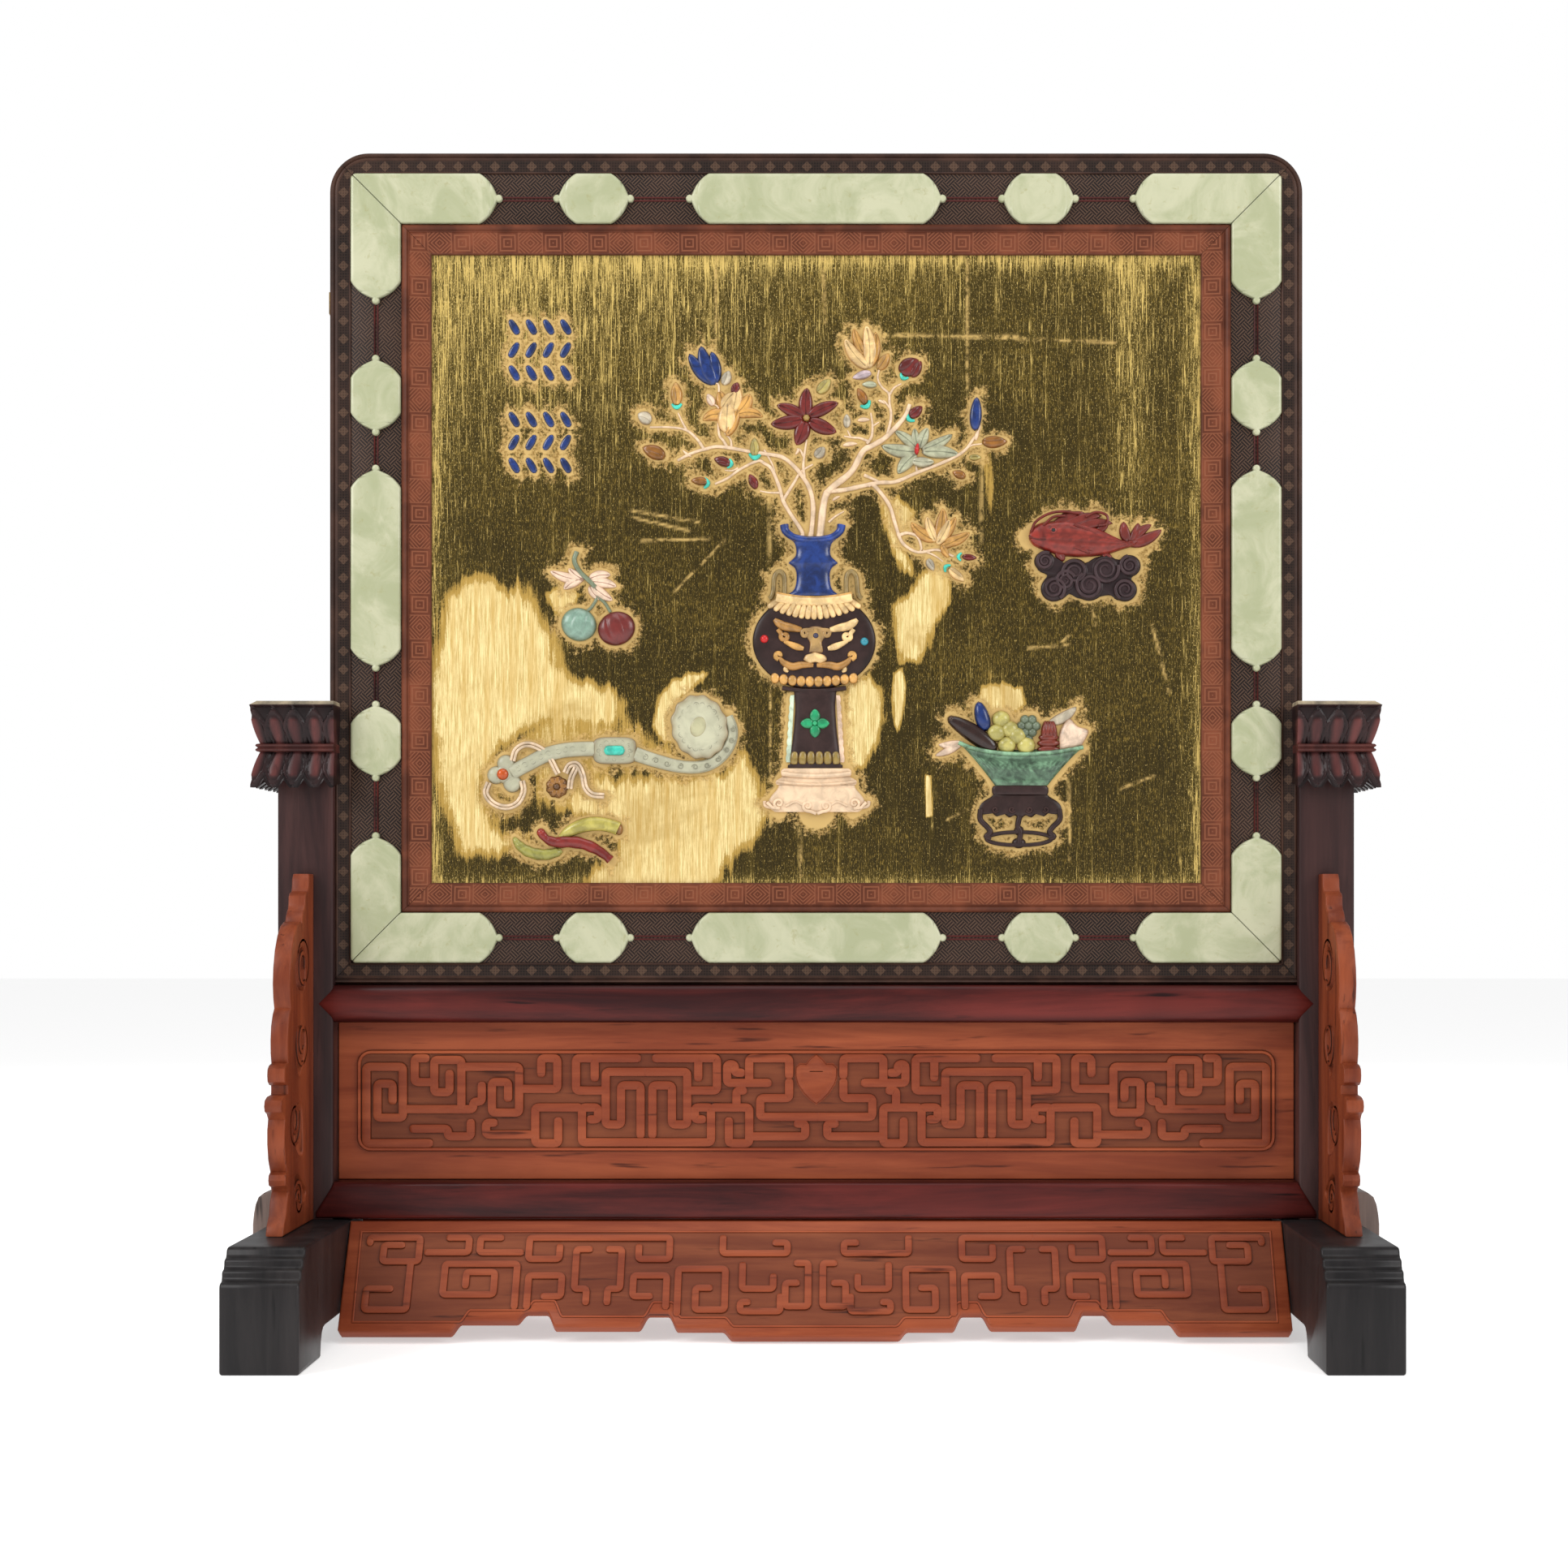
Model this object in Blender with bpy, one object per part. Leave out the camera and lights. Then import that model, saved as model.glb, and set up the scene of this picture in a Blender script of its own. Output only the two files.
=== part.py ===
"""Inlaid table screen: a jade-mounted frame round a gilt board, standing in a carved two-post stand.

Metres, +Z up. The origin is on the table, midway between the feet. X runs along the screen and -Y
is the front. Pieces that seat on each other keep GAP between them.
"""

import math

import bmesh
import bpy
from mathutils import Matrix, Vector

MM = 0.001
GAP = 0.3 * MM  # between pieces that seat on each other

# Frame of the screen
FRAME_WIDTH = 578 * MM
FRAME_TOP = 700 * MM
FRAME_THICKNESS = 28 * MM
FRAME_CORNER_RADIUS = 23 * MM
BORDER_WIDTH = 12.5 * MM  # patterned border outside the jade
EDGE_ROUND = 4 * MM
JADE_BAND = 30.4 * MM
JADE_REBATE = 1 * MM
LINER_WIDTH = 17.4 * MM  # inner frame between jade and gilt board
LINER_BEAD = 3.4 * MM
LINER_PROUD = 0.8 * MM
LINER_DEPTH = 17 * MM
LINER_LIP = 4.4 * MM  # how far the inner frame covers the gilt board
GILT_SETBACK = 4 * MM  # gilt face behind the frame's front
GILT_THICKNESS = 6 * MM
BACK_THICKNESS = 8 * MM
BACK_SETBACK = 3 * MM

# Jade plaques
PLAQUE_THICKNESS = 3 * MM
PLAQUE_MARGIN = 0.3 * MM
LONG_PLAQUE_TOP = 154.6 * MM
LONG_PLAQUE_SIDE = 122.8 * MM
LONG_PLAQUE_GAP_TOP = 30.7 * MM  # from the long plaque's tip to the short one's
LONG_PLAQUE_GAP_SIDE = 17.2 * MM
SHORT_PLAQUE = 48 * MM
CORNER_PLAQUE_GAP = 30 * MM  # from the short plaque's tip to the corner plaque's tip
CORNER_PLAQUE_TOP = 90.2 * MM  # from the corner to the tip
CORNER_PLAQUE_SIDE = 77.6 * MM
PLAQUE_TIP = 13.9 * MM  # from the tip to the straight sides
PLAQUE_KNOB = 2.3 * MM

# Stand
FOOT_LENGTH = 300 * MM
FOOT_WIDTH = 43 * MM
FOOT_TOP = 67 * MM
FOOT_NOSE = 50 * MM  # height of the foot's square nose
FOOT_STEP_RUN = 25 * MM
FOOT_ARCH = 16 * MM
FOOT_PAD = 53 * MM
SIDE_BLOCK_WIDTH = 15.5 * MM  # the carved block on the foot's outer face
SIDE_BLOCK_TOP = 83 * MM
SIDE_BLOCK_DEPTH = 34 * MM
SIDE_BLOCK_RECESS = 3 * MM
POST_WIDTH = 33 * MM
POST_DEPTH = 40 * MM
GROOVE_DEPTH = 4 * MM
CAPITAL_BOTTOM = 322 * MM
CAPITAL_HEIGHT = 51 * MM
CAPITAL_OVERHANG = 12.5 * MM
CAPITAL_LIP = 1 * MM  # overhang on the side of the screen
CAPITAL_CHAMFER = 4 * MM
CAPITAL_WAIST = 4.9 * MM  # how far the petals' roots lie behind their tips
CAPITAL_BEAD = 3.4 * MM
PETAL_RELIEF = 1.6 * MM
PETALS_ON_SIDE = 4
TOP_RAIL_HEIGHT = 22 * MM
LOW_RAIL_HEIGHT = 22 * MM
RAIL_PROUD = 1.2 * MM  # of the post's face
MITRE_DEPTH = 5 * MM  # how deep the rail's point lies in the post's face
FRAME_BOTTOM = 206 * MM

# Waist panel and its carving
WAIST_THICKNESS = 14 * MM
CARTOUCHE_LENGTH = 547 * MM
CARTOUCHE_HEIGHT = 60 * MM
CARTOUCHE_CORNER = 8 * MM
CARTOUCHE_BEAD = 2 * MM
RELIEF = 2 * MM
WAIST_PITCH = 5.06 * MM
BAND_STEP = 0.02 * MM
WAIST_BAND = 0.87  # band width as a share of the pitch

# Aprons
APRON_THICKNESS = 9 * MM
APRON_SPREAD = 38 * MM  # how far the foot of the apron stands in front of its head
APRON_RELIEF = 1.5 * MM
APRON_COLUMN = 4.73 * MM
APRON_ROW = 4.4 * MM
APRON_BAND = 0.9
APRON_FIRST_ROW = 18.8 * MM  # height of the lowest fret row
APRON_BOTTOM = 5 * MM
APRON_RISE = 6 * MM  # run of each step in the lower edge

# Spandrels
SPANDREL_THICKNESS = 10 * MM
SPANDREL_HEIGHT = 204 * MM
SPANDREL_DEPTH = 75 * MM

# Inlays on the gilt board, drawn in the picture's own units, with places from the board's middle
PICTURE_WIDE = 456.8
PICTURE_HIGH = 372.8
INLAY_PROUD = 3 * MM
INLAY_CHAMFER = 0.8 * MM
VASE_AT = (0, -148)  # foot of the stand
VASE_HEIGHT = 175
SPRIG_UNIT = 1.48
BOWL_AT = (121.5, -108)  # middle of the bowl's rim
FISH_AT = (165, 17)
RUYI_AT = (-137, -108)
SPRAY_AT = (-128, -29)
PODS_AT = (-148, -161)
STROKES_AT = (-164.5, 151)  # middle of the top of the upper field of strokes
STROKE_FIELD = 41
STROKE_FIELD_GAP = 14
STROKE_ROWS = 3
STROKES_A_ROW = 4
STROKE_LENGTH = 11
STROKE_WIDTH = 4.6
STROKE_PROUD = 1.2 * MM
CATCH_DROP = 89 * MM  # from the frame's top to the middle of the catch on its left edge
CATCH_HEIGHT = 17 * MM
CATCH_THICKNESS = 2 * MM
CATCH_DEPTH = 8 * MM

POST_INNER = FRAME_WIDTH / 2 + GAP - GROOVE_DEPTH
POST_OUTER = POST_INNER + POST_WIDTH
FOOT_INNER = POST_OUTER - FOOT_WIDTH
POST_FRONT = -POST_DEPTH / 2
FRAME_FRONT = -FRAME_THICKNESS / 2
GILT_FRONT = FRAME_FRONT + GILT_SETBACK
FOOT_SEAT = FOOT_TOP + GAP
LOW_RAIL_TOP = FOOT_SEAT + LOW_RAIL_HEIGHT
TOP_RAIL_TOP = FRAME_BOTTOM - GAP
TOP_RAIL_BOTTOM = TOP_RAIL_TOP - TOP_RAIL_HEIGHT
WAIST_BOTTOM = LOW_RAIL_TOP + GAP
WAIST_TOP = TOP_RAIL_BOTTOM - GAP
WAIST_MIDDLE = (WAIST_BOTTOM + WAIST_TOP) / 2
JADE_OUTER = FRAME_WIDTH / 2 - BORDER_WIDTH
MEMBER_WIDTH = BORDER_WIDTH + JADE_BAND
LINER_OUTER = FRAME_WIDTH / 2 - MEMBER_WIDTH - GAP
FRAME_MIDDLE = (FRAME_BOTTOM + FRAME_TOP) / 2
BOARD_WIDTH = 2 * (LINER_OUTER - LINER_WIDTH)
BOARD_HEIGHT = FRAME_TOP - FRAME_BOTTOM - 2 * (MEMBER_WIDTH + GAP + LINER_WIDTH)
UNIT = min(BOARD_WIDTH / PICTURE_WIDE, BOARD_HEIGHT / PICTURE_HIGH)

DIRECTIONS = {"L": (-1, 0), "R": (1, 0), "U": (0, 1), "D": (0, -1)}

# Fret hooks of the left half: start column and row, then runs in pitches. Columns count from the
# middle and rows from the lowest band.
WAIST_HOOKS = (
    (-45.6, 0, "L7.4 U9 R4.3 D6 L3 U4 R1.8 D2"),
    (-46, 10, "L1.3 D2.8 R2.3 U2.6 R3.2 D5.6"),
    (-45, 7.2, "D1.2 R1.8 U2.2"),
    (-48.7, 4, "R8.3 U0.9 R1 U1.9"),
    (-41.8, 9, "R6.8 D5.4 L3.2 U3.6 R1.9 D1.9"),
    (-47.5, 1.7, "R4.1 D0.9 R2.7 U1.6"),
    (-38, 2.4, "L0.9 D1.4 R5.8"),
    (-35, 6.4, "R4.5 U3.6 L1.9 D1.8"),
    (-28, 4.2, "L5.1 D4.2 R2.7 U2.6"),
    (-8.8, 8.3, "L0.8 U1 L0.9 D2.2 R4.8"),
    (-7.9, 7.1, "U2.9 R4.7 D2"),
    (-3.2, 7.2, "D1.9 L3.4 D2.2 R6.6"),
    (-12, 4.2, "R4.1 D4.2 L2.4 U2.6"),
    (-7.9, 0.8, "R6.6 U1.5 L0.9"),
    (-9.4, 4.2, "U2 R0.8"),
)
WAIST_MODULE_AXIS = -20
WAIST_MODULE_HOOKS = (
    (-24.8, 6.2, "L3.5 U3.8 R2.2 D2.3"),
    (-26.1, 10, "R5"),
    (-20, 8.4, "L4.8 D6.2 R1.8 U4.6 R2.3 D5.8"),
    (-26.6, 2.8, "R0.9 U1.4 L1.9 D4.1 R7.5"),
)
APRON_HOOKS = (
    (-55.3, 8.1, "U0.6 R6.2 D2.9 L4.4 U2 R2.2"),
    (-50, 5.8, "D5.8 L5.1 U2.5 R2.9"),
    (-48.1, 6.9, "R5.1 U1.8 L2.5"),
    (-36.5, 6.9, "L5.1 U1.8 R2.5"),
    (-36.8, 0.4, "U5.1 L8.9 D3.7 R6.2 U2.7 L3.5 D1.6"),
    (-16.9, -0.4, "U5.3 R5.8 D4.9 L3.6 U2.6 R1.7"),
    (-11.5, 8.7, "D1.9 R8 U1.3 L1.5"),
    (-9, 5.4, "D2.9 R3.8 U1.5"),
    (-8.3, 0.9, "L0.9 D1.1 R4.9 U1.8"),
    (-2.3, 5.6, "R1.4 D5.2 L2.8 U2.8 R1.4"),
)
APRON_MODULE_AXIS = -26.8
APRON_MODULE_HOOKS = (
    (-26.8, 8.7, "L8.7 D2.6 R3.8 U1.5"),
    (-35.3, 0.4, "U3.7 R4.1 D2.5 L2.1"),
    (-28, 7.3, "L1.6 D4.8 R1.5 D1.6"),
)
# Lower edge of the apron from its middle outwards: where each level begins, and the level's height.
APRON_LEVELS = (
    (0, 0),
    (50.7 * MM, 4.6 * MM),
    (82.3 * MM, 12.6 * MM),
    (99 * MM, 5.1 * MM),
    (152.6 * MM, 13.4 * MM),
    (169.8 * MM, 8.4 * MM),
    (207.6 * MM, 2.3 * MM),
)


def clear_scene():
    for old in list(bpy.data.objects):
        bpy.data.objects.remove(old)


def wood(name, colour, roughness):
    return finish(name, colour, roughness, 0.0)


def finish(name, colour, roughness, metallic):
    """One Principled material."""
    made = bpy.data.materials.new(name)
    made.use_nodes = True
    shader = made.node_tree.nodes["Principled BSDF"]
    shader.inputs["Base Color"].default_value = (*colour, 1.0)
    shader.inputs["Roughness"].default_value = roughness
    shader.inputs["Metallic"].default_value = metallic
    return made


def object_from(name, bm, material):
    """A linked object from a bmesh, with every face pointing out."""
    bmesh.ops.recalc_face_normals(bm, faces=bm.faces)
    mesh = bpy.data.meshes.new(name)
    bm.to_mesh(mesh)
    bm.free()
    made = bpy.data.objects.new(name, mesh)
    bpy.context.scene.collection.objects.link(made)
    if material:
        mesh.materials.append(material)
    return made


def hidden(obj):
    obj.hide_render = True
    obj.display_type = "WIRE"
    return obj


def combine(target, other, operation):
    """A live Boolean on target by other, which is hidden."""
    hidden(other)
    modifier = target.modifiers.new(operation.title(), "BOOLEAN")
    modifier.object = other
    modifier.operation = operation
    return target


def settle(obj):
    """Applies an object's modifiers to its mesh, so that the mesh can be turned whole."""
    bpy.context.view_layer.update()
    graph = bpy.context.evaluated_depsgraph_get()
    mesh = bpy.data.meshes.new_from_object(obj.evaluated_get(graph))
    obj.modifiers.clear()
    obj.data = mesh


def loft(name, rings, material):
    """A closed skin over rings of equal length, each capped by a flat face at the ends."""
    bm = bmesh.new()
    made = [[bm.verts.new(point) for point in ring] for ring in rings]
    count = len(rings[0])
    for low, high in zip(made, made[1:]):
        for i in range(count):
            j = (i + 1) % count
            bm.faces.new((low[i], low[j], high[j], high[i]))
    bm.faces.new(made[0])
    bm.faces.new(made[-1])
    return object_from(name, bm, material)


def offset_outline(outline, distance):
    """The closed outline moved inwards by distance, corner by corner."""
    area = sum(a[0] * b[1] - b[0] * a[1] for a, b in zip(outline, outline[1:] + outline[:1]))
    turn = 1 if area > 0 else -1
    moved = []
    for i, point in enumerate(outline):
        before = Vector(point) - Vector(outline[i - 1])
        after = Vector(outline[(i + 1) % len(outline)]) - Vector(point)
        before.normalize()
        after.normalize()
        normal = Vector((-before.y - after.y, before.x + after.x)) * turn
        if normal.length < 1e-6:
            normal = Vector((-before.y, before.x)) * turn
        normal.normalize()
        share = max(0.5, normal.dot(Vector((-before.y, before.x)) * turn))
        moved.append(tuple(Vector(point) + normal * distance / share))
    return moved


def front_plate(name, outline, back, front, material, chamfer=0.0):
    """An outline in X and Z made solid from y=back to y=front, its front edge chamfered."""
    rings = [[(x, back, z) for x, z in outline]]
    if chamfer:
        rings.append([(x, front + chamfer, z) for x, z in outline])
        rings.append([(x, front, z) for x, z in offset_outline(outline, chamfer)])
    else:
        rings.append([(x, front, z) for x, z in outline])
    return loft(name, rings, material)


def side_plate(name, outline, low, high, material):
    """An outline in Y and Z made solid from x=low to x=high."""
    return loft(name, [[(x, y, z) for y, z in outline] for x in (low, high)], material)


def arc(centre, radius, start, end, steps):
    """Points of an arc in degrees, both ends included."""
    angles = [math.radians(start + (end - start) * i / steps) for i in range(steps + 1)]
    return [(centre[0] + radius * math.cos(a), centre[1] + radius * math.sin(a)) for a in angles]


def ellipse(centre, half_width, half_height, steps, tilt=0.0):
    """A closed ellipse turned by tilt degrees."""
    turn = math.radians(tilt)
    points = []
    for i in range(steps):
        a = 2 * math.pi * i / steps
        u, v = half_width * math.cos(a), half_height * math.sin(a)
        points.append(
            (
                centre[0] + u * math.cos(turn) - v * math.sin(turn),
                centre[1] + u * math.sin(turn) + v * math.cos(turn),
            )
        )
    return points


def hook_path(column, row, runs):
    """Corner points of one fret hook in pitches."""
    points = [(column, row)]
    for run in runs.split():
        step = DIRECTIONS[run[0]]
        length = float(run[1:])
        points.append((points[-1][0] + step[0] * length, points[-1][1] + step[1] * length))
    return points


def band_outline(points, width):
    """The outline of a band of that width along an open path, with square ends."""
    left, right = [], []
    for i, point in enumerate(points):
        here = Vector(point)
        before = here - Vector(points[i - 1]) if i else None
        after = Vector(points[i + 1]) - here if i + 1 < len(points) else None
        before = before or after
        after = after or before
        before, after = before.normalized(), after.normalized()
        normal = Vector((-before.y - after.y, before.x + after.x)).normalized()
        reach = width / 2 / max(0.4, normal.dot(Vector((-before.y, before.x))))
        along = Vector((0, 0))
        if i == 0:
            along = -after * width / 2
        elif i + 1 == len(points):
            along = before * width / 2
        left.append(tuple(here + normal * reach + along))
        right.append(tuple(here - normal * reach + along))
    return left + right[::-1]


def fret_bands(hooks, module_hooks, axis):
    """Every band of a fret in pitches: the hooks, the module and its mirror, and all of it mirrored."""
    half = [hook_path(*hook) for hook in hooks + module_hooks]
    half += [[(2 * axis - x, y) for x, y in hook_path(*hook)] for hook in module_hooks]
    return half + [[(-x, y) for x, y in path] for path in half]


def raise_bands(panel, paths, width, place, back, front):
    """Joins bands to a panel as raised relief, no two neighbours quite level. place turns
    pitches into X and Z."""
    group = bpy.data.collections.new(panel.name + "_carving")
    for i, path in enumerate(paths):
        outline = [place(*point) for point in band_outline(path, width)]
        rise = front + i % 7 * BAND_STEP
        band = front_plate(f"{panel.name}_band_{i}", outline, back, rise, None)
        hidden(band)
        group.objects.link(band)
    modifier = panel.modifiers.new("Carving", "BOOLEAN")
    modifier.operation = "UNION"
    modifier.operand_type = "COLLECTION"
    modifier.collection = group
    return panel


def rounded_rectangle(half_width, low, high, radius, steps=3):
    """Outline in X and Z with rounded corners."""
    x, corners = half_width - radius, (low + radius, high - radius)
    return (
        arc((x, corners[0]), radius, -90, 0, steps)
        + arc((x, corners[1]), radius, 0, 90, steps)
        + arc((-x, corners[1]), radius, 90, 180, steps)
        + arc((-x, corners[0]), radius, 180, 270, steps)
    )


def mitred_members(prefix, profile, half_width, low, high, material):
    """Four members round a rectangle. The profile holds (inset from the outer edge, y)."""
    middle = (low + high) / 2
    half_height = (high - low) / 2
    made = {}
    for side, turn in (("top", 0), ("left", 90), ("bottom", 180), ("right", 270)):
        across, along = (half_height, half_width) if turn % 180 == 0 else (half_width, half_height)
        cosine, sine = round(math.cos(math.radians(turn))), round(math.sin(math.radians(turn)))
        rings = []
        for end in (-1, 1):
            ring = []
            for inset, y in profile:
                u, v = end * (along - inset - GAP / 2), across - inset
                ring.append((u * cosine - v * sine, y, middle + u * sine + v * cosine))
            rings.append(ring)
        made[side] = loft(f"{prefix}_{side}", rings, material)
    return made


def plaque_tip(half_width, straight):
    """Half of a plaque's pointed end, from its straight side down to the knob, along +u."""
    return [
        (straight, half_width),
        (straight + 0.45 * PLAQUE_TIP, 0.7 * half_width),
        (straight + PLAQUE_TIP - 1.6 * PLAQUE_KNOB, 1.1 * PLAQUE_KNOB),
        (straight + PLAQUE_TIP, 0.8 * PLAQUE_KNOB),
    ]


def plaque_outline(length):
    """A whole plaque with a pointed, lobed end each way, centred on its own middle."""
    half_width = JADE_BAND / 2 - PLAQUE_MARGIN
    tip = plaque_tip(half_width, length / 2 - PLAQUE_TIP)
    right = tip + [(u, -v) for u, v in reversed(tip)]
    return right + [(-u, -v) for u, v in right]


def corner_plaque_outline(reach, corner_radius):
    """One arm of a mitred corner: u runs from the outer corner along the arm, v inwards."""
    width = JADE_BAND - 2 * PLAQUE_MARGIN
    straight = reach - PLAQUE_TIP
    tip = plaque_tip(width / 2, straight)
    upper = [(u, width / 2 - v) for u, v in tip]
    lower = [(u, width / 2 + v) for u, v in reversed(tip)]
    mitre = GAP / 2
    start = [(width + mitre, width), (corner_radius * 0.3 + mitre, corner_radius * 0.3)]
    return start + [(corner_radius + mitre, 0)] + upper + lower


def jade_plaque(name, outline, place, back, material):
    """A plaque laid on the frame's rebate. place turns its own u and v into X and Z."""
    return front_plate(
        name, [place(u, v) for u, v in outline], back, back - PLAQUE_THICKNESS, material
    )


def jade_plaques(material):
    """Three plaques and two corner arms on each side of the frame."""
    back = FRAME_FRONT + JADE_REBATE - GAP
    half_height = (FRAME_TOP - FRAME_BOTTOM) / 2 - BORDER_WIDTH
    line = JADE_BAND / 2
    tops = (JADE_OUTER, half_height, LONG_PLAQUE_TOP, LONG_PLAQUE_GAP_TOP, CORNER_PLAQUE_TOP)
    uprights = (half_height, JADE_OUTER, LONG_PLAQUE_SIDE, LONG_PLAQUE_GAP_SIDE, CORNER_PLAQUE_SIDE)
    sides = (("top", 0, tops), ("left", 90, uprights), ("bottom", 180, tops), ("right", 270, uprights))
    for side, turn, (along, across, longest, gap, corner) in sides:
        cosine, sine = round(math.cos(math.radians(turn))), round(math.sin(math.radians(turn)))
        row_length = longest / 2 + gap + SHORT_PLAQUE + CORNER_PLAQUE_GAP + corner
        fit = (along - PLAQUE_MARGIN) / row_length

        def at(u, v, cosine=cosine, sine=sine):
            return (u * cosine - v * sine, FRAME_MIDDLE + u * sine + v * cosine)

        row = across - line
        short_at = fit * (longest / 2 + gap + SHORT_PLAQUE / 2)
        places = ((0, fit * longest), (-short_at, fit * SHORT_PLAQUE), (short_at, fit * SHORT_PLAQUE))
        for i, (middle, length) in enumerate(places):
            jade_plaque(
                f"jade_{side}_{('middle', 'first', 'last')[i]}",
                plaque_outline(length),
                lambda u, v, m=middle, r=row, at=at: at(u + m, v + r),
                back,
                material,
            )
        reach = fit * corner
        for hand, word in ((-1, "start"), (1, "end")):
            edge_u, edge_v = along - PLAQUE_MARGIN, across - PLAQUE_MARGIN
            jade_plaque(
                f"jade_{side}_{word}",
                corner_plaque_outline(reach, 4 * MM),
                lambda u, v, h=hand, eu=edge_u, ev=edge_v, at=at: at(h * (eu - u), ev - v),
                back,
                material,
            )


def outer_frame(material):
    """Four mitred members with a rebate for the jade, the upper corners rounded."""
    back, rebate = -FRAME_FRONT, FRAME_FRONT + JADE_REBATE
    profile = [
        (0, back - EDGE_ROUND / 2),
        (0, FRAME_FRONT + EDGE_ROUND),
        (EDGE_ROUND * 0.3, FRAME_FRONT + EDGE_ROUND * 0.3),
        (EDGE_ROUND, FRAME_FRONT),
        (BORDER_WIDTH, FRAME_FRONT),
        (BORDER_WIDTH, rebate),
        (MEMBER_WIDTH, rebate),
        (MEMBER_WIDTH, back),
        (EDGE_ROUND / 2, back),
    ]
    members = mitred_members("frame", profile, FRAME_WIDTH / 2, FRAME_BOTTOM, FRAME_TOP, material)
    low = FRAME_BOTTOM - 2 * FRAME_CORNER_RADIUS
    outline = rounded_rectangle(FRAME_WIDTH / 2, low, FRAME_TOP, FRAME_CORNER_RADIUS, 6)
    for side in ("top", "left", "right"):
        shape = front_plate(f"frame_{side}_shape", outline, FRAME_THICKNESS, -FRAME_THICKNESS, None)
        combine(members[side], shape, "INTERSECT")


def liner_profile():
    """Section of the inner frame: a bead, a sloping face, and a rebate for the gilt board."""
    top, face = FRAME_FRONT - LINER_PROUD, FRAME_FRONT + 0.6 * MM
    edge = GILT_FRONT - 1.4 * MM
    seat = GILT_FRONT - GAP
    back = FRAME_FRONT + LINER_DEPTH
    rebate = LINER_WIDTH - LINER_LIP - GAP
    return [
        (0, back),
        (0, top + 0.8 * MM),
        (0.25 * LINER_BEAD, top),
        (0.75 * LINER_BEAD, top),
        (LINER_BEAD, face),
        (LINER_WIDTH, edge),
        (LINER_WIDTH, seat),
        (rebate, seat),
        (rebate, back),
    ]


def stroke_outlines():
    """Slanted strokes in even rows: two square fields, one above the other."""
    rings = []
    for field in range(2):
        top = -field * (STROKE_FIELD + STROKE_FIELD_GAP)
        for row in range(STROKE_ROWS):
            z = top - (row + 0.5) * STROKE_FIELD / STROKE_ROWS
            for i in range(STROKES_A_ROW):
                x = (i + 0.5 - STROKES_A_ROW / 2) * STROKE_FIELD / STROKES_A_ROW
                tilt = 60 if row % 2 else 120
                ring = ellipse((x, z), STROKE_LENGTH / 2, STROKE_WIDTH / 2, 4, tilt)
                rings.append(drawn(ring, STROKES_AT))
    return rings


def boards(gilt, lacquer):
    """The gilt board in the inner frame's rebate, and the plain board that closes the back."""
    half_width = BOARD_WIDTH / 2 + LINER_LIP
    half_height = BOARD_HEIGHT / 2 + LINER_LIP

    def plate(name, x, z, back, front, material):
        low, high = FRAME_MIDDLE - z, FRAME_MIDDLE + z
        front_plate(name, [(x, low), (x, high), (-x, high), (-x, low)], back, front, material)

    plate("gilt_board", half_width, half_height, GILT_FRONT + GILT_THICKNESS, GILT_FRONT, gilt)
    board = bpy.data.objects["gilt_board"]
    group = bpy.data.collections.new("stroke_rows")
    for i, ring in enumerate(stroke_outlines()):
        stroke = front_plate(f"stroke_{i}", ring, GILT_FRONT + MM, GILT_FRONT - STROKE_PROUD, None)
        group.objects.link(hidden(stroke))
    modifier = board.modifiers.new("Strokes", "BOOLEAN")
    modifier.operation = "UNION"
    modifier.operand_type = "COLLECTION"
    modifier.collection = group
    back = -FRAME_FRONT - BACK_SETBACK
    z = BOARD_HEIGHT / 2 + LINER_WIDTH
    plate("back_board", LINER_OUTER, z, back, back - BACK_THICKNESS, lacquer)


def foot_outline():
    """Side view of a foot: square nose, rolled steps up to the seat, and an arch below."""
    half, run, rise = FOOT_LENGTH / 2, FOOT_STEP_RUN, FOOT_TOP - FOOT_NOSE
    front = [
        (half - 2 * MM, 0),
        (half, 2 * MM),
        (half, FOOT_NOSE - 3 * MM),
        (half - 3 * MM, FOOT_NOSE),
    ]
    steps = [
        (half - 0.24 * run, FOOT_NOSE + 0.28 * rise),
        (half - 0.28 * run, FOOT_NOSE + 0.52 * rise),
        (half - 0.40 * run, FOOT_NOSE + 0.62 * rise),
        (half - 0.60 * run, FOOT_NOSE + 0.66 * rise),
        (half - 0.68 * run, FOOT_NOSE + 0.90 * rise),
        (half - 0.84 * run, FOOT_TOP),
    ]
    inner = half - FOOT_PAD
    arch = [(inner - 7 * MM, FOOT_ARCH), (inner - 2 * MM, FOOT_ARCH - 4 * MM), (inner, 0)]
    right = arch + front + steps
    return right + [(-y, z) for y, z in reversed(right)]


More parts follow.
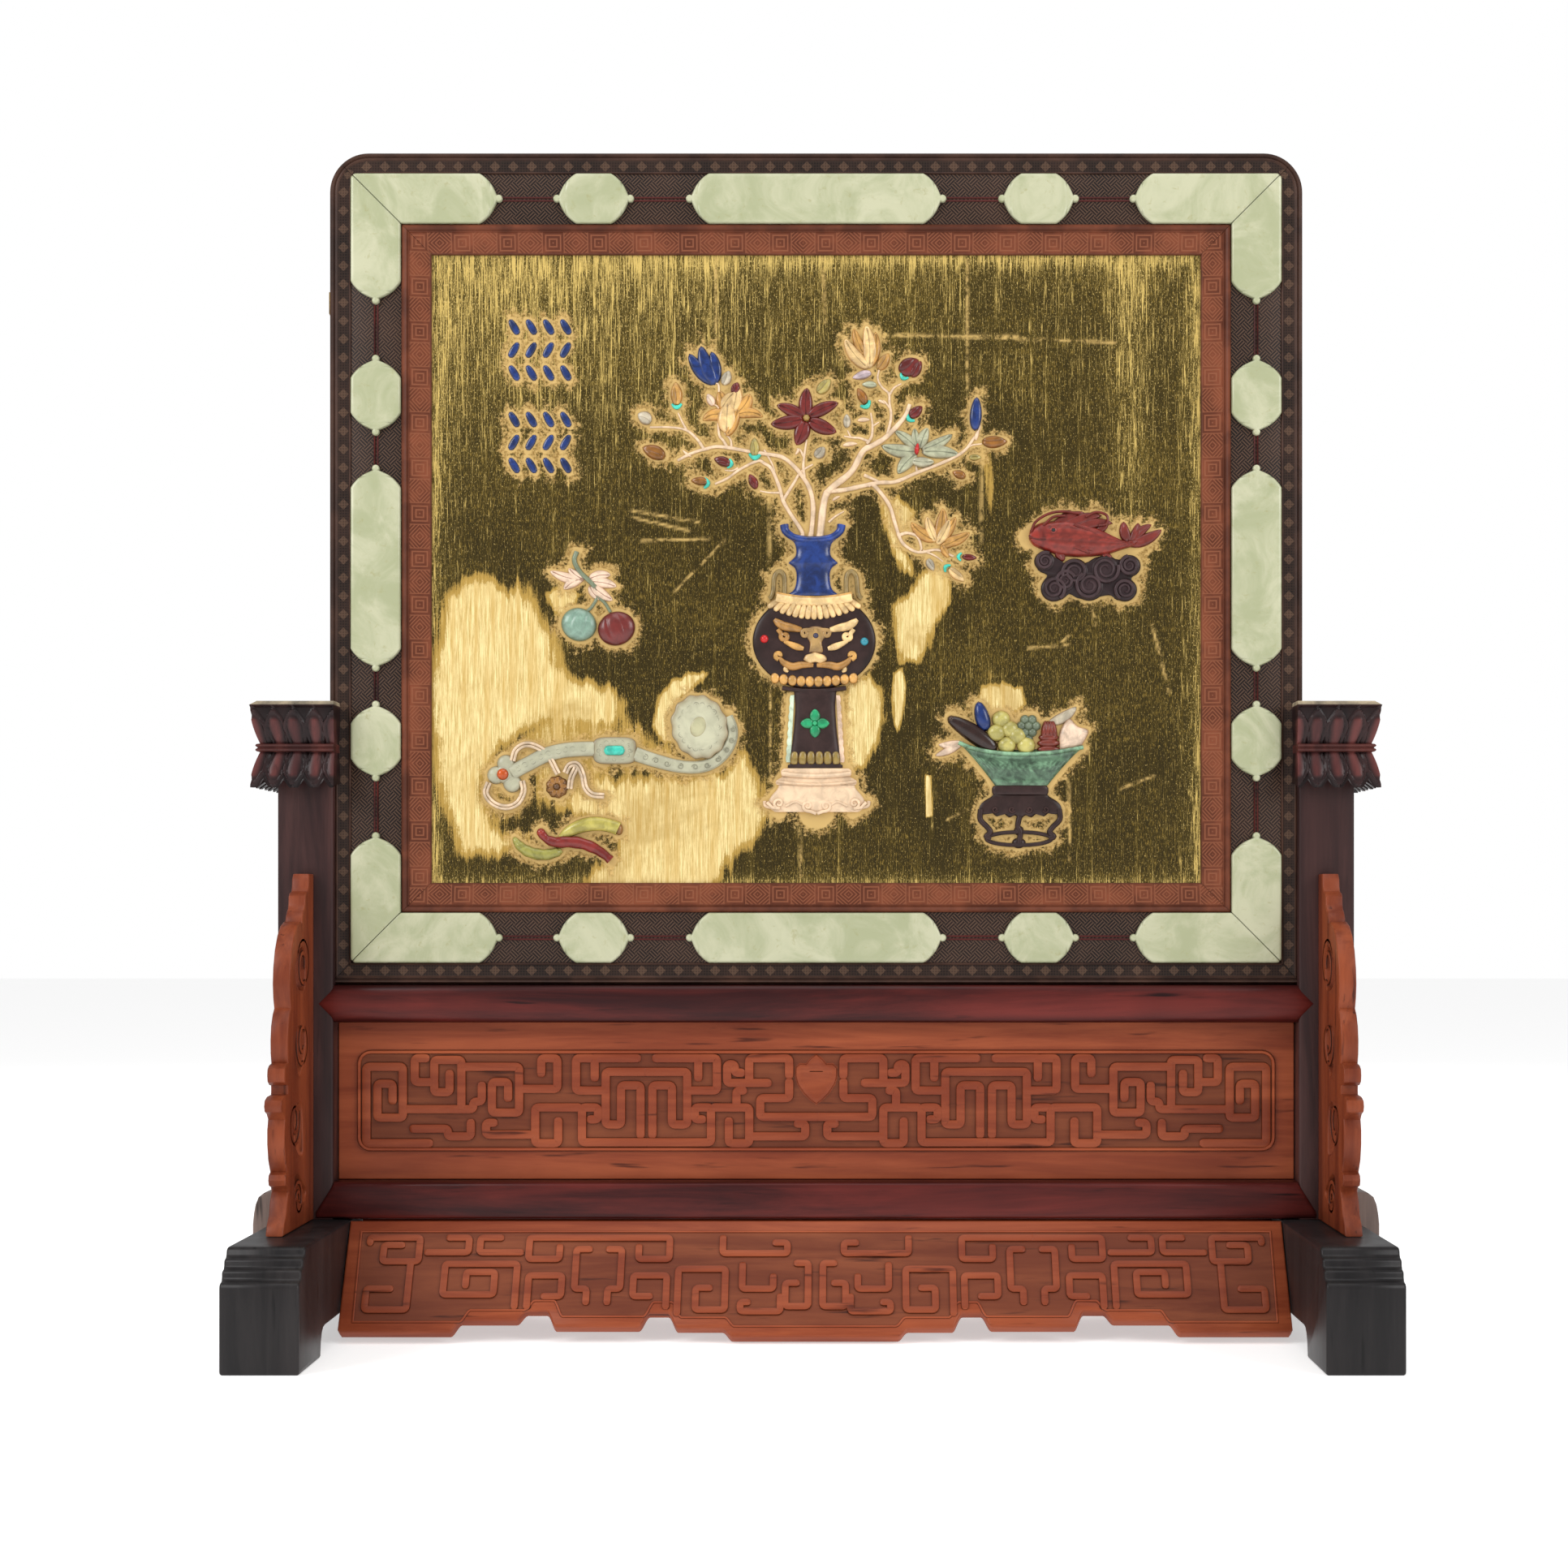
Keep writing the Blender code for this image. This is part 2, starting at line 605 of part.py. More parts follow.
def foot(side, name, material):
    """A shoe foot with the carved block that stands against its outer face."""
    low, high = sorted((side * FOOT_INNER, side * POST_OUTER))
    made = side_plate(name, foot_outline(), low, high, material)
    inner, outer = POST_OUTER + GAP, POST_OUTER + SIDE_BLOCK_WIDTH
    root = POST_OUTER - FOOT_WIDTH / 4
    top, under = SIDE_BLOCK_TOP, FOOT_TOP - 2 * MM
    outline = [
        (root, FOOT_ARCH + 2 * MM),
        (outer, FOOT_ARCH + 2 * MM),
        (outer, top - 18 * MM),
        (outer - 1.5 * MM, top - 9 * MM),
        (outer - 3 * MM, top - 3 * MM),
        (outer - 6 * MM, top),
        (inner, top),
        (inner, under),
        (root, under),
    ]
    half = SIDE_BLOCK_DEPTH / 2
    block = front_plate(name + "_block", [(side * x, z) for x, z in outline], half, -half, None)
    combine(made, block, "UNION")
    recess = [
        (inner + 3 * MM, top - 24 * MM),
        (inner + 3 * MM, top - 9 * MM),
        (outer - 5 * MM, top - 7 * MM),
        (outer - 3 * MM, top - 24 * MM),
    ]
    for hand in (-1, 1):
        face = hand * half
        cutter = front_plate(
            f"{name}_recess_{hand + 1}",
            [(side * x, z) for x, z in recess],
            face + hand * SIDE_BLOCK_RECESS,
            face - hand * SIDE_BLOCK_RECESS,
            None,
        )
        combine(made, cutter, "DIFFERENCE")


def capital_ring(x_low, x_high, half_depth, z, relief, point):
    """One level of the lotus capital: a rectangle whose sides swell into petals."""
    steps = PETALS_ON_SIDE * 2
    corners = [(x_low, -half_depth), (x_high, -half_depth), (x_high, half_depth), (x_low, half_depth)]
    ring = []
    for i, start in enumerate(corners):
        end = corners[(i + 1) % 4]
        along = Vector(end) - Vector(start)
        out = Vector((along.y, -along.x)).normalized()
        for step in range(steps):
            swell = (step + 1) % 2
            at = Vector(start) + along * step / steps
            at += out * relief * swell if step else Vector((0, 0))
            ring.append((at.x, at.y, z + point * swell))
    return ring


def lotus_capital(name, side):
    """Two tiers of lotus petals back to back, with a double bead between them."""
    inner = POST_INNER - CAPITAL_LIP
    outer = POST_OUTER + CAPITAL_OVERHANG
    reach = POST_DEPTH / 2 + CAPITAL_OVERHANG
    tier = 0.4 * CAPITAL_HEIGHT
    low, high = CAPITAL_BOTTOM, CAPITAL_BOTTOM + CAPITAL_HEIGHT
    high_tier = high - CAPITAL_CHAMFER
    levels = (
        (low, 0.0, PETAL_RELIEF, -2 * MM),
        (low + 0.5 * tier, 0.25 * CAPITAL_WAIST, PETAL_RELIEF, 0),
        (low + tier, CAPITAL_WAIST, 0, 0),
        (low + tier + 2 * MM, CAPITAL_BEAD, 0, 0),
        (high_tier - tier, CAPITAL_WAIST, 0, 0),
        (high_tier - 0.5 * tier, 0.25 * CAPITAL_WAIST, PETAL_RELIEF, 0),
        (high_tier, 0.0, PETAL_RELIEF * 0.5, 0),
        (high, CAPITAL_CHAMFER, 0, 0),
    )
    rings = []
    for z, inset, relief, point in levels:
        x_low, x_high = inner + inset * 0.1, outer - inset
        ring = capital_ring(x_low, x_high, reach - inset, z, relief, point)
        rings.append([(side * x, y, z) for x, y, z in ring])
    return loft(name, rings, None)


def post(side, name, material):
    """A post and its lotus capital in one piece, grooved for the frame and notched for the rails."""
    low, high = sorted((side * POST_INNER, side * POST_OUTER))
    top = CAPITAL_BOTTOM + CAPITAL_HEIGHT / 2
    outline = [(low, FOOT_SEAT), (high, FOOT_SEAT), (high, top), (low, top)]
    made = front_plate(name, outline, POST_DEPTH / 2, POST_FRONT, material)
    combine(made, lotus_capital(name + "_capital", side), "UNION")
    groove_low, groove_high = sorted(
        (side * (FRAME_WIDTH / 2 + GAP), side * (POST_INNER - CAPITAL_OVERHANG))
    )
    half = FRAME_THICKNESS / 2 + GAP
    outline = [
        (groove_low, FRAME_BOTTOM - GAP),
        (groove_high, FRAME_BOTTOM - GAP),
        (groove_high, FRAME_TOP),
        (groove_low, FRAME_TOP),
    ]
    combine(made, front_plate(name + "_groove", outline, half, -half, None), "DIFFERENCE")
    for rail, bottom, height, point in rail_list():
        for hand in (-1, 1):
            outline = [
                (side * x, z)
                for x, z in rail_point(bottom - GAP, height + 2 * GAP, point, POST_INNER - POST_WIDTH, GAP)
            ]
            face = hand * POST_DEPTH / 2
            cutter = front_plate(
                f"{name}_{rail}_{hand + 1}",
                outline,
                face + hand * POST_DEPTH,
                face - hand * (MITRE_DEPTH + GAP),
                None,
            )
            combine(made, cutter, "DIFFERENCE")


def rail_list():
    """Name, underside, height and where its point lies, for each rail."""
    return (
        ("top_rail", TOP_RAIL_BOTTOM, TOP_RAIL_HEIGHT, 0.5),
        ("low_rail", FOOT_SEAT, LOW_RAIL_HEIGHT, 0.2),
    )


def rail_point(bottom, height, point, start, extra=0.0):
    """The mitred end of a rail's face, seen from the front, for the right post."""
    reach = POST_INNER + height / 2 + extra
    low = bottom if point > 0.4 else bottom - 10 * extra
    return [
        (start, low),
        (POST_INNER if point > 0.4 else reach, low),
        (reach, bottom + point * height),
        (POST_INNER, bottom + height),
        (start, bottom + height),
    ]


def rail(name, bottom, height, point, material):
    """A rail between the posts whose rounded faces run out to points laid in the posts."""
    seat = POST_DEPTH / 2 - MITRE_DEPTH
    core = seat + MM
    half = POST_INNER - GAP
    outline = [(-half, bottom), (half, bottom), (half, bottom + height), (-half, bottom + height)]
    made = front_plate(name, outline, core, -core, material)
    right = rail_point(bottom, height, point, 0)[1:4]
    face = right + [(-x, z) for x, z in reversed(right)]
    for hand in (-1, 1):
        inset = offset_outline(face, 3 * MM)
        depths = (seat, POST_DEPTH / 2 - 1.5 * MM, POST_DEPTH / 2 + RAIL_PROUD)
        rings = [
            [(x, hand * depths[0], z) for x, z in face],
            [(x, hand * depths[1], z) for x, z in face],
            [(x, hand * depths[2], z) for x, z in inset],
        ]
        combine(made, loft(f"{name}_face_{hand + 1}", rings, None), "UNION")


def waist_panel(material):
    """The panel between the rails, with a fret cartouche carved on its front."""
    half = POST_INNER - GAP
    outline = [(-half, WAIST_BOTTOM), (half, WAIST_BOTTOM), (half, WAIST_TOP), (-half, WAIST_TOP)]
    face = -WAIST_THICKNESS / 2
    made = front_plate("waist_panel", outline, -face, face, material)
    low, high = WAIST_MIDDLE - CARTOUCHE_HEIGHT / 2, WAIST_MIDDLE + CARTOUCHE_HEIGHT / 2
    edge = rounded_rectangle(CARTOUCHE_LENGTH / 2, low, high, CARTOUCHE_CORNER)
    inside = offset_outline(edge, CARTOUCHE_BEAD)
    bead = front_plate("waist_bead", edge, face + MM, face - RELIEF, None)
    well = front_plate("waist_well", inside, face - 0.4 * MM, face - 2 * RELIEF, None)
    combine(bead, well, "DIFFERENCE")
    combine(made, bead, "UNION")
    first_row = WAIST_MIDDLE - 5 * WAIST_PITCH

    def place(column, row):
        return (column * WAIST_PITCH, first_row + row * WAIST_PITCH)

    bands = fret_bands(WAIST_HOOKS, WAIST_MODULE_HOOKS, WAIST_MODULE_AXIS)
    raise_bands(made, bands, WAIST_BAND, place, face, face - RELIEF + 0.2 * MM)
    leaf = [(0, 10.5), (1.2, 9.4), (2.3, 9.2), (2.4, 8), (1.9, 6.6), (0, 4.6)]
    leaf = [place(*p) for p in leaf + [(-x, z) for x, z in reversed(leaf[1:-1])]]
    combine(made, front_plate("waist_leaf", leaf, face, face - RELIEF + 0.1 * MM, None), "UNION")


def apron_edge():
    """Lower edge of the apron from left to right, as heights above the apron's lowest line."""
    half = FOOT_INNER - GAP
    right = []
    for i, (start, level) in enumerate(APRON_LEVELS):
        if i:
            before = APRON_LEVELS[i - 1][1]
            right += [(start - APRON_RISE / 2, before), (start, (before + level) / 2)]
            right.append((start + APRON_RISE / 2, level))
    right.append((half, APRON_LEVELS[-1][1]))
    return [(-x, z) for x, z in reversed(right)] + right


def apron(name, hand, material):
    """A sloping apron under the low rail, made upright and then leant. hand is -1 at the front.

    Only the front one is carved.
    """
    rise = FOOT_TOP - APRON_BOTTOM
    slope = math.atan2(APRON_SPREAD, rise)
    stretch = 1 / math.cos(slope)
    height = rise * stretch
    half = FOOT_INNER - GAP
    head = APRON_THICKNESS * math.tan(slope)
    outline = [(x, z * stretch - height) for x, z in apron_edge()] + [(half, head), (-half, head)]
    made = front_plate(name, outline, APRON_THICKNESS, 0, material)
    face = hand * (POST_DEPTH / 2 + RAIL_PROUD)
    around = Matrix.Rotation(0 if hand < 0 else math.pi, 4, "Z")
    lean = Matrix.Translation((0, face, FOOT_TOP)) @ around @ Matrix.Rotation(-slope, 4, "X")

    def place(column, row):
        z = APRON_FIRST_ROW - APRON_BOTTOM + row * APRON_ROW
        return (column * APRON_COLUMN, z * stretch - height)

    if hand < 0:
        bands = fret_bands(APRON_HOOKS, APRON_MODULE_HOOKS, APRON_MODULE_AXIS)
        raise_bands(made, bands, APRON_BAND, place, MM, -APRON_RELIEF)
        settle(made)
    made.data.transform(lean)
    size = 2 * POST_OUTER
    above = [(-size, FOOT_TOP), (size, FOOT_TOP), (size, size), (-size, size)]
    combine(made, front_plate(name + "_head", above, size, -size, None), "DIFFERENCE")


def spandrel_outline():
    """Side view of a standing spandrel: lobes and beads down its front edge. (depth, height)."""
    d, h = SPANDREL_DEPTH, SPANDREL_HEIGHT
    front = [
        (0.16, 1.00),
        (0.22, 0.945),
        (0.34, 0.93),
        (0.38, 0.875),
        (0.55, 0.855),
        (0.70, 0.80),
        (0.79, 0.70),
        (0.73, 0.625),
        (0.84, 0.57),
        (0.86, 0.50),
        (0.83, 0.465),
        (0.95, 0.455),
        (0.95, 0.425),
        (0.84, 0.41),
        (0.84, 0.385),
        (1.05, 0.375),
        (1.05, 0.34),
        (0.94, 0.32),
        (0.95, 0.25),
        (0.84, 0.17),
        (0.92, 0.16),
        (0.92, 0.135),
        (0.81, 0.12),
        (0.90, 0.07),
        (1.00, 0.00),
    ]
    return [(0, 1.0 * h)] + [(x * d, z * h) for x, z in front] + [(0, 0)]


def spandrel(name, side, hand, material):
    """An openwork spandrel on edge between foot and post. hand is -1 in front and 1 behind."""
    middle = side * (POST_INNER + POST_OUTER) / 2
    start = POST_DEPTH / 2 + GAP

    def place(points):
        return [(hand * (start + y), FOOT_SEAT + z) for y, z in points]

    low, high = middle - SPANDREL_THICKNESS / 2, middle + SPANDREL_THICKNESS / 2
    made = side_plate(name, place(spandrel_outline()), low, high, material)
    d, h = SPANDREL_DEPTH, SPANDREL_HEIGHT
    holes = (
        (0.42, 0.72, 0.17, 0.062, 60),
        (0.45, 0.50, 0.20, 0.055, 110),
        (0.50, 0.27, 0.22, 0.055, 70),
        (0.45, 0.10, 0.20, 0.035, 20),
    )
    for i, (y, z, length, width, tilt) in enumerate(holes):
        ring = ellipse((y * d, z * h), length * d, width * h, 6, tilt)
        cutter = side_plate(
            f"{name}_hole_{i}", place(ring), low - SPANDREL_THICKNESS, high + SPANDREL_THICKNESS, None
        )
        combine(made, cutter, "DIFFERENCE")


def mirrored(profile):
    """A closed outline from (z, half width) pairs, upwards."""
    right = [(w, z) for z, w in profile]
    return right + [(-w, z) for w, z in reversed(right)]


def inlay(name, outline, material, proud=INLAY_PROUD):
    """A flat inlay seated on the gilt board with a chamfered edge."""
    back = GILT_FRONT - GAP
    return front_plate(name, outline, back, back - proud, material, INLAY_CHAMFER)


def fused_inlay(name, shapes, material):
    """One inlay made of outlines, each with its own height, joined where they overlap."""
    back = GILT_FRONT - GAP
    made = None
    for i, (outline, proud) in enumerate(shapes):
        part = front_plate(f"{name}_{i}" if made else name, outline, back, back - proud, material)
        made = combine(made, part, "UNION") if made else part
    return made


def vase(lapis, dark_wood, bone):
    """The vase in four pieces: stand, pillar foot, round body and neck."""
    stand = ((0, 22), (2, 27.5), (9, 28.5), (15, 25), (21, 24), (23, 21), (29.3, 20.8))
    pillar = ((29.8, 15.2), (38, 15.2), (39, 14.4), (70, 12.2), (75.6, 12.6))
    neck = ((134.4, 15.7), (139, 11.5), (146, 10.2), (150, 14), (153.5, 14), (156, 9.8))
    rim = ((162, 10.2), (165, 14), (171, 17.6), (VASE_HEIGHT, 16.5))

    def ring(profile):
        return drawn(mirrored(profile), VASE_AT)

    inlay("vase_stand", ring(stand), bone, 3.2 * MM)
    inlay("vase_pillar", ring(pillar), dark_wood, 3.6 * MM)
    body = drawn(ellipse((0, 105), 36.7, 28.8, 18), VASE_AT)
    mask = drawn(ellipse((0, 101), 22, 17, 12), VASE_AT)
    fused_inlay("vase_body", ((body, 4.4 * MM), (mask, 5.4 * MM)), dark_wood)
    shapes = [(ring(neck + rim), 4 * MM)]
    for hand in (-1, 1):
        loop = [(12, 152), (22, 152), (24.5, 147), (24, 141), (20, 138.5)]
        path = [(hand * x, z) for x, z in loop]
        shapes.append((drawn(band_outline(path, 3), VASE_AT), 3 * MM))
    fused_inlay("vase_neck", shapes, lapis)


def sprig(points):
    """Points in sprig units from the vase's mouth, as X and Z."""
    return drawn([(u * SPRIG_UNIT, VASE_HEIGHT + (v + 1.4) * SPRIG_UNIT) for u, v in points], VASE_AT)


# Branches as width and points in sprig units; each starts on an earlier one or in the mouth.
BRANCHES = (
    (1.9, ((2.8, 0.2), (4.3, 10), (15.8, 22), (20.3, 29), (28.8, 37), (34, 41), (38.6, 48))),
    (1.3, ((-0.6, 0.2), (0.3, 7), (-3.7, 20), (-12.2, 28.6), (-20.2, 30), (-32.2, 31.5))),
    (0.9, ((-31, 31.5), (-42.2, 32), (-49.5, 40), (-57.2, 40.5), (-65.2, 42))),
    (1.1, ((-4.4, 0.2), (-11.7, 10), (-15, 21), (-20.7, 28.6), (-39, 18))),
    (1.2, ((6, 13), (19.8, 17), (30.8, 19), (40.8, 23), (47.8, 24), (57, 29), (65.5, 41))),
    (1.2, ((19, 17), (26.8, 16.3), (32.8, 9), (33.8, 1), (36.3, -5), (47.8, -9.5), (54, -11))),
    (1.0, ((29, 37), (31.8, 46), (30.3, 55), (24, 63), (21, 70))),
    (0.9, ((-3.7, 20), (-3, 40))),
    (0.9, ((-33, 31.5), (-37, 52), (-42, 63))),
    (0.9, ((46, -9.5), (51, -2))),
    (1.8, ((-5, 0.8), (4, 0.8))),
)
# Blossoms: middle, radius, petals and turn.
BLOSSOMS = (
    (-2.7, 44, 12.5, 6, 15),
    (42.5, 30.5, 14, 6, 40),
    (-33, 47, 11, 5, 90),
    (50.5, -0.5, 10, 5, 60),
    (18.5, 72, 8.5, 4, 10),
)
# Buds: middle, half length, half width and tilt.
BUDS = (
    (-44.5, 64.5, 8, 4, -60),
    (65.5, 44.5, 6.5, 2.6, 85),
    (-66, 43.5, 4, 2.3, -40),
    (39, 53, 5.5, 3, 60),
    (56, -11.5, 4, 2, 0),
    (-41, 18, 4, 3, 30),
)


def blossom_outline(u, v, radius, petals, turn):
    """A star of rounded petals."""
    points = []
    for i in range(petals * 2):
        reach = radius if i % 2 == 0 else radius * 0.45
        a = math.radians(turn + i * 180 / petals)
        points.append((u + reach * math.cos(a), v + reach * math.sin(a)))
    return points


def magnolia_branch(bone):
    """The branches with the blossoms and buds that touch them, fused into one piece."""
    back = GILT_FRONT - GAP
    group = bpy.data.collections.new("magnolia_branch_parts")
    made = None
    for i, (width, path) in enumerate(BRANCHES):
        outline = sprig(band_outline(path, width))
        proud = INLAY_PROUD - (0.1 + 0.07 * i) * MM
        piece = front_plate("magnolia_branch" if i == 0 else f"branch_{i}", outline, back, back - proud, bone)
        if made is None:
            made = piece
        else:
            group.objects.link(hidden(piece))
    flowers = [blossom_outline(*blossom) for blossom in BLOSSOMS]
    flowers += [ellipse((u, v), length, width, 6, tilt) for u, v, length, width, tilt in BUDS]
    for i, outline in enumerate(flowers):
        proud = INLAY_PROUD + (0.3 + 0.05 * i) * MM
        piece = front_plate(f"blossom_{i}", sprig(outline), back, back - proud, bone)
        group.objects.link(hidden(piece))
    modifier = made.modifiers.new("Blossoms", "BOOLEAN")
    modifier.operation = "UNION"
    modifier.operand_type = "COLLECTION"
    modifier.collection = group


# Fruit in the bowl: middle from the middle of the rim, half sizes, tilt and height in mm.
FRUIT = (
    (-29, 9, 18.5, 5.6, -33, 4.4),
    (-40.5, 4.5, 9.5, 2.8, 20, 2.6),
    (-22.3, 17.6, 4.4, 8.8, 5, 4.1),
    (-11.4, 18.9, 6, 6, 0, 4.6),
    (-14.4, 9.7, 6.2, 6.2, 20, 4.9),
    (-2, 9.2, 5.8, 5.8, 10, 4.3),
    (-7.7, 3.3, 6, 6, 0, 5.1),
    (3.8, 2.6, 6, 6, 15, 4.7),
    (5.5, 14, 7.4, 7, 0, 4.2),
    (16, 7, 6.8, 10, 0, 4.5),
    (29.8, 8, 9, 8.4, 30, 4),
    (25, 20, 9.4, 3.6, 30, 2.8),
)
# Coils of the cloud stand: middle, from the middle of the carp, and radius.
CLOUDS = (
    (-29.5, -14, 5.6),
    (-25, -28.5, 7.6),
    (-14, -21, 7.4),
    (-4, -29, 7.4),
    (6, -21.5, 8),
    (18, -28.5, 7.6),
    (20.5, -16.5, 7),
)
# Bands of the sceptre: width, height in mm, and points from the middle of its shaft.
SCEPTRE = (
    (9, 2.6, ((-44, -10), (-22, -1.8), (3.8, 0))),
    (7.8, 2.5, ((24, -1.5), (48.4, -7.7), (66, -10.2), (81, -5), (86.5, 10))),
    (2.6, 2.1, ((-40, -7), (-36, 2), (-27, 1), (-19, -6), (-17, -18))),
    (2.4, 1.9, ((-54, -18), (-57, -26), (-50, -33), (-40, -30), (-38, -20), (-44, -12))),
    (2.4, 1.9, ((-14, -21), (-9, -10), (-3, -12), (0, -22), (10, -27))),
)
# Discs of the sceptre: middle, half sizes, sides and height in mm.
SCEPTRE_DISCS = (
    (67.7, 14, 17.8, 17.8, 14, 3.7),
    (17, -0.4, 13.2, 8.5, 10, 3.3),
    (-49, -14.7, 10, 9.5, 10, 3.4),
    (-17.3, -21.7, 6.6, 6.6, 8, 2.9),
)
# Pods from end to end: start, end, bow to the left of the way along, width, and height in mm.
PODS = (
    ((-14, 4), (26, -14), 1, 8.2, 3.6),
    ((-9, 0), (31, 9.5), 3, 9.4, 3.0),
    ((-32, 2), (1, -4.5), -5, 8, 2.8),
)


def drawn(points, at):
    """Points in the picture's units about a place on the board, as X and Z."""
    x_at = at[0] * BOARD_WIDTH / PICTURE_WIDE
    z_at = FRAME_MIDDLE + at[1] * BOARD_HEIGHT / PICTURE_HIGH
    return [(x_at + x * UNIT, z_at + z * UNIT) for x, z in points]


def rim_line(lift):
    """The bowl's sagging rim from left to right."""
    return [(-36.6, 2.6 + lift), (-22, 0 + lift), (0, -1.6 + lift), (22, 0 + lift), (36.6, 2.6 + lift)]


def fruit_bowl(green, dark_wood, fruit):
    """A footed bowl of fruit on its own little stand."""
    wall = [(32, -5), (22, -14), (16, -18), (15, -21.4)]
    bowl = rim_line(0) + wall + [(-x, z) for x, z in reversed(wall)]
    inlay("fruit_bowl", drawn(bowl, BOWL_AT), green, 3.4 * MM)
    shapes = [(ellipse((x, z), w, h, 8, tilt), proud * MM) for x, z, w, h, tilt, proud in FRUIT]
    heap = fused_inlay("bowl_fruit", [(drawn(ring, BOWL_AT), proud) for ring, proud in shapes], fruit)
    under = rim_line(GAP / UNIT) + [(36.6, -30), (-36.6, -30)]
    cutter = front_plate("bowl_under", drawn(under, BOWL_AT), 0, 2 * GILT_FRONT, None)
    combine(heap, cutter, "DIFFERENCE")
    stand = ((-57, 17), (-53, 20), (-48, 16), (-38, 22), (-32, 23.5), (-27, 20), (-22, 16.4))
    made = inlay("bowl_stand", drawn(mirrored(stand), BOWL_AT), dark_wood, 3 * MM)
    for hand in (-1, 1):
        gap = ellipse((hand * 8.6, -43.5), 6.6, 5, 8)
        cutter = front_plate(f"stand_gap_{hand + 1}", drawn(gap, BOWL_AT), 0, 2 * GILT_FRONT, None)
        combine(made, cutter, "DIFFERENCE")


def carp_on_stand(red, dark_wood):
    """A carp lying on a stand of coiled clouds."""
    carp = [(-38, 4), (-36, -3), (-17, -11.5), (11, -11.5), (17, -7), (29, -1), (40, 3), (37, 10)]
    carp += [(24, 10), (17, 11), (14, 6), (8, 12), (-5, 14.4), (-20, 16.7), (-33, 14), (-37, 8.5)]
    inlay("carp", drawn(carp, FISH_AT), red, 3.6 * MM)
    shapes = []
    for i, (x, z, radius) in enumerate(CLOUDS):
        ring = ellipse((x, z), radius, radius, 10, 8 * i)
        shapes.append((drawn(ring, FISH_AT), (2.6 + 0.1 * i) * MM))
    shapes.append((drawn([(-26, -30), (18, -30), (18, -18), (-14, -17), (-28, -15)], FISH_AT), 2.2 * MM))
    fused_inlay("carp_stand", shapes, dark_wood)


def ruyi_sceptre(pale_jade):
    """A bent sceptre: round head, middle plaque, lobed foot, and a cord with a rosette."""
    shapes = []
    for x, z, w, h, sides, proud in SCEPTRE_DISCS:
        shapes.append((drawn(ellipse((x, z), w, h, sides), RUYI_AT), proud * MM))
    for width, proud, path in SCEPTRE:
        shapes.append((drawn(band_outline(path, width), RUYI_AT), proud * MM))
    fused_inlay("ruyi_sceptre", shapes, pale_jade)


def fruit_spray(green):
    """Two round fruits hanging from a stem with leaves, fused where they touch."""
    shapes = (
        (ellipse((-13, -4), 10.8, 10.6, 12), 4.4),
        (ellipse((8.6, -6.4), 11.3, 11.2, 12), 4.8),
        (band_outline([(-14.5, 38.6), (-15.9, 33.3), (-12.5, 27), (-6, 20), (-13, 2)], 2.4), 2.9),
        (band_outline([(-6, 20), (8, 0)], 2.2), 2.7),
        (ellipse((-19.5, 23.4), 11, 4.6, 10, 20), 2.3),
        (ellipse((1, 19), 9.6, 5, 10, -40), 2.5),
    )
    fused_inlay("fruit_spray", [(drawn(ring, SPRAY_AT), proud * MM) for ring, proud in shapes], green)


def spindle(start, end, bow, width, steps=6):
    """A bowed shape that swells from a point to its width and back to a point."""
    start, end = Vector(start), Vector(end)
    normal = Vector((start.y - end.y, end.x - start.x)).normalized()
    sides = ([], [])
    for i in range(1, steps):
        t = i / steps
        middle = start.lerp(end, t) + normal * bow * 4 * t * (1 - t)
        half = width / 2 * math.sqrt(math.sin(math.pi * t))
        sides[0].append(tuple(middle + normal * half))
        sides[1].append(tuple(middle - normal * half))
    return [tuple(start)] + sides[0] + [tuple(end)] + sides[1][::-1]


def fruit_pods(red):
    """Three curved pods crossed over each other, in one piece."""
    shapes = []
    for start, end, bow, width, proud in PODS:
        shapes.append((drawn(spindle(start, end, bow, width), PODS_AT), proud * MM))
    fused_inlay("fruit_pods", shapes, red)


def brass_catch(brass):
    """The small brass catch on the left edge of the frame."""
    edge, middle = -FRAME_WIDTH / 2 - GAP, FRAME_TOP - CATCH_DROP
    outline = [
        (edge, middle - CATCH_HEIGHT / 2),
        (edge, middle + CATCH_HEIGHT / 2),
        (edge - CATCH_THICKNESS, middle + CATCH_HEIGHT / 2),
        (edge - CATCH_THICKNESS, middle - CATCH_HEIGHT / 4),
    ]
    front_plate("brass_catch", outline, CATCH_DEPTH / 2, -CATCH_DEPTH / 2, brass)


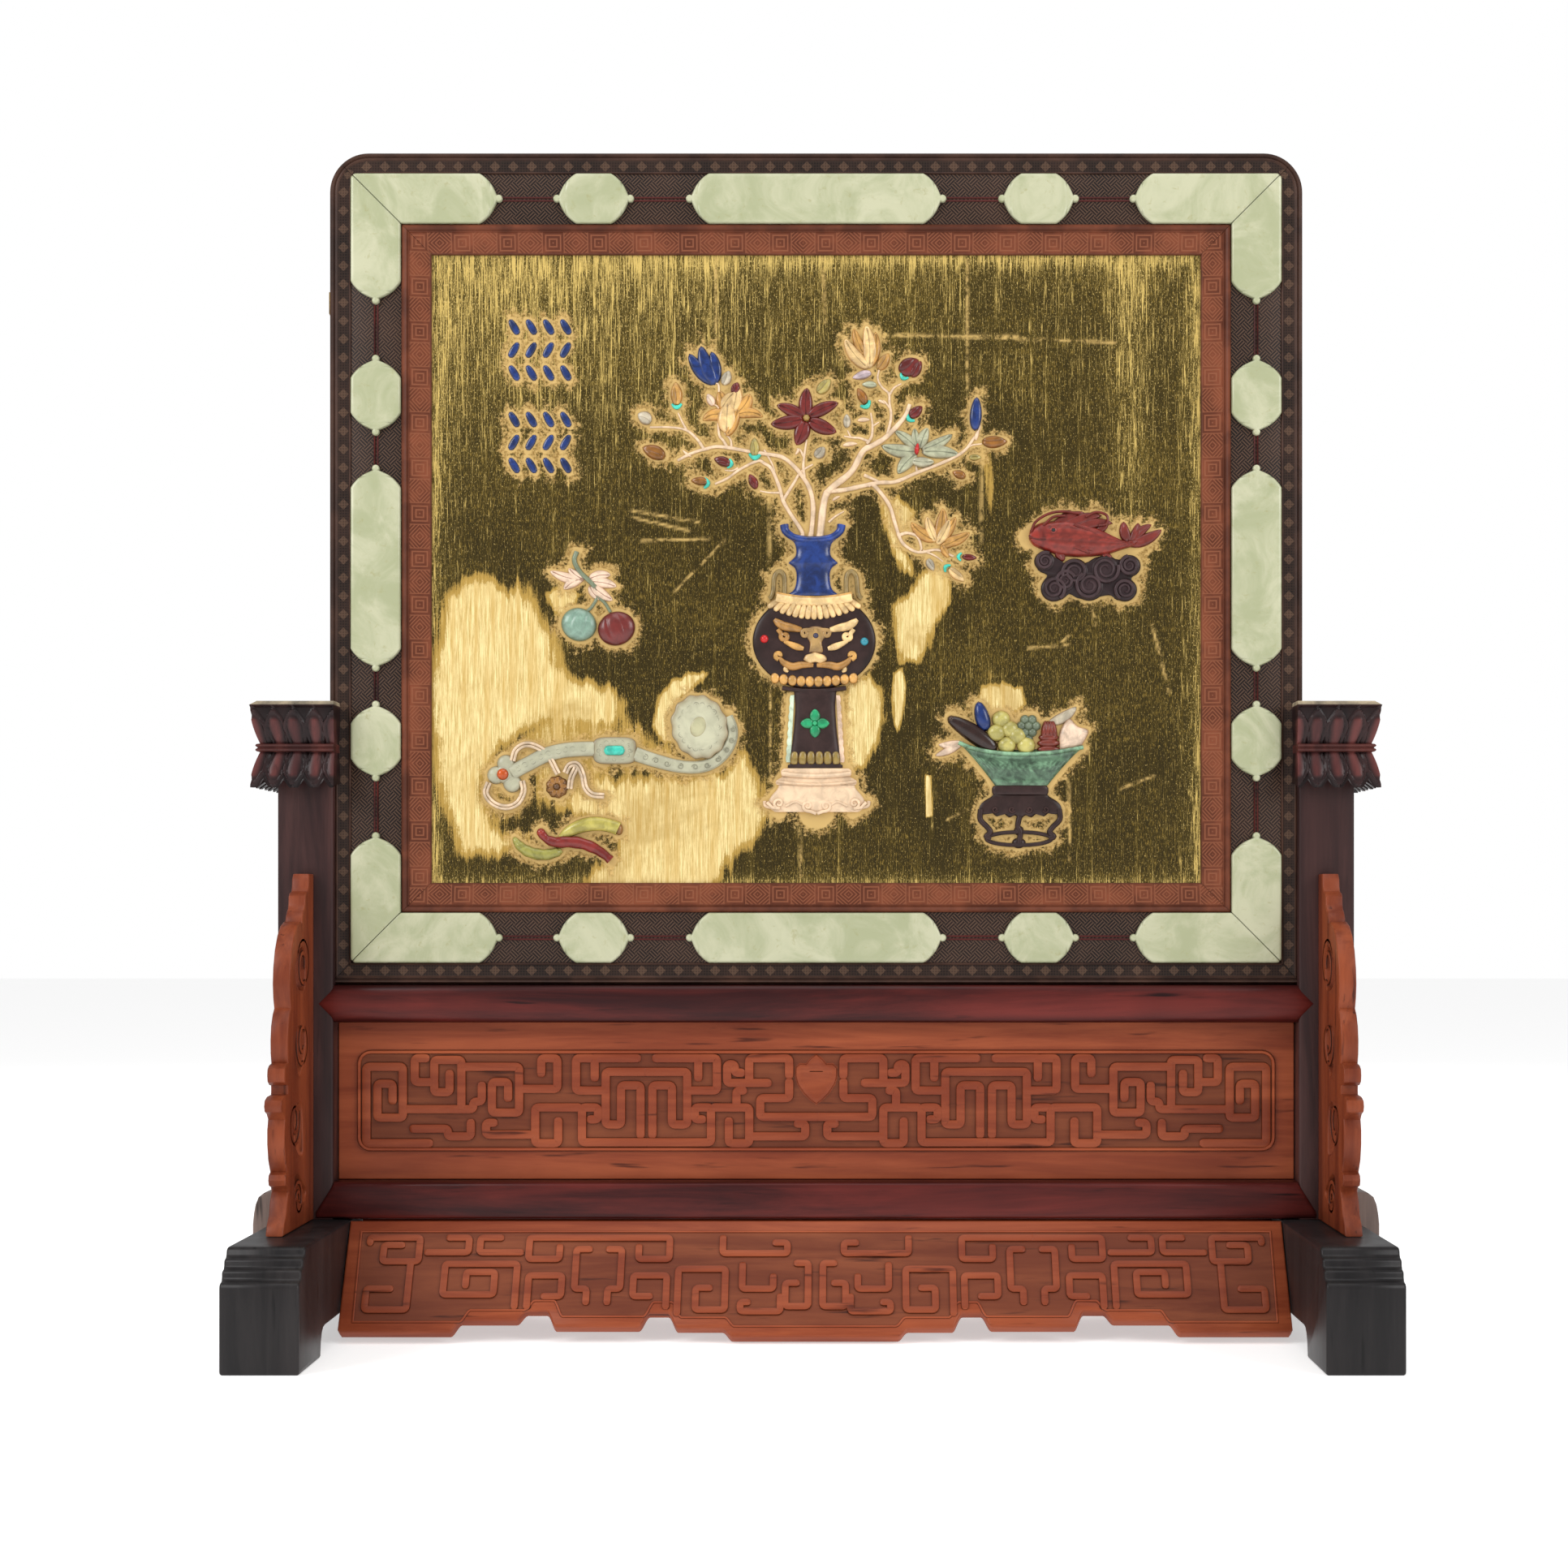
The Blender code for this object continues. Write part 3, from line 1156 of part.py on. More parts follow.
def main():
    clear_scene()
    dark = wood("dark_wood", (0.035, 0.018, 0.016), 0.4)
    red_wood = wood("red_wood", (0.30, 0.075, 0.035), 0.45)
    brown = wood("brown_wood", (0.10, 0.04, 0.025), 0.5)
    liner = wood("liner_wood", (0.19, 0.06, 0.035), 0.5)
    jade = finish("jade", (0.62, 0.70, 0.56), 0.25, 0.0)
    gilt = finish("gilt", (0.35, 0.25, 0.06), 0.45, 0.8)
    lacquer = finish("lacquer", (0.03, 0.02, 0.018), 0.35, 0.0)
    lapis = finish("lapis", (0.03, 0.06, 0.28), 0.2, 0.0)
    bone = finish("bone", (0.83, 0.70, 0.56), 0.4, 0.0)
    green = finish("green_stone", (0.20, 0.42, 0.33), 0.3, 0.0)
    red = finish("red_stone", (0.30, 0.07, 0.05), 0.3, 0.0)
    pale = finish("pale_jade", (0.58, 0.60, 0.48), 0.3, 0.0)
    fruit = finish("fruit_stone", (0.55, 0.50, 0.20), 0.25, 0.0)
    brass = finish("brass", (0.45, 0.36, 0.16), 0.4, 1.0)

    outer_frame(brown)
    members_low = FRAME_BOTTOM + MEMBER_WIDTH + GAP
    members_high = FRAME_TOP - MEMBER_WIDTH - GAP
    mitred_members("liner", liner_profile(), LINER_OUTER, members_low, members_high, liner)
    jade_plaques(jade)
    boards(gilt, lacquer)
    brass_catch(brass)
    for side, word in ((-1, "left"), (1, "right")):
        foot(side, f"foot_{word}", dark)
        post(side, f"post_{word}", dark)
        spandrel(f"spandrel_front_{word}", side, -1, red_wood)
        spandrel(f"spandrel_back_{word}", side, 1, red_wood)
    for name, bottom, height, point in rail_list():
        rail(name, bottom, height, point, dark)
    waist_panel(red_wood)
    apron("apron_front", -1, red_wood)
    apron("apron_back", 1, red_wood)
    vase(lapis, dark, bone)
    magnolia_branch(bone)
    fruit_bowl(green, dark, fruit)
    carp_on_stand(red, dark)
    ruyi_sceptre(pale)
    fruit_spray(green)
    fruit_pods(red)


main()
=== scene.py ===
# Inlaid table screen: fine carving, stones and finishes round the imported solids.
import math
import bmesh
import bpy
import numpy as np
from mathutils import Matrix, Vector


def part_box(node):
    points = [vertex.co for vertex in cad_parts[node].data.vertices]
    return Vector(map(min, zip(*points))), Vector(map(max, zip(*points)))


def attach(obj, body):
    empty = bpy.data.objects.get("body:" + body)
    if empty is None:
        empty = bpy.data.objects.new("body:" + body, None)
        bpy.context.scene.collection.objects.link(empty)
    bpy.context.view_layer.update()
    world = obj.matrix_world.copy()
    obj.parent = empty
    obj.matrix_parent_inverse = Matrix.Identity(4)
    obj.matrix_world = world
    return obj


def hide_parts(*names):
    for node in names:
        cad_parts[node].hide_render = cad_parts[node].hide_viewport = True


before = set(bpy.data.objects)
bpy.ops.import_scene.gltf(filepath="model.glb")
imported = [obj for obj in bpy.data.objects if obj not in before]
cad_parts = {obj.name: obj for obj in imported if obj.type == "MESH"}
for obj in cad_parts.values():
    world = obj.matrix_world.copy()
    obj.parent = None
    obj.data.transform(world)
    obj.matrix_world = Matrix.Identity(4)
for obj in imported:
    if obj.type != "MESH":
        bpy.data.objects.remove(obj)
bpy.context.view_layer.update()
mm = 0.001
gap = 0.3
mergeDistance = 2e-6
print("frame loaded:", len(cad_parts), "nodes")


# Camera at the height of the top rail, square to the screen
view = {"place": (0.019, -1.410, 0.246), "lens": 54.0, "shift": (-0.0409, 0.0877)}
camera = bpy.data.cameras.new("camera")
camera.lens = view["lens"]
camera.sensor_width = 36.0
camera.shift_x, camera.shift_y = view["shift"]
camera.clip_start = 0.01
cameraObject = bpy.data.objects.new("camera", camera)
cameraObject.location = view["place"]
cameraObject.rotation_euler = (math.radians(90), 0, 0)
bpy.context.scene.collection.objects.link(cameraObject)
bpy.context.scene.camera = cameraObject


# Soft studio: two big side lights, one above, a pale world
bpy.context.scene.view_settings.view_transform = "Standard"
studio = {
    "lights": (
        ("softLeft", (-1.6, -1.3, 1.3), 1.0, 20.0), ("softRight", (1.7, -1.3, 1.1), 1.0, 17.0),
        ("softTop", (0.0, -0.7, 1.9), 1.2, 8.0), ("softBack", (0.0, 1.8, 1.4), 1.6, 10.0),
    ),
    "world": 0.5,
    "backdrop": 1.0,
}


def addStudio(studio):
    for name, place, size, power in studio["lights"]:
        light = bpy.data.lights.new(name, "AREA")
        light.size = size
        light.energy = power
        lamp = bpy.data.objects.new(name, light)
        lamp.location = place
        toward = np.array([0.0, 0.0, 0.33]) - np.array(place)
        tilt = math.pi / 2 - math.atan2(-toward[2], math.hypot(toward[0], toward[1]))
        lamp.rotation_euler = (tilt, 0.0, math.atan2(toward[1], toward[0]) - math.pi / 2)
        bpy.context.scene.collection.objects.link(lamp)
    world = bpy.data.worlds.new("paleWorld")
    world.use_nodes = True
    nodes, links = world.node_tree.nodes, world.node_tree.links
    background = nodes["Background"]
    background.inputs["Color"].default_value = (1.0, 1.0, 1.0, 1.0)
    # plain white where the view meets it, dimmer as a light
    seen = nodes.new("ShaderNodeLightPath")
    strength = nodes.new("ShaderNodeMapRange")
    strength.inputs["To Min"].default_value = studio["world"]
    strength.inputs["To Max"].default_value = studio["backdrop"]
    links.new(seen.outputs["Is Camera Ray"], strength.inputs["Value"])
    links.new(strength.outputs["Result"], background.inputs["Strength"])
    bpy.context.scene.world = world


addStudio(studio)


# Meshes from arrays. Everything below is worked out in millimetres.
def gridFaces(rows, columns, wrapRows=False, wrapColumns=False):
    # quads of a rows x columns grid, numbered row by row
    i = np.arange(rows if wrapRows else rows - 1)[:, None]
    j = np.arange(columns if wrapColumns else columns - 1)[None, :]
    nextI, nextJ = (i + 1) % rows, (j + 1) % columns
    corners = [i * columns + j, i * columns + nextJ, nextI * columns + nextJ, nextI * columns + j]
    return np.stack([np.broadcast_to(c, (i.size, j.size)) for c in corners], -1).reshape(-1, 4)


def solidGrid(points, tint=(1, 1, 1)):
    # a tube of rows of points, closed along the columns and capped at both ends
    rows, columns = points.shape[:2]
    faces = gridFaces(rows, columns, False, True).tolist()
    faces += [list(range(columns)), [(rows - 1) * columns + k for k in range(columns)]]
    tints = np.broadcast_to(np.asarray(tint, float), (rows, columns, 3)).reshape(-1, 3)
    return points.reshape(-1, 3), faces, tints


def makePiece(name, forms, material, nodes=(), sharp=40.0, extra=None):
    # joins forms (points in mm, faces, tints) into one mesh that rides on the root body
    verts = np.concatenate([f[0] for f in forms]) * mm
    tints = np.concatenate([f[2] for f in forms])
    faces, start = [], 0
    for points, quads, _ in forms:
        faces += [[v + start for v in quad] for quad in quads]
        start += len(points)
    mesh = bpy.data.meshes.new(name)
    mesh.from_pydata(verts, [], faces)
    layer = mesh.color_attributes.new("tint", "FLOAT_COLOR", "POINT")
    layer.data.foreach_set("color", np.c_[tints, np.ones(len(tints))].astype(np.float32).ravel())
    for label, values in (extra or {}).items():
        mesh.attributes.new(label, "FLOAT", "POINT").data.foreach_set("value", values.astype(np.float32))
    bm = bmesh.new()
    bm.from_mesh(mesh)
    bmesh.ops.remove_doubles(bm, verts=bm.verts, dist=mergeDistance)
    bmesh.ops.recalc_face_normals(bm, faces=bm.faces)
    bm.to_mesh(mesh)
    bm.free()
    mesh.shade_smooth()
    mesh.set_sharp_from_angle(angle=math.radians(sharp))
    mesh.materials.append(material)
    piece = bpy.data.objects.new(name, mesh)
    bpy.context.scene.collection.objects.link(piece)
    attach(piece, "root")
    if nodes:
        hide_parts(*nodes)
    return piece


def smoothPath(points, steps=6):
    # a Catmull-Rom curve through the points, steps samples between each two
    p = np.asarray(points, float)
    p = np.vstack([2 * p[0] - p[1], p, 2 * p[-1] - p[-2]])
    t = np.linspace(0, 1, steps, endpoint=False)[:, None]
    parts = []
    for a, b, c, d in zip(p[:-3], p[1:-2], p[2:-1], p[3:]):
        bend, twist = 2 * a - 5 * b + 4 * c - d, 3 * b - a - 3 * c + d
        parts.append(0.5 * (2 * b + (c - a) * t + bend * t**2 + twist * t**3))
    return np.vstack(parts + [p[-2:-1]])


def normals2d(path):
    # unit normals of a path in the X-Z plane, to the left of its run
    run = np.gradient(path, axis=0)
    run /= np.maximum(np.linalg.norm(run, axis=1, keepdims=True), 1e-9)
    return np.c_[-run[:, 1], run[:, 0]]


def ellipsePoints(x, z, halfWidth, halfHeight, count=32, tilt=0.0):
    a = np.linspace(0, 2 * np.pi, count, endpoint=False)
    u, v = halfWidth * np.cos(a), halfHeight * np.sin(a)
    c, s = math.cos(math.radians(tilt)), math.sin(math.radians(tilt))
    return np.c_[x + u * c - v * s, z + u * s + v * c]


# Surface of the gilt board, which the inlays sit on
boardLow, boardHigh = [np.array(c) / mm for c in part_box("gilt_board")]
boardY = boardHigh[1] - 6.0  # the gilt face, behind the strokes that stand on it
# how far the painted shade at an inlay's edge takes down red, green and blue
rimShadeLoss = np.array([0.5, 0.62, 0.72])
haloDiscs = []  # (x, z, radius) of everything inlaid: the ground is rubbed round each


def halo(points, radius):
    pts = np.asarray(points, float).reshape(-1, 2)
    haloDiscs.append(np.c_[pts, np.broadcast_to(radius, len(pts))])


def rimShaded(tint, share):
    # painted shade: a tint deepened towards brown by a share that is 1 on a form's lowest edge, where it turns down
    # to the board
    return np.asarray(tint, float) * (1 - np.asarray(share)[..., None] * rimShadeLoss)


def dome(outline, base, crown, tint, power=2.2, rings=7, relief=None, seat=None, ring=True):
    # rings shrink to the middle; height is base + crown * (1 - f^power)^(1/2) at fraction f
    outline = np.asarray(outline, float)
    seat = boardY if seat is None else seat
    middle = outline.mean(0)
    f = np.r_[1.0, np.cos(np.linspace(0.0, np.pi / 2, rings)) ** 0.8]
    f[-1] = 0.02
    flat = middle + f[:, None, None] * (outline - middle)
    height = base + crown * np.sqrt(np.maximum(1 - f**power, 0))
    height[0] = -0.2
    height = np.broadcast_to(height[:, None], flat.shape[:2]).copy()
    if relief is not None:
        height[1:] += relief(flat[1:], f[1:, None])
    points = np.stack([flat[..., 0], seat - height, flat[..., 1]], -1)
    if ring:
        halo(np.vstack([outline, middle]), 0.4)
        halo(middle + 0.6 * (outline - middle), 2.0)
    # painted shade: the outer rings darken towards the board
    if np.ndim(tint) < 3:
        tint = rimShaded(tint, np.broadcast_to(np.clip(f**8 * 1.1, 0, 1)[:, None], flat.shape[:2]))
    return solidGrid(points, tint)


def leaf(base, tip, width, height, tint, bow=0.0, blunt=0.75, fold=0.0, seat=None, lift=0.0, steps=14, ring=True):
    # a pointed form from base to tip: width and height swell as sin(pi s)^blunt, a fold dents its middle
    base, tip = np.asarray(base, float), np.asarray(tip, float)
    seat = boardY if seat is None else seat
    s = np.linspace(0.0, 1.0, steps)
    along = tip - base
    normal = np.array([-along[1], along[0]]) / np.linalg.norm(along)
    middle = base + along * s[:, None] + normal * (bow * 4 * s * (1 - s))[:, None]
    side = normals2d(middle)
    swell = np.maximum(np.sin(np.pi * s**0.85), 0.0) ** blunt
    a = np.linspace(0, np.pi, 9)
    across = np.r_[np.cos(a), -0.6, 0.6]
    rise = np.r_[np.sin(a) ** 0.7, 0.0, 0.0]
    rise[:9] *= 1 - fold * np.exp(-((across[:9] / 0.3) ** 2))
    half = width / 2 * swell
    flat = middle[:, None, :] + side[:, None, :] * (half[:, None] * across)[..., None]
    top = (height * swell**0.6)[:, None] * rise + lift
    top[:, 9:] = -0.2
    points = np.stack([flat[..., 0], seat - top, flat[..., 1]], -1)
    if ring:
        halo(middle, np.maximum(half - 0.4, 0.3))
    # painted shade: the sides darken towards the board
    edge = np.broadcast_to(np.abs(across) ** 3 + 0.35 * (across == 0) * (fold > 0), (steps, 11))
    return solidGrid(points, rimShaded(tint, np.clip(edge, 0, 1)))


def rod(path, radii, tint, squash=0.9, seat=None, sides=8, lift=0.5, ring=True):
    # a round-backed rod lying on the board: each section is a ring of the radius at that point
    path = np.asarray(path, float)
    seat = boardY if seat is None else seat
    radii = np.broadcast_to(radii, len(path)).astype(float)
    side = normals2d(path)
    a = np.linspace(0, 2 * np.pi, sides, endpoint=False)
    flat = path[:, None, :] + side[:, None, :] * (radii[:, None] * np.cos(a))[..., None]
    depth = radii[:, None] * (lift + squash * np.sin(a))
    points = np.stack([flat[..., 0], seat - depth, flat[..., 1]], -1)
    if ring:
        halo(path, radii)
    # painted shade: the rod's flanks and underside are darkened
    low = np.broadcast_to(np.clip(0.75 - 1.3 * np.sin(a), 0, 1), (len(path), sides))
    return solidGrid(points, rimShaded(tint, low))


def corneredPath(points, radius, steps=3):
    # straight runs whose corners are turned with a small arc of that radius
    points = np.asarray(points, float)
    out = [points[0]]
    for a, b, c in zip(points[:-2], points[1:-1], points[2:]):
        before, after = b - a, c - b
        la, lc = np.linalg.norm(before), np.linalg.norm(after)
        r = min(radius, 0.48 * la, 0.48 * lc)
        start, end = b - before / la * r, b + after / lc * r
        t = np.linspace(0, 1, steps + 1)[:, None]
        out += list((1 - t) ** 2 * start + 2 * t * (1 - t) * b + t**2 * end)
    out.append(points[-1])
    return np.array(out)


def ridge(path, width, height, tint):
    # a raised band with eased edges along a path in its own plane: (u, v, height) points. A thin dark
    # skirt round its foot is painted shadow and dirt in the corners, and the tone paints shade on the band's sides.
    path = np.asarray(path, float)
    side = normals2d(path)
    half = width / 2
    reach = 1 + 0.42 / half
    # half a section from the skirt to the crown: place across, rise, tone
    t, h, dark = np.array([(reach + 0.01, -0.2, 0.16), (reach, 0.02, 0.16), (1.0, 0.03, 0.16),
                           (0.97, 0.6, 0.42), (0.86, 0.92, 0.95), (0.62, 1.0, 1.0)]).T
    t, h, dark = np.r_[-t, t[::-1]], np.r_[h, h[::-1]], np.r_[dark, dark[::-1]]
    outward = [path[row] - path[inner] for row, inner in ((0, 1), (-1, -2))]
    first, last = [out / np.linalg.norm(out) * half for out in outward]
    spine = np.vstack([path[0] + first * 0.8, path[0] + first * 0.45, path,
                       path[-1] + last * 0.45, path[-1] + last * 0.8])
    share = np.r_[0.5, 0.86, np.ones(len(path)), 0.86, 0.5]
    side = np.vstack([side[:1], side[:1], side, side[-1:], side[-1:]])
    flat = spine[:, None, :] + side[:, None, :] * (share[:, None] * half * t)[..., None]
    low = np.where(share < 0.6, 0.55, 1.0)[:, None]
    rise = np.maximum(h, 0.0) * height * low + np.minimum(h, 0.0)
    return solidGrid(np.dstack([flat, rise]), dark[:, None] * np.asarray(tint, float))


# Materials
class Field:
    # a socket of a material under construction, with arithmetic
    def __init__(self, recipe, socket):
        self.recipe, self.socket = recipe, socket

    def math(self, kind, other=0.0, first=True):
        a, b = (self, other) if first else (other, self)
        return self.recipe.node("Math", {0: a, 1: b}, operation=kind)

    def __add__(self, other):
        return self.math("ADD", other)

    def __mul__(self, other):
        return self.math("MULTIPLY", other)

    def __sub__(self, other):
        return self.math("SUBTRACT", other)

    def __rsub__(self, other):
        return self.math("SUBTRACT", other, False)

    def wave(self, period, kind="COSINE"):
        return (self * (2 * math.pi / period)).math(kind)

    def step(self, low, high):
        # 0 below low, 1 above high, smooth between
        inputs = {"Value": self, "From Min": low, "From Max": high}
        return self.recipe.node("MapRange", inputs, interpolation_type="SMOOTHSTEP")


class Recipe:
    # a Principled material under construction; its methods return fields
    def __init__(self, name, rough=0.5, metal=0.0, coat=0.0, specular=0.5):
        self.material = bpy.data.materials.new(name)
        self.material.use_nodes = True
        self.tree = self.material.node_tree
        self.shader = self.tree.nodes["Principled BSDF"].inputs
        self.settings({"Roughness": rough, "Metallic": metal, "Coat Weight": coat,
                       "Coat Roughness": 0.25, "Specular IOR Level": specular})
        self.where = self.node("TexCoord", {}, "Object")

    def settings(self, values):
        for label, value in values.items():
            self.wire(value, self.shader[label])

    def wire(self, value, socket):
        if isinstance(value, Field):
            self.tree.links.new(value.socket, socket)
        else:
            socket.default_value = (*value, 1.0) if isinstance(value, np.ndarray) else value

    def node(self, kind, inputs, output=0, **settings):
        made = self.tree.nodes.new("ShaderNode" + kind)
        for label, value in settings.items():
            setattr(made, label, value)
        for label, value in inputs.items():
            self.wire(value, made.inputs[label])
        return Field(self, made.outputs[output])

    def stretch(self, scale):
        return self.node("Mapping", {"Vector": self.where, "Scale": scale})

    def noise(self, scale, detail=4.0, vector=None, rough=0.6, twist=0.0):
        inputs = {"Vector": vector or self.where, "Scale": scale, "Detail": detail,
                  "Roughness": rough, "Distortion": twist}
        return self.node("TexNoise", inputs, "Fac")

    def blend(self, factor, a, b, mode="MIX"):
        return self.node("Mix", {0: factor, 6: a, 7: b}, 2, data_type="RGBA", blend_type=mode)

    def attribute(self, name, output="Fac"):
        return self.node("Attribute", {}, output, attribute_name=name)

    def tinted(self, colour):
        return self.blend(1.0, colour, self.attribute("tint", "Color"), "MULTIPLY")

    def bumps(self, height, distance, strength):
        inputs = {"Strength": strength, "Distance": distance * mm, "Height": height}
        self.settings({"Normal": self.node("Bump", inputs)})

    def glow(self, weight, depth):
        self.settings({"Subsurface Weight": weight, "Subsurface Radius": (1.0, 1.0, 0.8),
                       "Subsurface Scale": depth * mm})

    def finish(self, colour):
        self.settings({"Base Color": colour})
        return self.material


def linear(r, g, b):
    # an sRGB colour given from 0 to 255, as scene values
    c = np.array([r, g, b], float) / 255
    return np.where(c <= 0.04045, c / 12.92, ((c + 0.055) / 1.055) ** 2.4)


def woodMaterial(name, dark, light, grain, rough, coat):
    # streaks along the grain, darker pores; the tint attribute multiplies in each piece's painted light and shade,
    # darker in recesses and on edges
    wood = Recipe(name, rough, coat=coat, specular=0.18)
    dark = linear(*dark)
    along = wood.stretch(grain)
    streaks = wood.noise(1.0, 8.0, along, 0.65, 0.4)
    pores = wood.noise(3.2, 3.0, along, 0.5)
    body = wood.blend(streaks.step(0.3, 0.72), dark, linear(*light))
    body = wood.blend(wood.noise(9.0, 3.0).step(0.35, 0.75) * 0.45, body, dark)
    body = wood.blend(pores.step(0.62, 0.75), body, 0.45 * dark)
    wood.bumps(streaks * 0.5 + pores * -0.25, 0.12, 0.5)
    wood.settings({"Roughness": wood.noise(40.0) * 0.18 + (rough - 0.09)})
    return wood.finish(wood.tinted(body))


def stoneMaterial(name, rough=0.22, mottle=0.35, scale=140.0, coat=0.3, glow=0.0, specular=0.35):
    # the tint of each stone, clouded lighter and darker
    stone = Recipe(name, rough, coat=coat, specular=specular)
    cloud = stone.noise(scale, 5.0, None, 0.6, 0.6)
    tint = stone.attribute("tint", "Color")
    low, high = [stone.blend(1.0, tint, np.full(3, share), "MULTIPLY")
                 for share in (1 - mottle, 1 + mottle * 0.45)]
    stone.bumps(stone.noise(scale * 3, 3.0), 0.05, 0.6)
    stone.glow(glow, 1.5)
    return stone.finish(stone.blend(cloud.step(0.32, 0.68), low, high))


def frameMaterial():
    # dark ground with a fine woven key pattern; diamonds along the outer border
    wood = Recipe("frame_wood", 0.48, coat=0.04, specular=0.18)
    x, z = [wood.node("SeparateXYZ", {0: wood.where}, name) for name in "XZ"]
    leans = x + z, x - z
    block, stripe, line, pitch = 13.8 * mm, 2.3 * mm, 1.6 * mm, 10.9
    turns = [lean.wave(block, "SINE") for lean in leans]
    stripes = [lean.wave(stripe).step(0.1, 0.5) for lean in leans]
    woven = wood.blend((turns[0] * turns[1]).step(-0.02, 0.02), *stripes)
    upright, level = [axis.wave(line).step(0.35, 0.6) for axis in (x, z)]
    straight = upright.math("MAXIMUM", level)
    across = wood.attribute("across").math("ABSOLUTE")
    cycle = (wood.attribute("run").math("MODULO", pitch) - pitch / 2).math("ABSOLUTE")
    diamond = (1.0 - (cycle + across).step(3.1, 3.4)) * (straight * 0.45 + 0.55)
    marks = wood.blend(wood.attribute("border"), woven, diamond.math("MAXIMUM", straight * 0.22))
    grain = wood.noise(30.0, 6.0, None, 0.7)
    plain = wood.attribute("plain")
    cloud = grain.step(0.35, 0.7)
    body = wood.blend(plain, wood.blend(cloud, linear(22, 14, 12), linear(42, 27, 22)),
                      wood.blend(cloud, linear(50, 31, 24), linear(80, 53, 41)))
    shown = marks * (1.0 - plain)
    wood.bumps(shown, 0.25, 0.8)
    return wood.finish(wood.tinted(wood.blend(shown * (grain * 0.6 + 0.55), body, linear(90, 68, 54))))


def linerMaterial():
    # red-brown strip: meander boxes and diamonds take turns along it
    wood = Recipe("liner_wood", 0.45, coat=0.05, specular=0.2)
    pitch = 27.0
    cycle = (wood.attribute("run") * (1 / pitch)).math("FRACT") * pitch
    along = (cycle.math("MODULO", pitch / 2) - pitch / 4).math("ABSOLUTE")
    across = wood.attribute("across").math("ABSOLUTE")
    lozenge, square = along * 0.9 + across, along.math("MAXIMUM", across)
    reach = wood.blend(cycle.math("LESS_THAN", pitch / 2), lozenge, square)
    shown = reach.wave(2.2).step(0.0, 0.6) * wood.attribute("pattern")
    body = wood.blend(wood.noise(40.0, 5.0).step(0.35, 0.7), linear(86, 42, 25), linear(126, 67, 43))
    wood.bumps(shown, 0.3, 0.8)
    return wood.finish(wood.tinted(wood.blend(shown * 0.7, body, linear(140, 84, 58))))


def jadeMaterial():
    # pale grey-green with cloudy whiter and greener patches and a soft inner glow
    jade = Recipe("jade", 0.3, coat=0.25)
    cloud = jade.noise(28.0, 6.0, None, 0.62, 1.2)
    fleck = jade.noise(190.0, 4.0, None, 0.7, 0.5)
    body = jade.blend(cloud.step(0.36, 0.66), linear(164, 168, 132), linear(190, 190, 159))
    body = jade.blend(fleck.step(0.56, 0.74) * 0.5, body, linear(152, 146, 96))
    jade.bumps(fleck, 0.06, 0.6)
    jade.glow(0.15, 3.0)
    return jade.finish(jade.tinted(body))


def giltMaterial():
    # darkened gilding streaked up and down, rubbed bright in patches and round the inlays, with a painted sheen
    # where the streak field is high
    gilt = Recipe("gilt_board", 0.42, 0.25, 0.04, 0.2)
    fine = gilt.noise(1.0, 7.0, gilt.stretch((1300, 1300, 48)), 0.8)
    broad = gilt.noise(1.0, 4.0, gilt.stretch((260, 260, 10)), 0.6)
    speck = gilt.noise(1.0, 3.0, gilt.stretch((1500, 1500, 700)), 0.7)
    dash = gilt.noise(1.0, 5.0, gilt.stretch((1500, 1500, 260)), 0.75)
    cloud = gilt.noise(14.0, 5.0, None, 0.65, 0.6)
    ragged = gilt.noise(150.0, 6.0, None, 0.72, 0.5)
    chips = gilt.noise(620.0, 4.0, None, 0.7, 0.3)
    # sheen is the streak field: bright streaks crowd where it is high, and it also lays a painted sheen on the gold
    sheen, near = gilt.attribute("streakAndSheen"), gilt.attribute("halo")
    lines = fine * 0.9 + broad * 0.2 + sheen * 0.075
    # bare patches with ragged edges drawn out along the streaks
    rag = (broad * 0.7 + (fine * 0.45 + cloud * 0.7)) * 1.3 + speck * 0.3
    bare = gilt.attribute("worn") + (rag - 1.36)
    pale = gilt.blend(fine.step(0.36, 0.62), linear(190, 154, 80), linear(250, 230, 168))
    pale = gilt.blend(broad.step(0.5, 0.66) * 0.55, pale, linear(206, 168, 92))
    pale = gilt.blend(cloud.step(0.5, 0.64) * 0.5, pale, linear(176, 140, 70))
    # a tan, crumbling line where the ground meets each inlay
    loss = (ragged - 0.5) * 2.3 + (chips - 0.5)
    # from the dark ground up: how much of each colour shows, and the colour
    coats = (
        ((dash + cloud * 0.35).step(0.69, 0.85) * 0.8, linear(170, 140, 62)),
        (cloud.step(0.42, 0.66) * 0.45, linear(46, 37, 6)),
        (broad.step(0.5, 0.75) * 0.3, linear(98, 80, 24)),
        (lines.step(0.65, 0.72) * 0.95, linear(226, 194, 112)),
        # painted sheen: the whole tone lifted where the field is high
        (sheen * 0.08, linear(150, 126, 46)),
        ((speck + sheen * 0.05).step(0.62, 0.69) * 0.85, linear(214, 186, 112)),
        (bare.step(0.26, 0.42), gilt.blend(fine.step(0.3, 0.7), linear(156, 124, 52), linear(196, 160, 84))),
        (bare.step(0.5, 0.62), pale),
        ((near + loss).step(0.52, 0.86) * 0.82,
         gilt.blend(chips.step(0.35, 0.65), linear(150, 116, 60), linear(214, 178, 112))),
        ((near + loss * 0.12).step(0.82, 0.93), linear(208, 174, 110)),
        (gilt.attribute("scratch") * ragged.step(0.4, 0.6), linear(206, 172, 104)),
    )
    colour = gilt.blend(fine.step(0.35, 0.65), linear(28, 22, 3), linear(58, 46, 9))
    for share, coat in coats:
        colour = gilt.blend(share, colour, coat)
    gilt.bumps(fine + ragged * 0.7, 0.1, 0.5)
    return gilt.finish(colour)


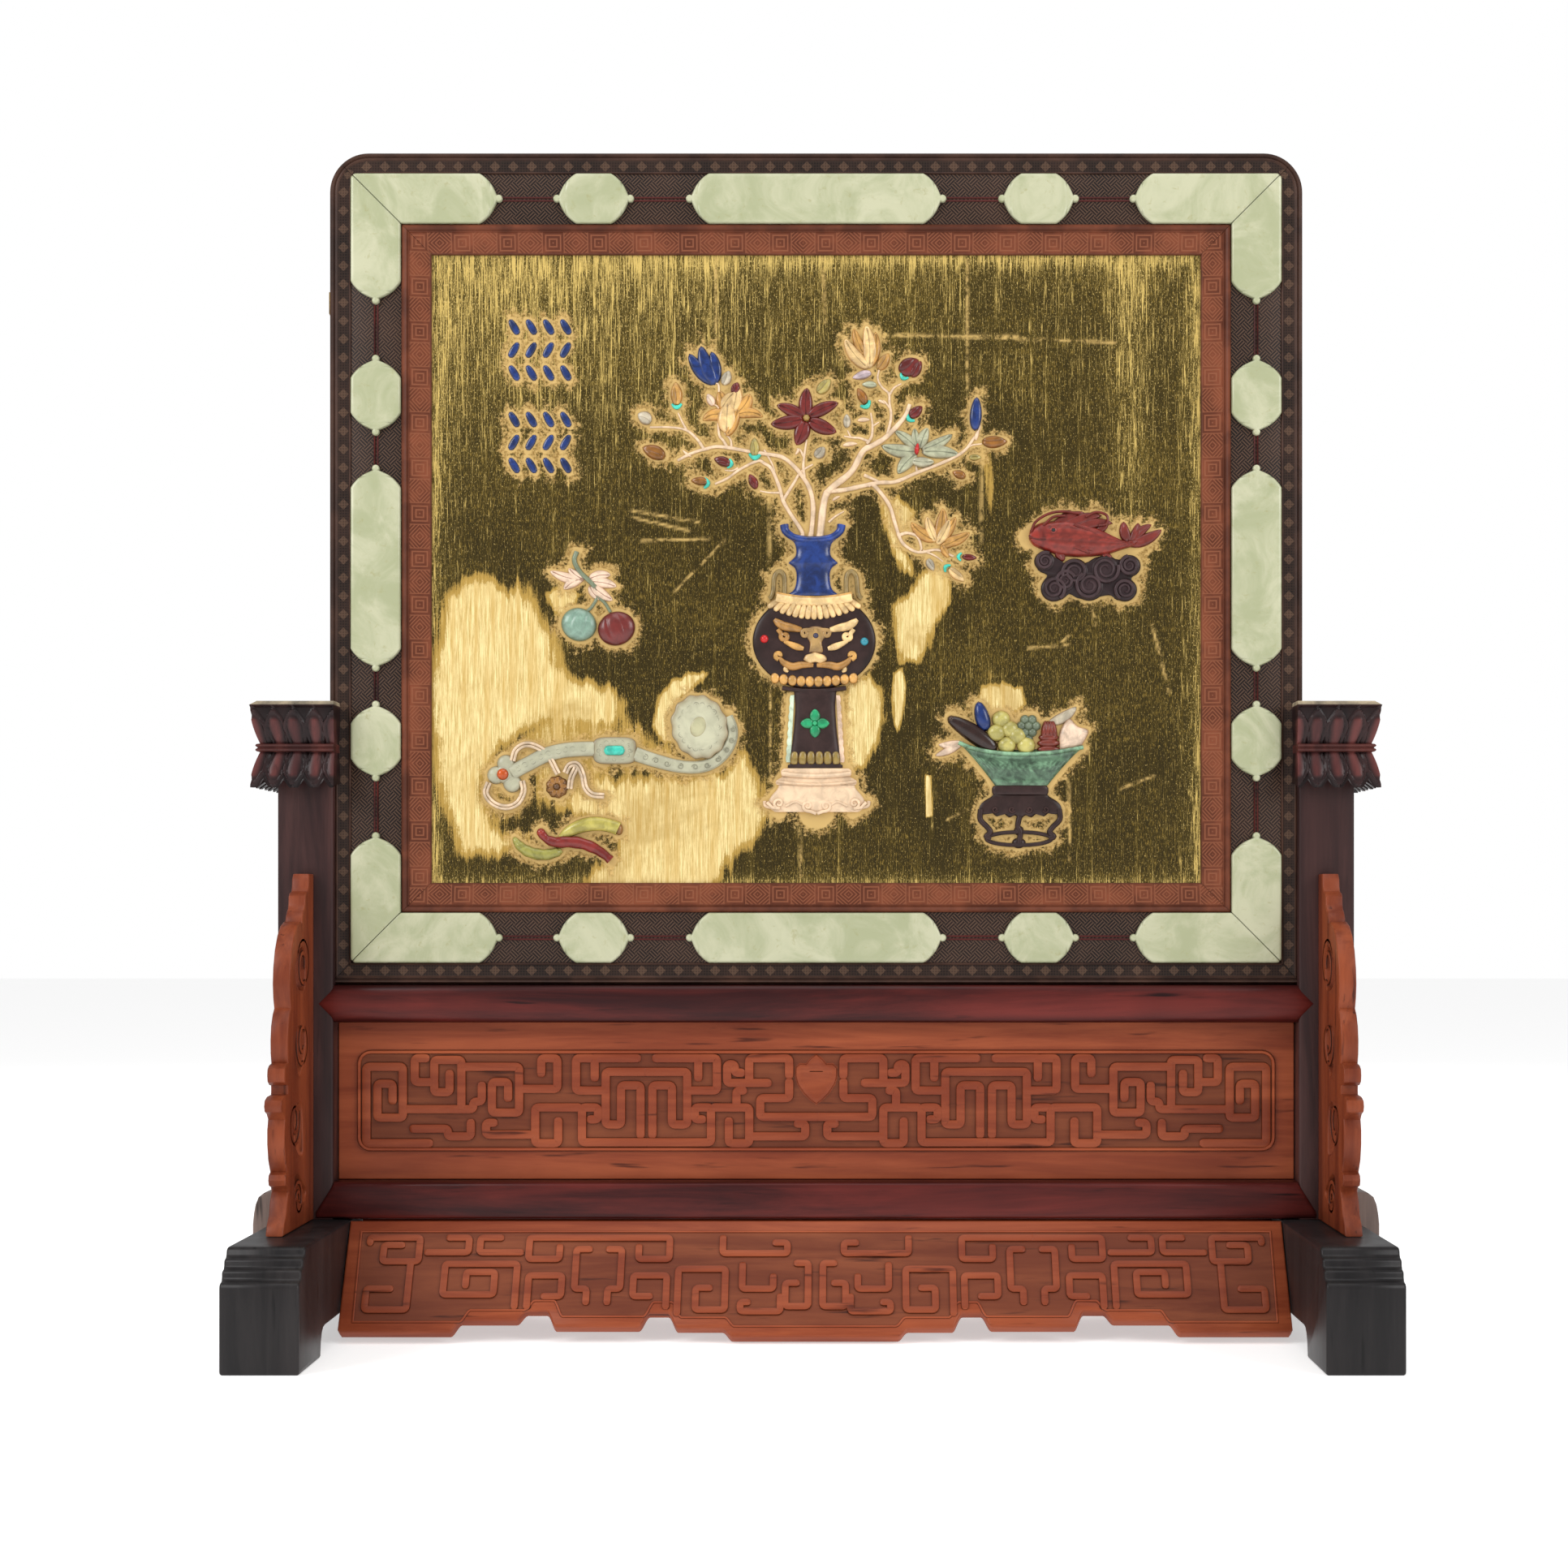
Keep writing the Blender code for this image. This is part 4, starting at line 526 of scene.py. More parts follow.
# name, dark and light colour, grain scale, roughness, coat
darkWood, postWood, railWood, redWood, uprightRed, lacquerBack = [woodMaterial(*values) for values in (
    ("dark_wood", (26, 24, 25), (48, 44, 44), (60, 60, 5), 0.4, 0.08),
    ("post_wood", (40, 24, 24), (76, 48, 45), (60, 60, 5), 0.36, 0.12),
    ("rail_wood", (44, 13, 14), (106, 38, 32), (5, 60, 60), 0.34, 0.1),
    ("red_wood", (124, 54, 31), (168, 86, 52), (6, 70, 70), 0.42, 0.06),
    ("upright_red_wood", (100, 42, 24), (146, 72, 42), (70, 70, 6), 0.42, 0.08),
    ("back_lacquer", (44, 24, 20), (60, 34, 28), (40, 40, 5), 0.35, 0.4),
)]
frameWood = frameMaterial()
linerWood = linerMaterial()
jadeStone = jadeMaterial()
giltGround = giltMaterial()
inlayStone = stoneMaterial("inlay_stone")
shellStone = stoneMaterial("shell_stone", 0.28, 0.22, 220.0, 0.4)
boneStone = stoneMaterial("bone", 0.4, 0.2, 160.0, 0.15)
darkInlay = stoneMaterial("dark_inlay", 0.36, 0.3, 120.0, 0.12, specular=0.2)
lapisStone = stoneMaterial("lapis", 0.2, 0.55, 170.0, 0.5)
brass = Recipe("aged_brass", 0.42, 1.0)
brass.bumps(brass.noise(400.0), 0.05, 0.5)
brassMetal = brass.finish(brass.blend(brass.noise(160.0).step(0.4, 0.7), linear(150, 120, 66), linear(96, 74, 44)))
print("materials")


# Outer frame: a moulded edge, a patterned border and the jade band, mitred at the corners
frameParts = {
    "cornerRadius": 23.0,
    "edge": (
        (0, 14), (0, -11.6), (0.5, -13.1), (1.4, -13.9), (2.2, -13.5), (2.8, -12.6), (3.3, -12.6),
        (3.6, -13.5), (4.3, -13.7), (4.9, -13.1),
    ),
    "border": ((5.1, -13.0), (11.4, -13.0)),
    "bead": ((11.6, -13.6), (12.1, -13.9), (12.6, -13.6), (12.8, -12.9)),
    "bed": ((13.0, -13.0), (42.7, -13.0)),
    "back": ((42.9, -12.8), (42.9, 14), (2, 14)),
}
halfFrame = -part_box("frame_left")[0].x / mm
frameTop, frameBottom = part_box("frame_top")[1].z / mm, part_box("frame_bottom")[0].z / mm
frameMiddle = (frameTop + frameBottom) / 2


# cosine and sine of each side's turn from the top
turns = {"top": (1, 0), "left": (0, 1), "bottom": (-1, 0), "right": (0, -1)}


def memberGrid(side, profile, halfWidth, low, high, radius, arcSteps=6, runSteps=2):
    # rows follow the run from mitre to mitre, columns the profile (inset, y); a corner of that
    # radius shrinks with the inset until it is a plain mitre
    profile = np.asarray(profile, float)
    middle = (low + high) / 2
    tall = (high - low) / 2
    along, across = (tall, halfWidth) if side in ("left", "right") else (halfWidth, tall)
    c, s = turns[side]
    rounded = {"top": (1, 1), "left": (1, 0), "bottom": (0, 0), "right": (0, 1)}[side]
    inset = profile[:, 0]
    rows = []
    for hand in (-1, 1):
        r = np.maximum(radius - inset, 0.0) if rounded[0 if hand > 0 else 1] else np.zeros(len(inset))
        angles = np.pi / 4 - np.linspace(0, 1, arcSteps) * np.pi / 4
        centreU, centreV = along - inset - r, across - inset - r
        part = [np.c_[hand * (centreU + r * np.sin(a)) - hand * gap / 2, centreV + r * np.cos(a)] for a in angles]
        rows.append(part if hand < 0 else part[::-1])
    left, right = rows
    between = [left[-1] + (right[0] - left[-1]) * t for t in np.linspace(0, 1, runSteps + 2)[1:-1]]
    grid = np.array(left + between + right)
    x = grid[..., 0] * c - grid[..., 1] * s
    z = middle + grid[..., 0] * s + grid[..., 1] * c
    y = np.broadcast_to(profile[:, 1], x.shape)
    return np.stack([x, y, z], -1)


def frameMembers(frameParts):
    keys = ("edge", "border", "bead", "bed", "back")
    profile = [p for key in keys for p in frameParts[key]]
    zones = np.array([key for key in keys for _ in frameParts[key]])
    isBorder, isPlain = zones == "border", ~np.isin(zones, ("border", "bed"))
    inset = np.array(profile)[:, 0] - np.mean([p[0] for p in frameParts["border"]])
    for side in turns:
        grid = memberGrid(side, profile, halfFrame, frameBottom, frameTop, frameParts["cornerRadius"], 8)
        form = solidGrid(grid, np.where(isPlain, 0.82, 1.0)[:, None] * np.ones(3))
        run = grid[..., 0] if side in ("top", "bottom") else grid[..., 2] - frameMiddle
        extra = {label: np.tile(values, len(grid)) for label, values in
                 (("border", isBorder), ("plain", isPlain), ("across", inset))}
        extra["run"] = run.ravel() + 1090.0
        makePiece(f"frame_{side}_moulded", [form], frameWood, (f"frame_{side}",), 32, extra=extra)


frameMembers(frameParts)


# Inner frame between jade and gilt
liner = {
    "outer": 246.1,
    "profile": (
        (0, 3), (0, -13.9), (0.8, -14.7), (1.9, -14.8), (2.8, -14.3), (3.3, -13.5), (3.7, -13.4),
        (4.0, -13.9), (4.5, -13.8), (4.8, -13.3), (16.4, -11.7), (16.8, -11.9), (17.3, -11.4), (17.4, -10.4),
        (13, -10.3), (13, 3),
    ),
    "strip": (4.8, 16.4),
}


def linerMembers(liner):
    outer, (stripFrom, stripTo) = liner["outer"], liner["strip"]
    low, high = frameBottom + (halfFrame - outer), frameTop - (halfFrame - outer)
    inset = np.array(liner["profile"])[:, 0]
    inside = ((inset >= stripFrom) & (inset <= stripTo)).astype(float)
    inside[-2:] = 0
    for side in turns:
        grid = memberGrid(side, liner["profile"], outer, low, high, 0.0, 2, 2)
        run = grid[..., 0] if side in ("top", "bottom") else grid[..., 2] - frameMiddle
        extra = {"run": run.ravel() + 1000.0, "pattern": np.tile(inside, len(grid)),
                 "across": np.tile(inset - (stripFrom + stripTo) / 2, len(grid))}
        form = solidGrid(grid, np.where(inside > 0, 1.0, 0.8)[:, None] * np.ones(3))
        makePiece(f"liner_{side}_moulded", [form], linerWood, (f"liner_{side}",), 32, extra=extra)


linerMembers(liner)
print("frame and liner")


# Jade plaques with lobed, pointed ends, and the beads that run from tip to tip
jade = {
    "wide": 29.8,
    "cornerInset": 12.5,
    "middleInset": 27.7,
    "halfStep": 0.9,
    "bevel": ((0.0, 1.3), (0.2, 2.0), (0.5, 2.5), (1.0, 2.8), (2.0, 2.97), (4.0, 3.0)),
    "sides": {"top": (154.6, 132.0), "left": (122.8, 102.6)},
    "short": 48.0,
    "tip": 13.9,
    "knob": 2.3,
    "cornerGap": 30.0,
}


def tipHalf(half):
    # distance from the end of a plaque and half its width there: knob, neck, ogee shoulder
    knob = jade["knob"]
    a = np.linspace(0, np.radians(120), 9)
    parts = [np.c_[knob * (1 - np.cos(a)), knob * np.sin(a)]]
    marks = np.array([(1.6 * knob, 1.05 * knob), (0.53 * jade["tip"], 0.62 * half), (jade["tip"], half)])
    t = np.linspace(0, 1, 7)
    for start, end in zip(marks[:-1], marks[1:]):
        # each step bulges outwards and meets the next one in a notch
        reach = end - start - (0, 0.03 * half)
        parts.append(start + (0.08, 0.03 * half) + np.c_[reach[0] * t * 0.98,
            reach[1] * (0.5 * t + 0.5 * np.sin(t * np.pi / 2))])
    return np.vstack(parts)


def insetOutline(outline, distance):
    # each corner moves in along the mean of its sides' normals, by at most twice the distance
    ahead = np.roll(outline, -1, 0)
    run = (ahead - outline) / np.linalg.norm(ahead - outline, axis=1, keepdims=True)
    area = np.sum(outline[:, 0] * ahead[:, 1] - ahead[:, 0] * outline[:, 1])
    after = np.c_[-run[:, 1], run[:, 0]] * (1 if area > 0 else -1)
    before = np.roll(after, 1, 0)
    both = before + after
    both /= np.maximum(np.linalg.norm(both, axis=1, keepdims=True), 1e-6)
    share = np.maximum((both * before).sum(1), 0.5)
    return outline + both * (distance / share)[:, None]


def plaqueForm(length, mitred, lay, back):
    # rows run from the tip, columns crowd to the edges; the top is rounded by the distance to the
    # nearest edge, and an arm's rows lean over to end on the mitre
    half = jade["wide"] / 2
    p, w = tipHalf(half).T
    t = np.sin(np.linspace(-np.pi / 2, np.pi / 2, 25))
    edge = (w[:, None] - w[:, None] * np.abs(t)) / np.sqrt(1 + np.gradient(w, p) ** 2)[:, None]
    along, across = p[:, None] + 0 * t, w[:, None] * t
    mitre = np.full(along.shape, 9.0)
    if mitred:
        run = length - half - 0.1 - jade["tip"]
        s = np.r_[0.4, 0.8, 1 - np.array([4.2, 3.2, 2.2, 1.4, 0.8, 0.5, 0.25, 0.0]) / (run + half)][:, None]
        corner = (1 - s) * (run + half) + 1.1
        outer = half - 1.1 * np.clip((4.2 - corner) / 3.1, 0, 1) ** 2
        v = -half + (t + 1) / 2 * (outer + half)
        along, across = np.vstack([along, jade["tip"] + s * (run + v)]), np.vstack([across, v])
        edge = np.vstack([edge, np.minimum(v + half, outer - v)])
        mitre = np.vstack([mitre, (1 - s) * (run + v) / math.sqrt(2)])
    else:
        along = np.vstack([along, length - along[::-1]])
        across, edge, mitre = [np.vstack([grid, grid[::-1]]) for grid in (across, edge, mitre)]
    inset, height = np.array(jade["bevel"]).T
    high = np.interp(edge, inset, height) - 0.5 * np.clip(1 - mitre / 0.5, 0, 1) ** 2
    foot = np.zeros((len(high), 1))
    along, across = [np.hstack([grid[:, :1], grid, grid[:, -1:]]) for grid in (along, across)]
    high = np.hstack([foot, high, foot])
    u, v = lay(along, across)
    stained = 1 - 0.45 * np.clip(1 - mitre / 0.5, 0, 1)
    shade = np.hstack([foot + 0.6, (0.72 + 0.28 * np.clip(edge / 0.5, 0, 1)) * stained, foot + 0.6])
    return solidGrid(np.stack([u, back - high, v], -1), shade[..., None] * np.ones(3))


def jadePlaques(jade):
    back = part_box("jade_top_middle")[1].y / mm
    halfTall, short = frameTop - frameMiddle, jade["short"]
    beads = []
    for side, (c, s) in turns.items():
        level = side in ("top", "bottom")
        longLength, shortAt = jade["sides"]["top" if level else "left"]
        row, along = (halfTall, halfFrame) if level else (halfFrame, halfTall)
        row, along = row - jade["middleInset"], along - jade["cornerInset"]

        def lay(u, v):
            return u * c - (v + row) * s, frameMiddle + u * s + (v + row) * c

        reach = along - (shortAt + short / 2 + jade["cornerGap"]) - gap
        armTip = along - gap - reach
        parts = (
            ("middle", 1, longLength, -longLength / 2), ("first", 1, short, -shortAt - short / 2),
            ("last", 1, short, shortAt - short / 2), ("start", -1, reach, armTip), ("end", 1, reach, armTip),
        )
        for word, hand, length, tip in parts:
            form = plaqueForm(length, word in ("start", "end"), lambda u, v: lay(hand * (tip + u), v), back)
            makePiece(f"jade_{side}_{word}_carved", [form], jadeStone, (f"jade_{side}_{word}",), 60)
        for far, near in ((shortAt - short / 2, longLength / 2), (armTip, shortAt + short / 2)):
            for hand in (-1, 1):
                for offset in (-jade["halfStep"], jade["halfStep"]):
                    u, v = lay(np.array([near - 1.5, far + 1.5]) * hand, offset)
                    beads.append(rod(np.c_[u, v + 0 * u], 0.55, (0.8, 0.8, 0.8), 1.0, -13.0, 6, 0.2, False))
    makePiece("jade_bead_lines", beads, railWood, (), 60)


jadePlaques(jade)
print("jade")


# Stand. Rails first: rounded faces that run out to points over the posts
rails = {
    "top_rail": {"point": 0.5, "rise": 11.0, "ease": 1.0},
    "low_rail": {"point": 0.2, "rise": 11.0, "ease": 0.42},
    "layers": ((0, -15.0), (0, -18.0), (0.5, -19.0), (1.4, -19.9), (2.8, -20.6), (4.8, -21.0), (7.5, -21.2)),
}
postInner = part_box("top_rail")[1].x / mm - 11.0


def flatRing(outline, y):
    return np.c_[outline[:, 0], np.full(len(outline), y), outline[:, 1]]


def railPieces(rails):
    # painted shade: the rounded edges darken from the front face back, and the core between the two faces is darker
    # too
    shades = np.array([0.5, 0.5, 0.6, 0.8, 1.0, 1.05, 1.05])[:, None, None] * np.ones(3)
    for name in ("top_rail", "low_rail"):
        (_, _, z0), (_, _, z1) = [np.array(c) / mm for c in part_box(name)]
        point, rise, ease = [rails[name][key] for key in ("point", "rise", "ease")]
        start = postInner if point > 0.4 else postInner + rise
        right = np.array([(start, z0), (postInner + rise, z0 + point * (z1 - z0)), (postInner, z1)])
        face = np.vstack([right, right[::-1] * (-1, 1)])
        forms = []
        for hand in (1, -1):
            rings = [flatRing(insetOutline(face, d * ease), hand * y) for d, y in rails["layers"]]
            forms.append(solidGrid(np.array(rings), shades))
        x = postInner - gap
        core = np.array([(-x, z0), (x, z0), (x, z1), (-x, z1)])
        forms.append(solidGrid(np.array([flatRing(core, -16.0), flatRing(core, 16.0)]), (0.6, 0.6, 0.6)))
        makePiece(f"{name}_moulded", forms, railWood, (name,), 35)


railPieces(rails)


# Posts with their lotus capitals
posts = {
    "edge": 1.6,
    "groove": (4.0, 14.3),
    "width": 33.0,
    "halfDepth": 20.0,
    "levels": {"bottom": 67.3, "groove": 205.7, "top": 345.0},
    "capital": {"low": 322.0, "high": 373.0, "chamfer": 4.0, "reach": 32.5, "tier": 0.41, "relief": 1.5},
}
postLow, postHigh = [np.array(c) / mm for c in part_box("post_right")]


def roundedSection(x0, x1, y, edge, groove):
    # corners of a post's section with eased edges; the inner side is cut back between +-groove
    a = np.linspace(0, np.pi / 2, 4)
    c, s = edge * np.cos(a), edge * np.sin(a)
    outerBack = np.c_[x1 - edge + c, y - edge + s]
    innerBack = np.c_[x0 + edge - s, y - edge + c]
    depth, half = groove
    cut = [(x0, half), (x0 + depth, half), (x0 + depth, -half), (x0, -half)]
    return np.vstack([outerBack, innerBack, cut, innerBack[::-1] * (1, -1), outerBack[::-1] * (1, -1)])


def petalField(a, h, lift):
    # height of one lotus petal at a (-1 to 1 across) and h (0 at its root to 1 at its tip)
    half = np.where(h > 0.42, 1 - (np.clip(h - 0.42, 0, 1) / 0.58) ** 1.7, 0.78 + 0.22 * h / 0.42)
    half = np.maximum(half, 1e-3)
    q = np.abs(a) / half
    rim = np.exp(-(((q - 0.84) / 0.13) ** 2))
    tip = np.clip((h - 0.72) / 0.2, 0, 1)
    bulge = np.sqrt(np.clip(1 - (q / 0.62) ** 2, 0, 1)) * np.clip(1 - np.clip(h - 0.66, 0, 1) / 0.14, 0, 1)
    height = lift + 0.75 * np.maximum(rim, tip * 0.9) + 0.95 * bulge
    # tone: the rims and tips lighter as wear on the edges, the bulges lighter still as a painted highlight
    tone = np.clip(0.55 + 0.5 * np.maximum(rim, tip) * 0.7 + 1.1 * bulge**2, 0, 1.7)
    return np.where(q < 1.0, height, -9.0), tone, bulge


def capitalForm(side):
    cap = posts["capital"]
    low, high, reach = cap["low"], cap["high"], cap["reach"]
    tier = cap["tier"] * (high - low)
    x0, x1 = postLow[0], postHigh[0]
    # the perimeter: front from inner to outer (0), outer side (1), back (2), inner side (3)
    counts = (76, 96, 40, 6)
    k = np.repeat(np.arange(4), counts)
    t = np.concatenate([np.linspace(0, 1, count, endpoint=False) for count in counts])
    petals = np.array((4, 6, 4, 1))[k]
    length = np.array((x1 - x0, 2 * reach) * 2)[k]
    pitch = length / petals
    # rows: under side, lower tier up to the waist, beads, upper tier, slab, chamfer, top
    rise, beadT = np.linspace(0, 1, 24), np.linspace(0, 1, 14)[1:-1]
    beads = slice(len(rise), len(rise) + len(beadT))
    z = np.r_[low + tier * rise, low + tier + beadT * (high - low - 4 - 2 * tier),
              high - 4 - tier * rise[::-1], high - 2.6, high - 2.0, high - 0.2, high]
    shape = len(z), len(k)
    toTip = np.concatenate([1 - rise, np.full(len(beadT), -1.0), rise, np.full(4, 2.0)])[:, None]
    inTier = (toTip >= 0) & (toTip <= 1.0)
    inset = np.where(toTip >= 0, 4.9 * (1 - np.clip(toTip, 0, 1)) ** 1.8, 0)
    inset[beads, 0] = 5.0 - 1.7 * np.abs(np.sin(beadT * 2 * np.pi)) ** 0.7
    inset[-4:, 0] = 0.4, 1.2, cap["chamfer"] - 0.3, cap["chamfer"]
    inset = np.broadcast_to(inset, shape)
    # tone starts low, so the ground between the petals carries painted shade
    relief, tone, red = np.full(shape, -0.9), np.full(shape, 0.4), np.zeros(shape)
    tierH = np.broadcast_to(np.clip(toTip * 1.02, 0, 1), shape)
    for layer, first, wide in ((-0.75, 1, 1.12), (-0.1, 0, 1.18)):
        for centre in range(first, 7, 2):
            a = (t * length - centre * pitch) / (pitch * wide / 2)
            a = np.where((centre <= petals) & (k != 3), a, 9.0) + np.zeros(shape)
            height, shade, bulge = petalField(a, tierH, layer)
            better = (height > relief) & inTier
            relief = np.where(better, height, relief)
            tone = np.where(better, shade, tone)
            red = np.where(better, bulge, red)
    relief = np.where(inTier & (k != 3), relief, 0.0)
    tone = np.where(inTier, tone, 0.9)
    tone[-4:] = 1.0
    # where each perimeter mark lies once the sides have moved in by d
    d = np.maximum(inset - relief + 1.5 * inTier, 0.0)
    half = reach - d
    xa, xb = x0 + 0.1 * inset, x1 - d
    sides = [k == 0, k == 1, k == 2]
    px = np.select(sides, [xa + (xb - xa) * t, xb, xb + (xa - xb) * t], xa)
    py = np.select(sides, [-half, -half + 2 * half * t, half], half - 2 * half * t)
    pz = z[:, None] + np.zeros(shape)
    # notches between the lower petals' tips
    share = np.abs((t * petals + 0.5) % 1.0 - 0.5) * 2
    edge = np.where(k == 3, 3.0, -2.0 + 6.5 * share**1.4)
    pz[:8] = np.maximum(pz[:8], low + edge + np.arange(8)[:, None] * 0.25)
    under = np.stack([np.clip(px[0], x0 + 2, x1 - 13.5), np.clip(py[0], 10 - reach, reach - 10),
                      np.full(len(k), low + 8.0)], -1)
    grid = np.concatenate([under[None], np.stack([px, py, pz], -1)]) * (side, 1, 1)
    colour = tone[..., None] * (0.72, 0.74, 0.8) + (red**3)[..., None] * (1.25, 0.42, 0.3)
    colour[beads] = 1.7, 1.1, 0.95
    # painted light: the top and the chamfer are painted pale beige as if lit from above, the chamfer's foot a little
    # darker
    paintedTopLight = linear(160, 146, 120) / linear(58, 36, 34)
    colour[-2:] = paintedTopLight
    colour[-3] = paintedTopLight * 0.8
    # painted shade: the under side is darkened
    return solidGrid(grid, np.concatenate([np.full((1, len(k), 3), 0.3), colour]))


def postPieces(posts):
    inner, outer = postInner, postInner + posts["width"]
    depth, half = posts["groove"]
    bottom, groove, top = posts["levels"].values()
    plain, cut = [roundedSection(inner, outer, posts["halfDepth"], posts["edge"], (deep, half))
        for deep in (0.0, depth)]
    rows = ((plain, bottom), (plain, groove), (cut, groove + 0.02), (cut, top))
    for side, name in ((-1, "post_left"), (1, "post_right")):
        grid = np.array([np.c_[section * (side, 1), np.full(len(section), z)] for section, z in rows])
        makePiece(f"{name}_carved", [solidGrid(grid), capitalForm(side)], postWood, (name,), 48)


postPieces(posts)
print("rails and posts")


# Feet: a rolled nose, steps to the plateau, an arch below, and scrolls in low relief on the sides
feet = {
    "profile": (
        (148.4, 0), (149.6, 0.6), (150, 2.4), (150, 46.4), (149.5, 48.6), (148.2, 49.7), (146.4, 50.1),
        (145.0, 50.8), (144.4, 52.2), (144.4, 54.0), (143.8, 55.4), (142.2, 56.0), (140.6, 56.5),
        (139.9, 57.8), (139.8, 59.6), (139.1, 61.0), (137.5, 61.6), (135.9, 62.1), (135.1, 63.3),
        (134.6, 65.2), (133.4, 66.6), (131.2, 67.0), (120, 67.0), (60, 67.0), (0, 67.0),
    ),
    "arch": (
        (0, 16), (60, 16), (86, 16), (90.5, 15.2), (93.6, 12.8), (95.8, 8.5), (96.8, 3.5), (97.2, 0.6),
        (98.2, 0),
    ),
    "edges": ((0.0, 1.3), (0.35, 0.5), (1.2, 0.0)),
    "inner": 275.3,
    "outer": 318.3,
    "block": (
        (306, 18), (331.5, 18), (333.3, 18.6), (333.8, 20.5), (333.8, 64), (333.2, 70), (332.2, 75.5),
        (330.4, 80), (327, 82.6), (322, 83), (318.6, 83), (318.6, 66), (306, 66),
    ),
    "blockEdges": ((0.0, 1.0), (0.3, 0.4), (1.0, 0.0)),
    "blockHalf": 17,
}


def spiral(centre, radius, turns, start, hand=1, tail=(), count=30):
    # a scroll that winds in to a third of its radius, after an optional straight tail
    a = np.linspace(0, turns * 2 * np.pi, count)
    r = radius * (1 - 0.72 * a / a[-1])
    angle = math.radians(start) + hand * a
    wound = np.c_[centre[0] + r * np.cos(angle), centre[1] + r * np.sin(angle)]
    return np.vstack([np.asarray(tail, float).reshape(-1, 2), wound])


def onPlane(form, place):
    points, faces, tints = form
    u, v, h = points.T
    return np.stack(place(u, v, h), -1), faces, tints


def footPieces(feet):
    right = np.array(feet["arch"] + feet["profile"])
    outline = np.vstack([right[:-1], (right * (-1, 1))[::-1][:-1]])
    block = np.array(feet["block"])
    scrolls = [
        spiral((62, 44), 13, 1.6, -150, 1, ((112, 30), (84, 29))),
        spiral((30, 42), 10, 1.5, 180, -1, ((14, 22), (18, 32))),
        smoothPath([(100, 3), (98, 16), (88, 22), (60, 24), (20, 23), (0, 23)], 5),
    ]
    # painted light: the block's scrolls are tinted pale, like the block below
    blockScroll = ridge(spiral((326.2, 70), 5.2, 1.5, 90, -1, ((320.4, 50), (320.2, 62))), 1.3, 0.9, (6.0, 4.8, 3.9))
    blockLoop = smoothPath([(323, 30), (322, 44), (326, 54), (331, 44), (330, 30), (323, 30)], 5)
    blockLoop = ridge(blockLoop, 1.2, 0.9, (3.0, 2.7, 2.3))
    for side, name in ((-1, "foot_left"), (1, "foot_right")):
        rings = [np.c_[np.full(len(outline), x + hand * out), insetOutline(outline, inset)]
                 for x, hand in ((feet["inner"], 1), (feet["outer"], -1)) for out, inset in feet["edges"][::hand]]
        forms = [solidGrid(np.array(rings) * (side, 1, 1))]
        for path in scrolls:
            for mirror in (1, -1):
                form = ridge(path * (mirror, 1), 1.6, 0.55, (1.25, 1.2, 1.15))
                for x, rise in ((feet["inner"] + 0.4, -0.7), (feet["outer"] - 0.3, 1.0)):
                    forms.append(onPlane(form, lambda u, v, h: (side * (x + rise * h), u, v)))
        rings = [flatRing(insetOutline(block, inset), hand * (feet["blockHalf"] - out))
                 for hand in (-1, 1) for out, inset in feet["blockEdges"][::-hand]]
        # painted light: the side block is tinted pale grey-beige, many times lighter than the dark wood, standing in
        # for the strong back light on it
        forms.append(solidGrid(np.array(rings) * (side, 1, 1), (10.0, 8.2, 6.8)))
        for hand in (-1, 1):
            for form in (blockScroll, blockLoop):
                forms.append(onPlane(form, lambda u, v, h: (side * u, hand * (16.2 + h * 0.8), v)))
        makePiece(f"{name}_shaped", forms, darkWood, (name,), 40)


footPieces(feet)
print("feet")


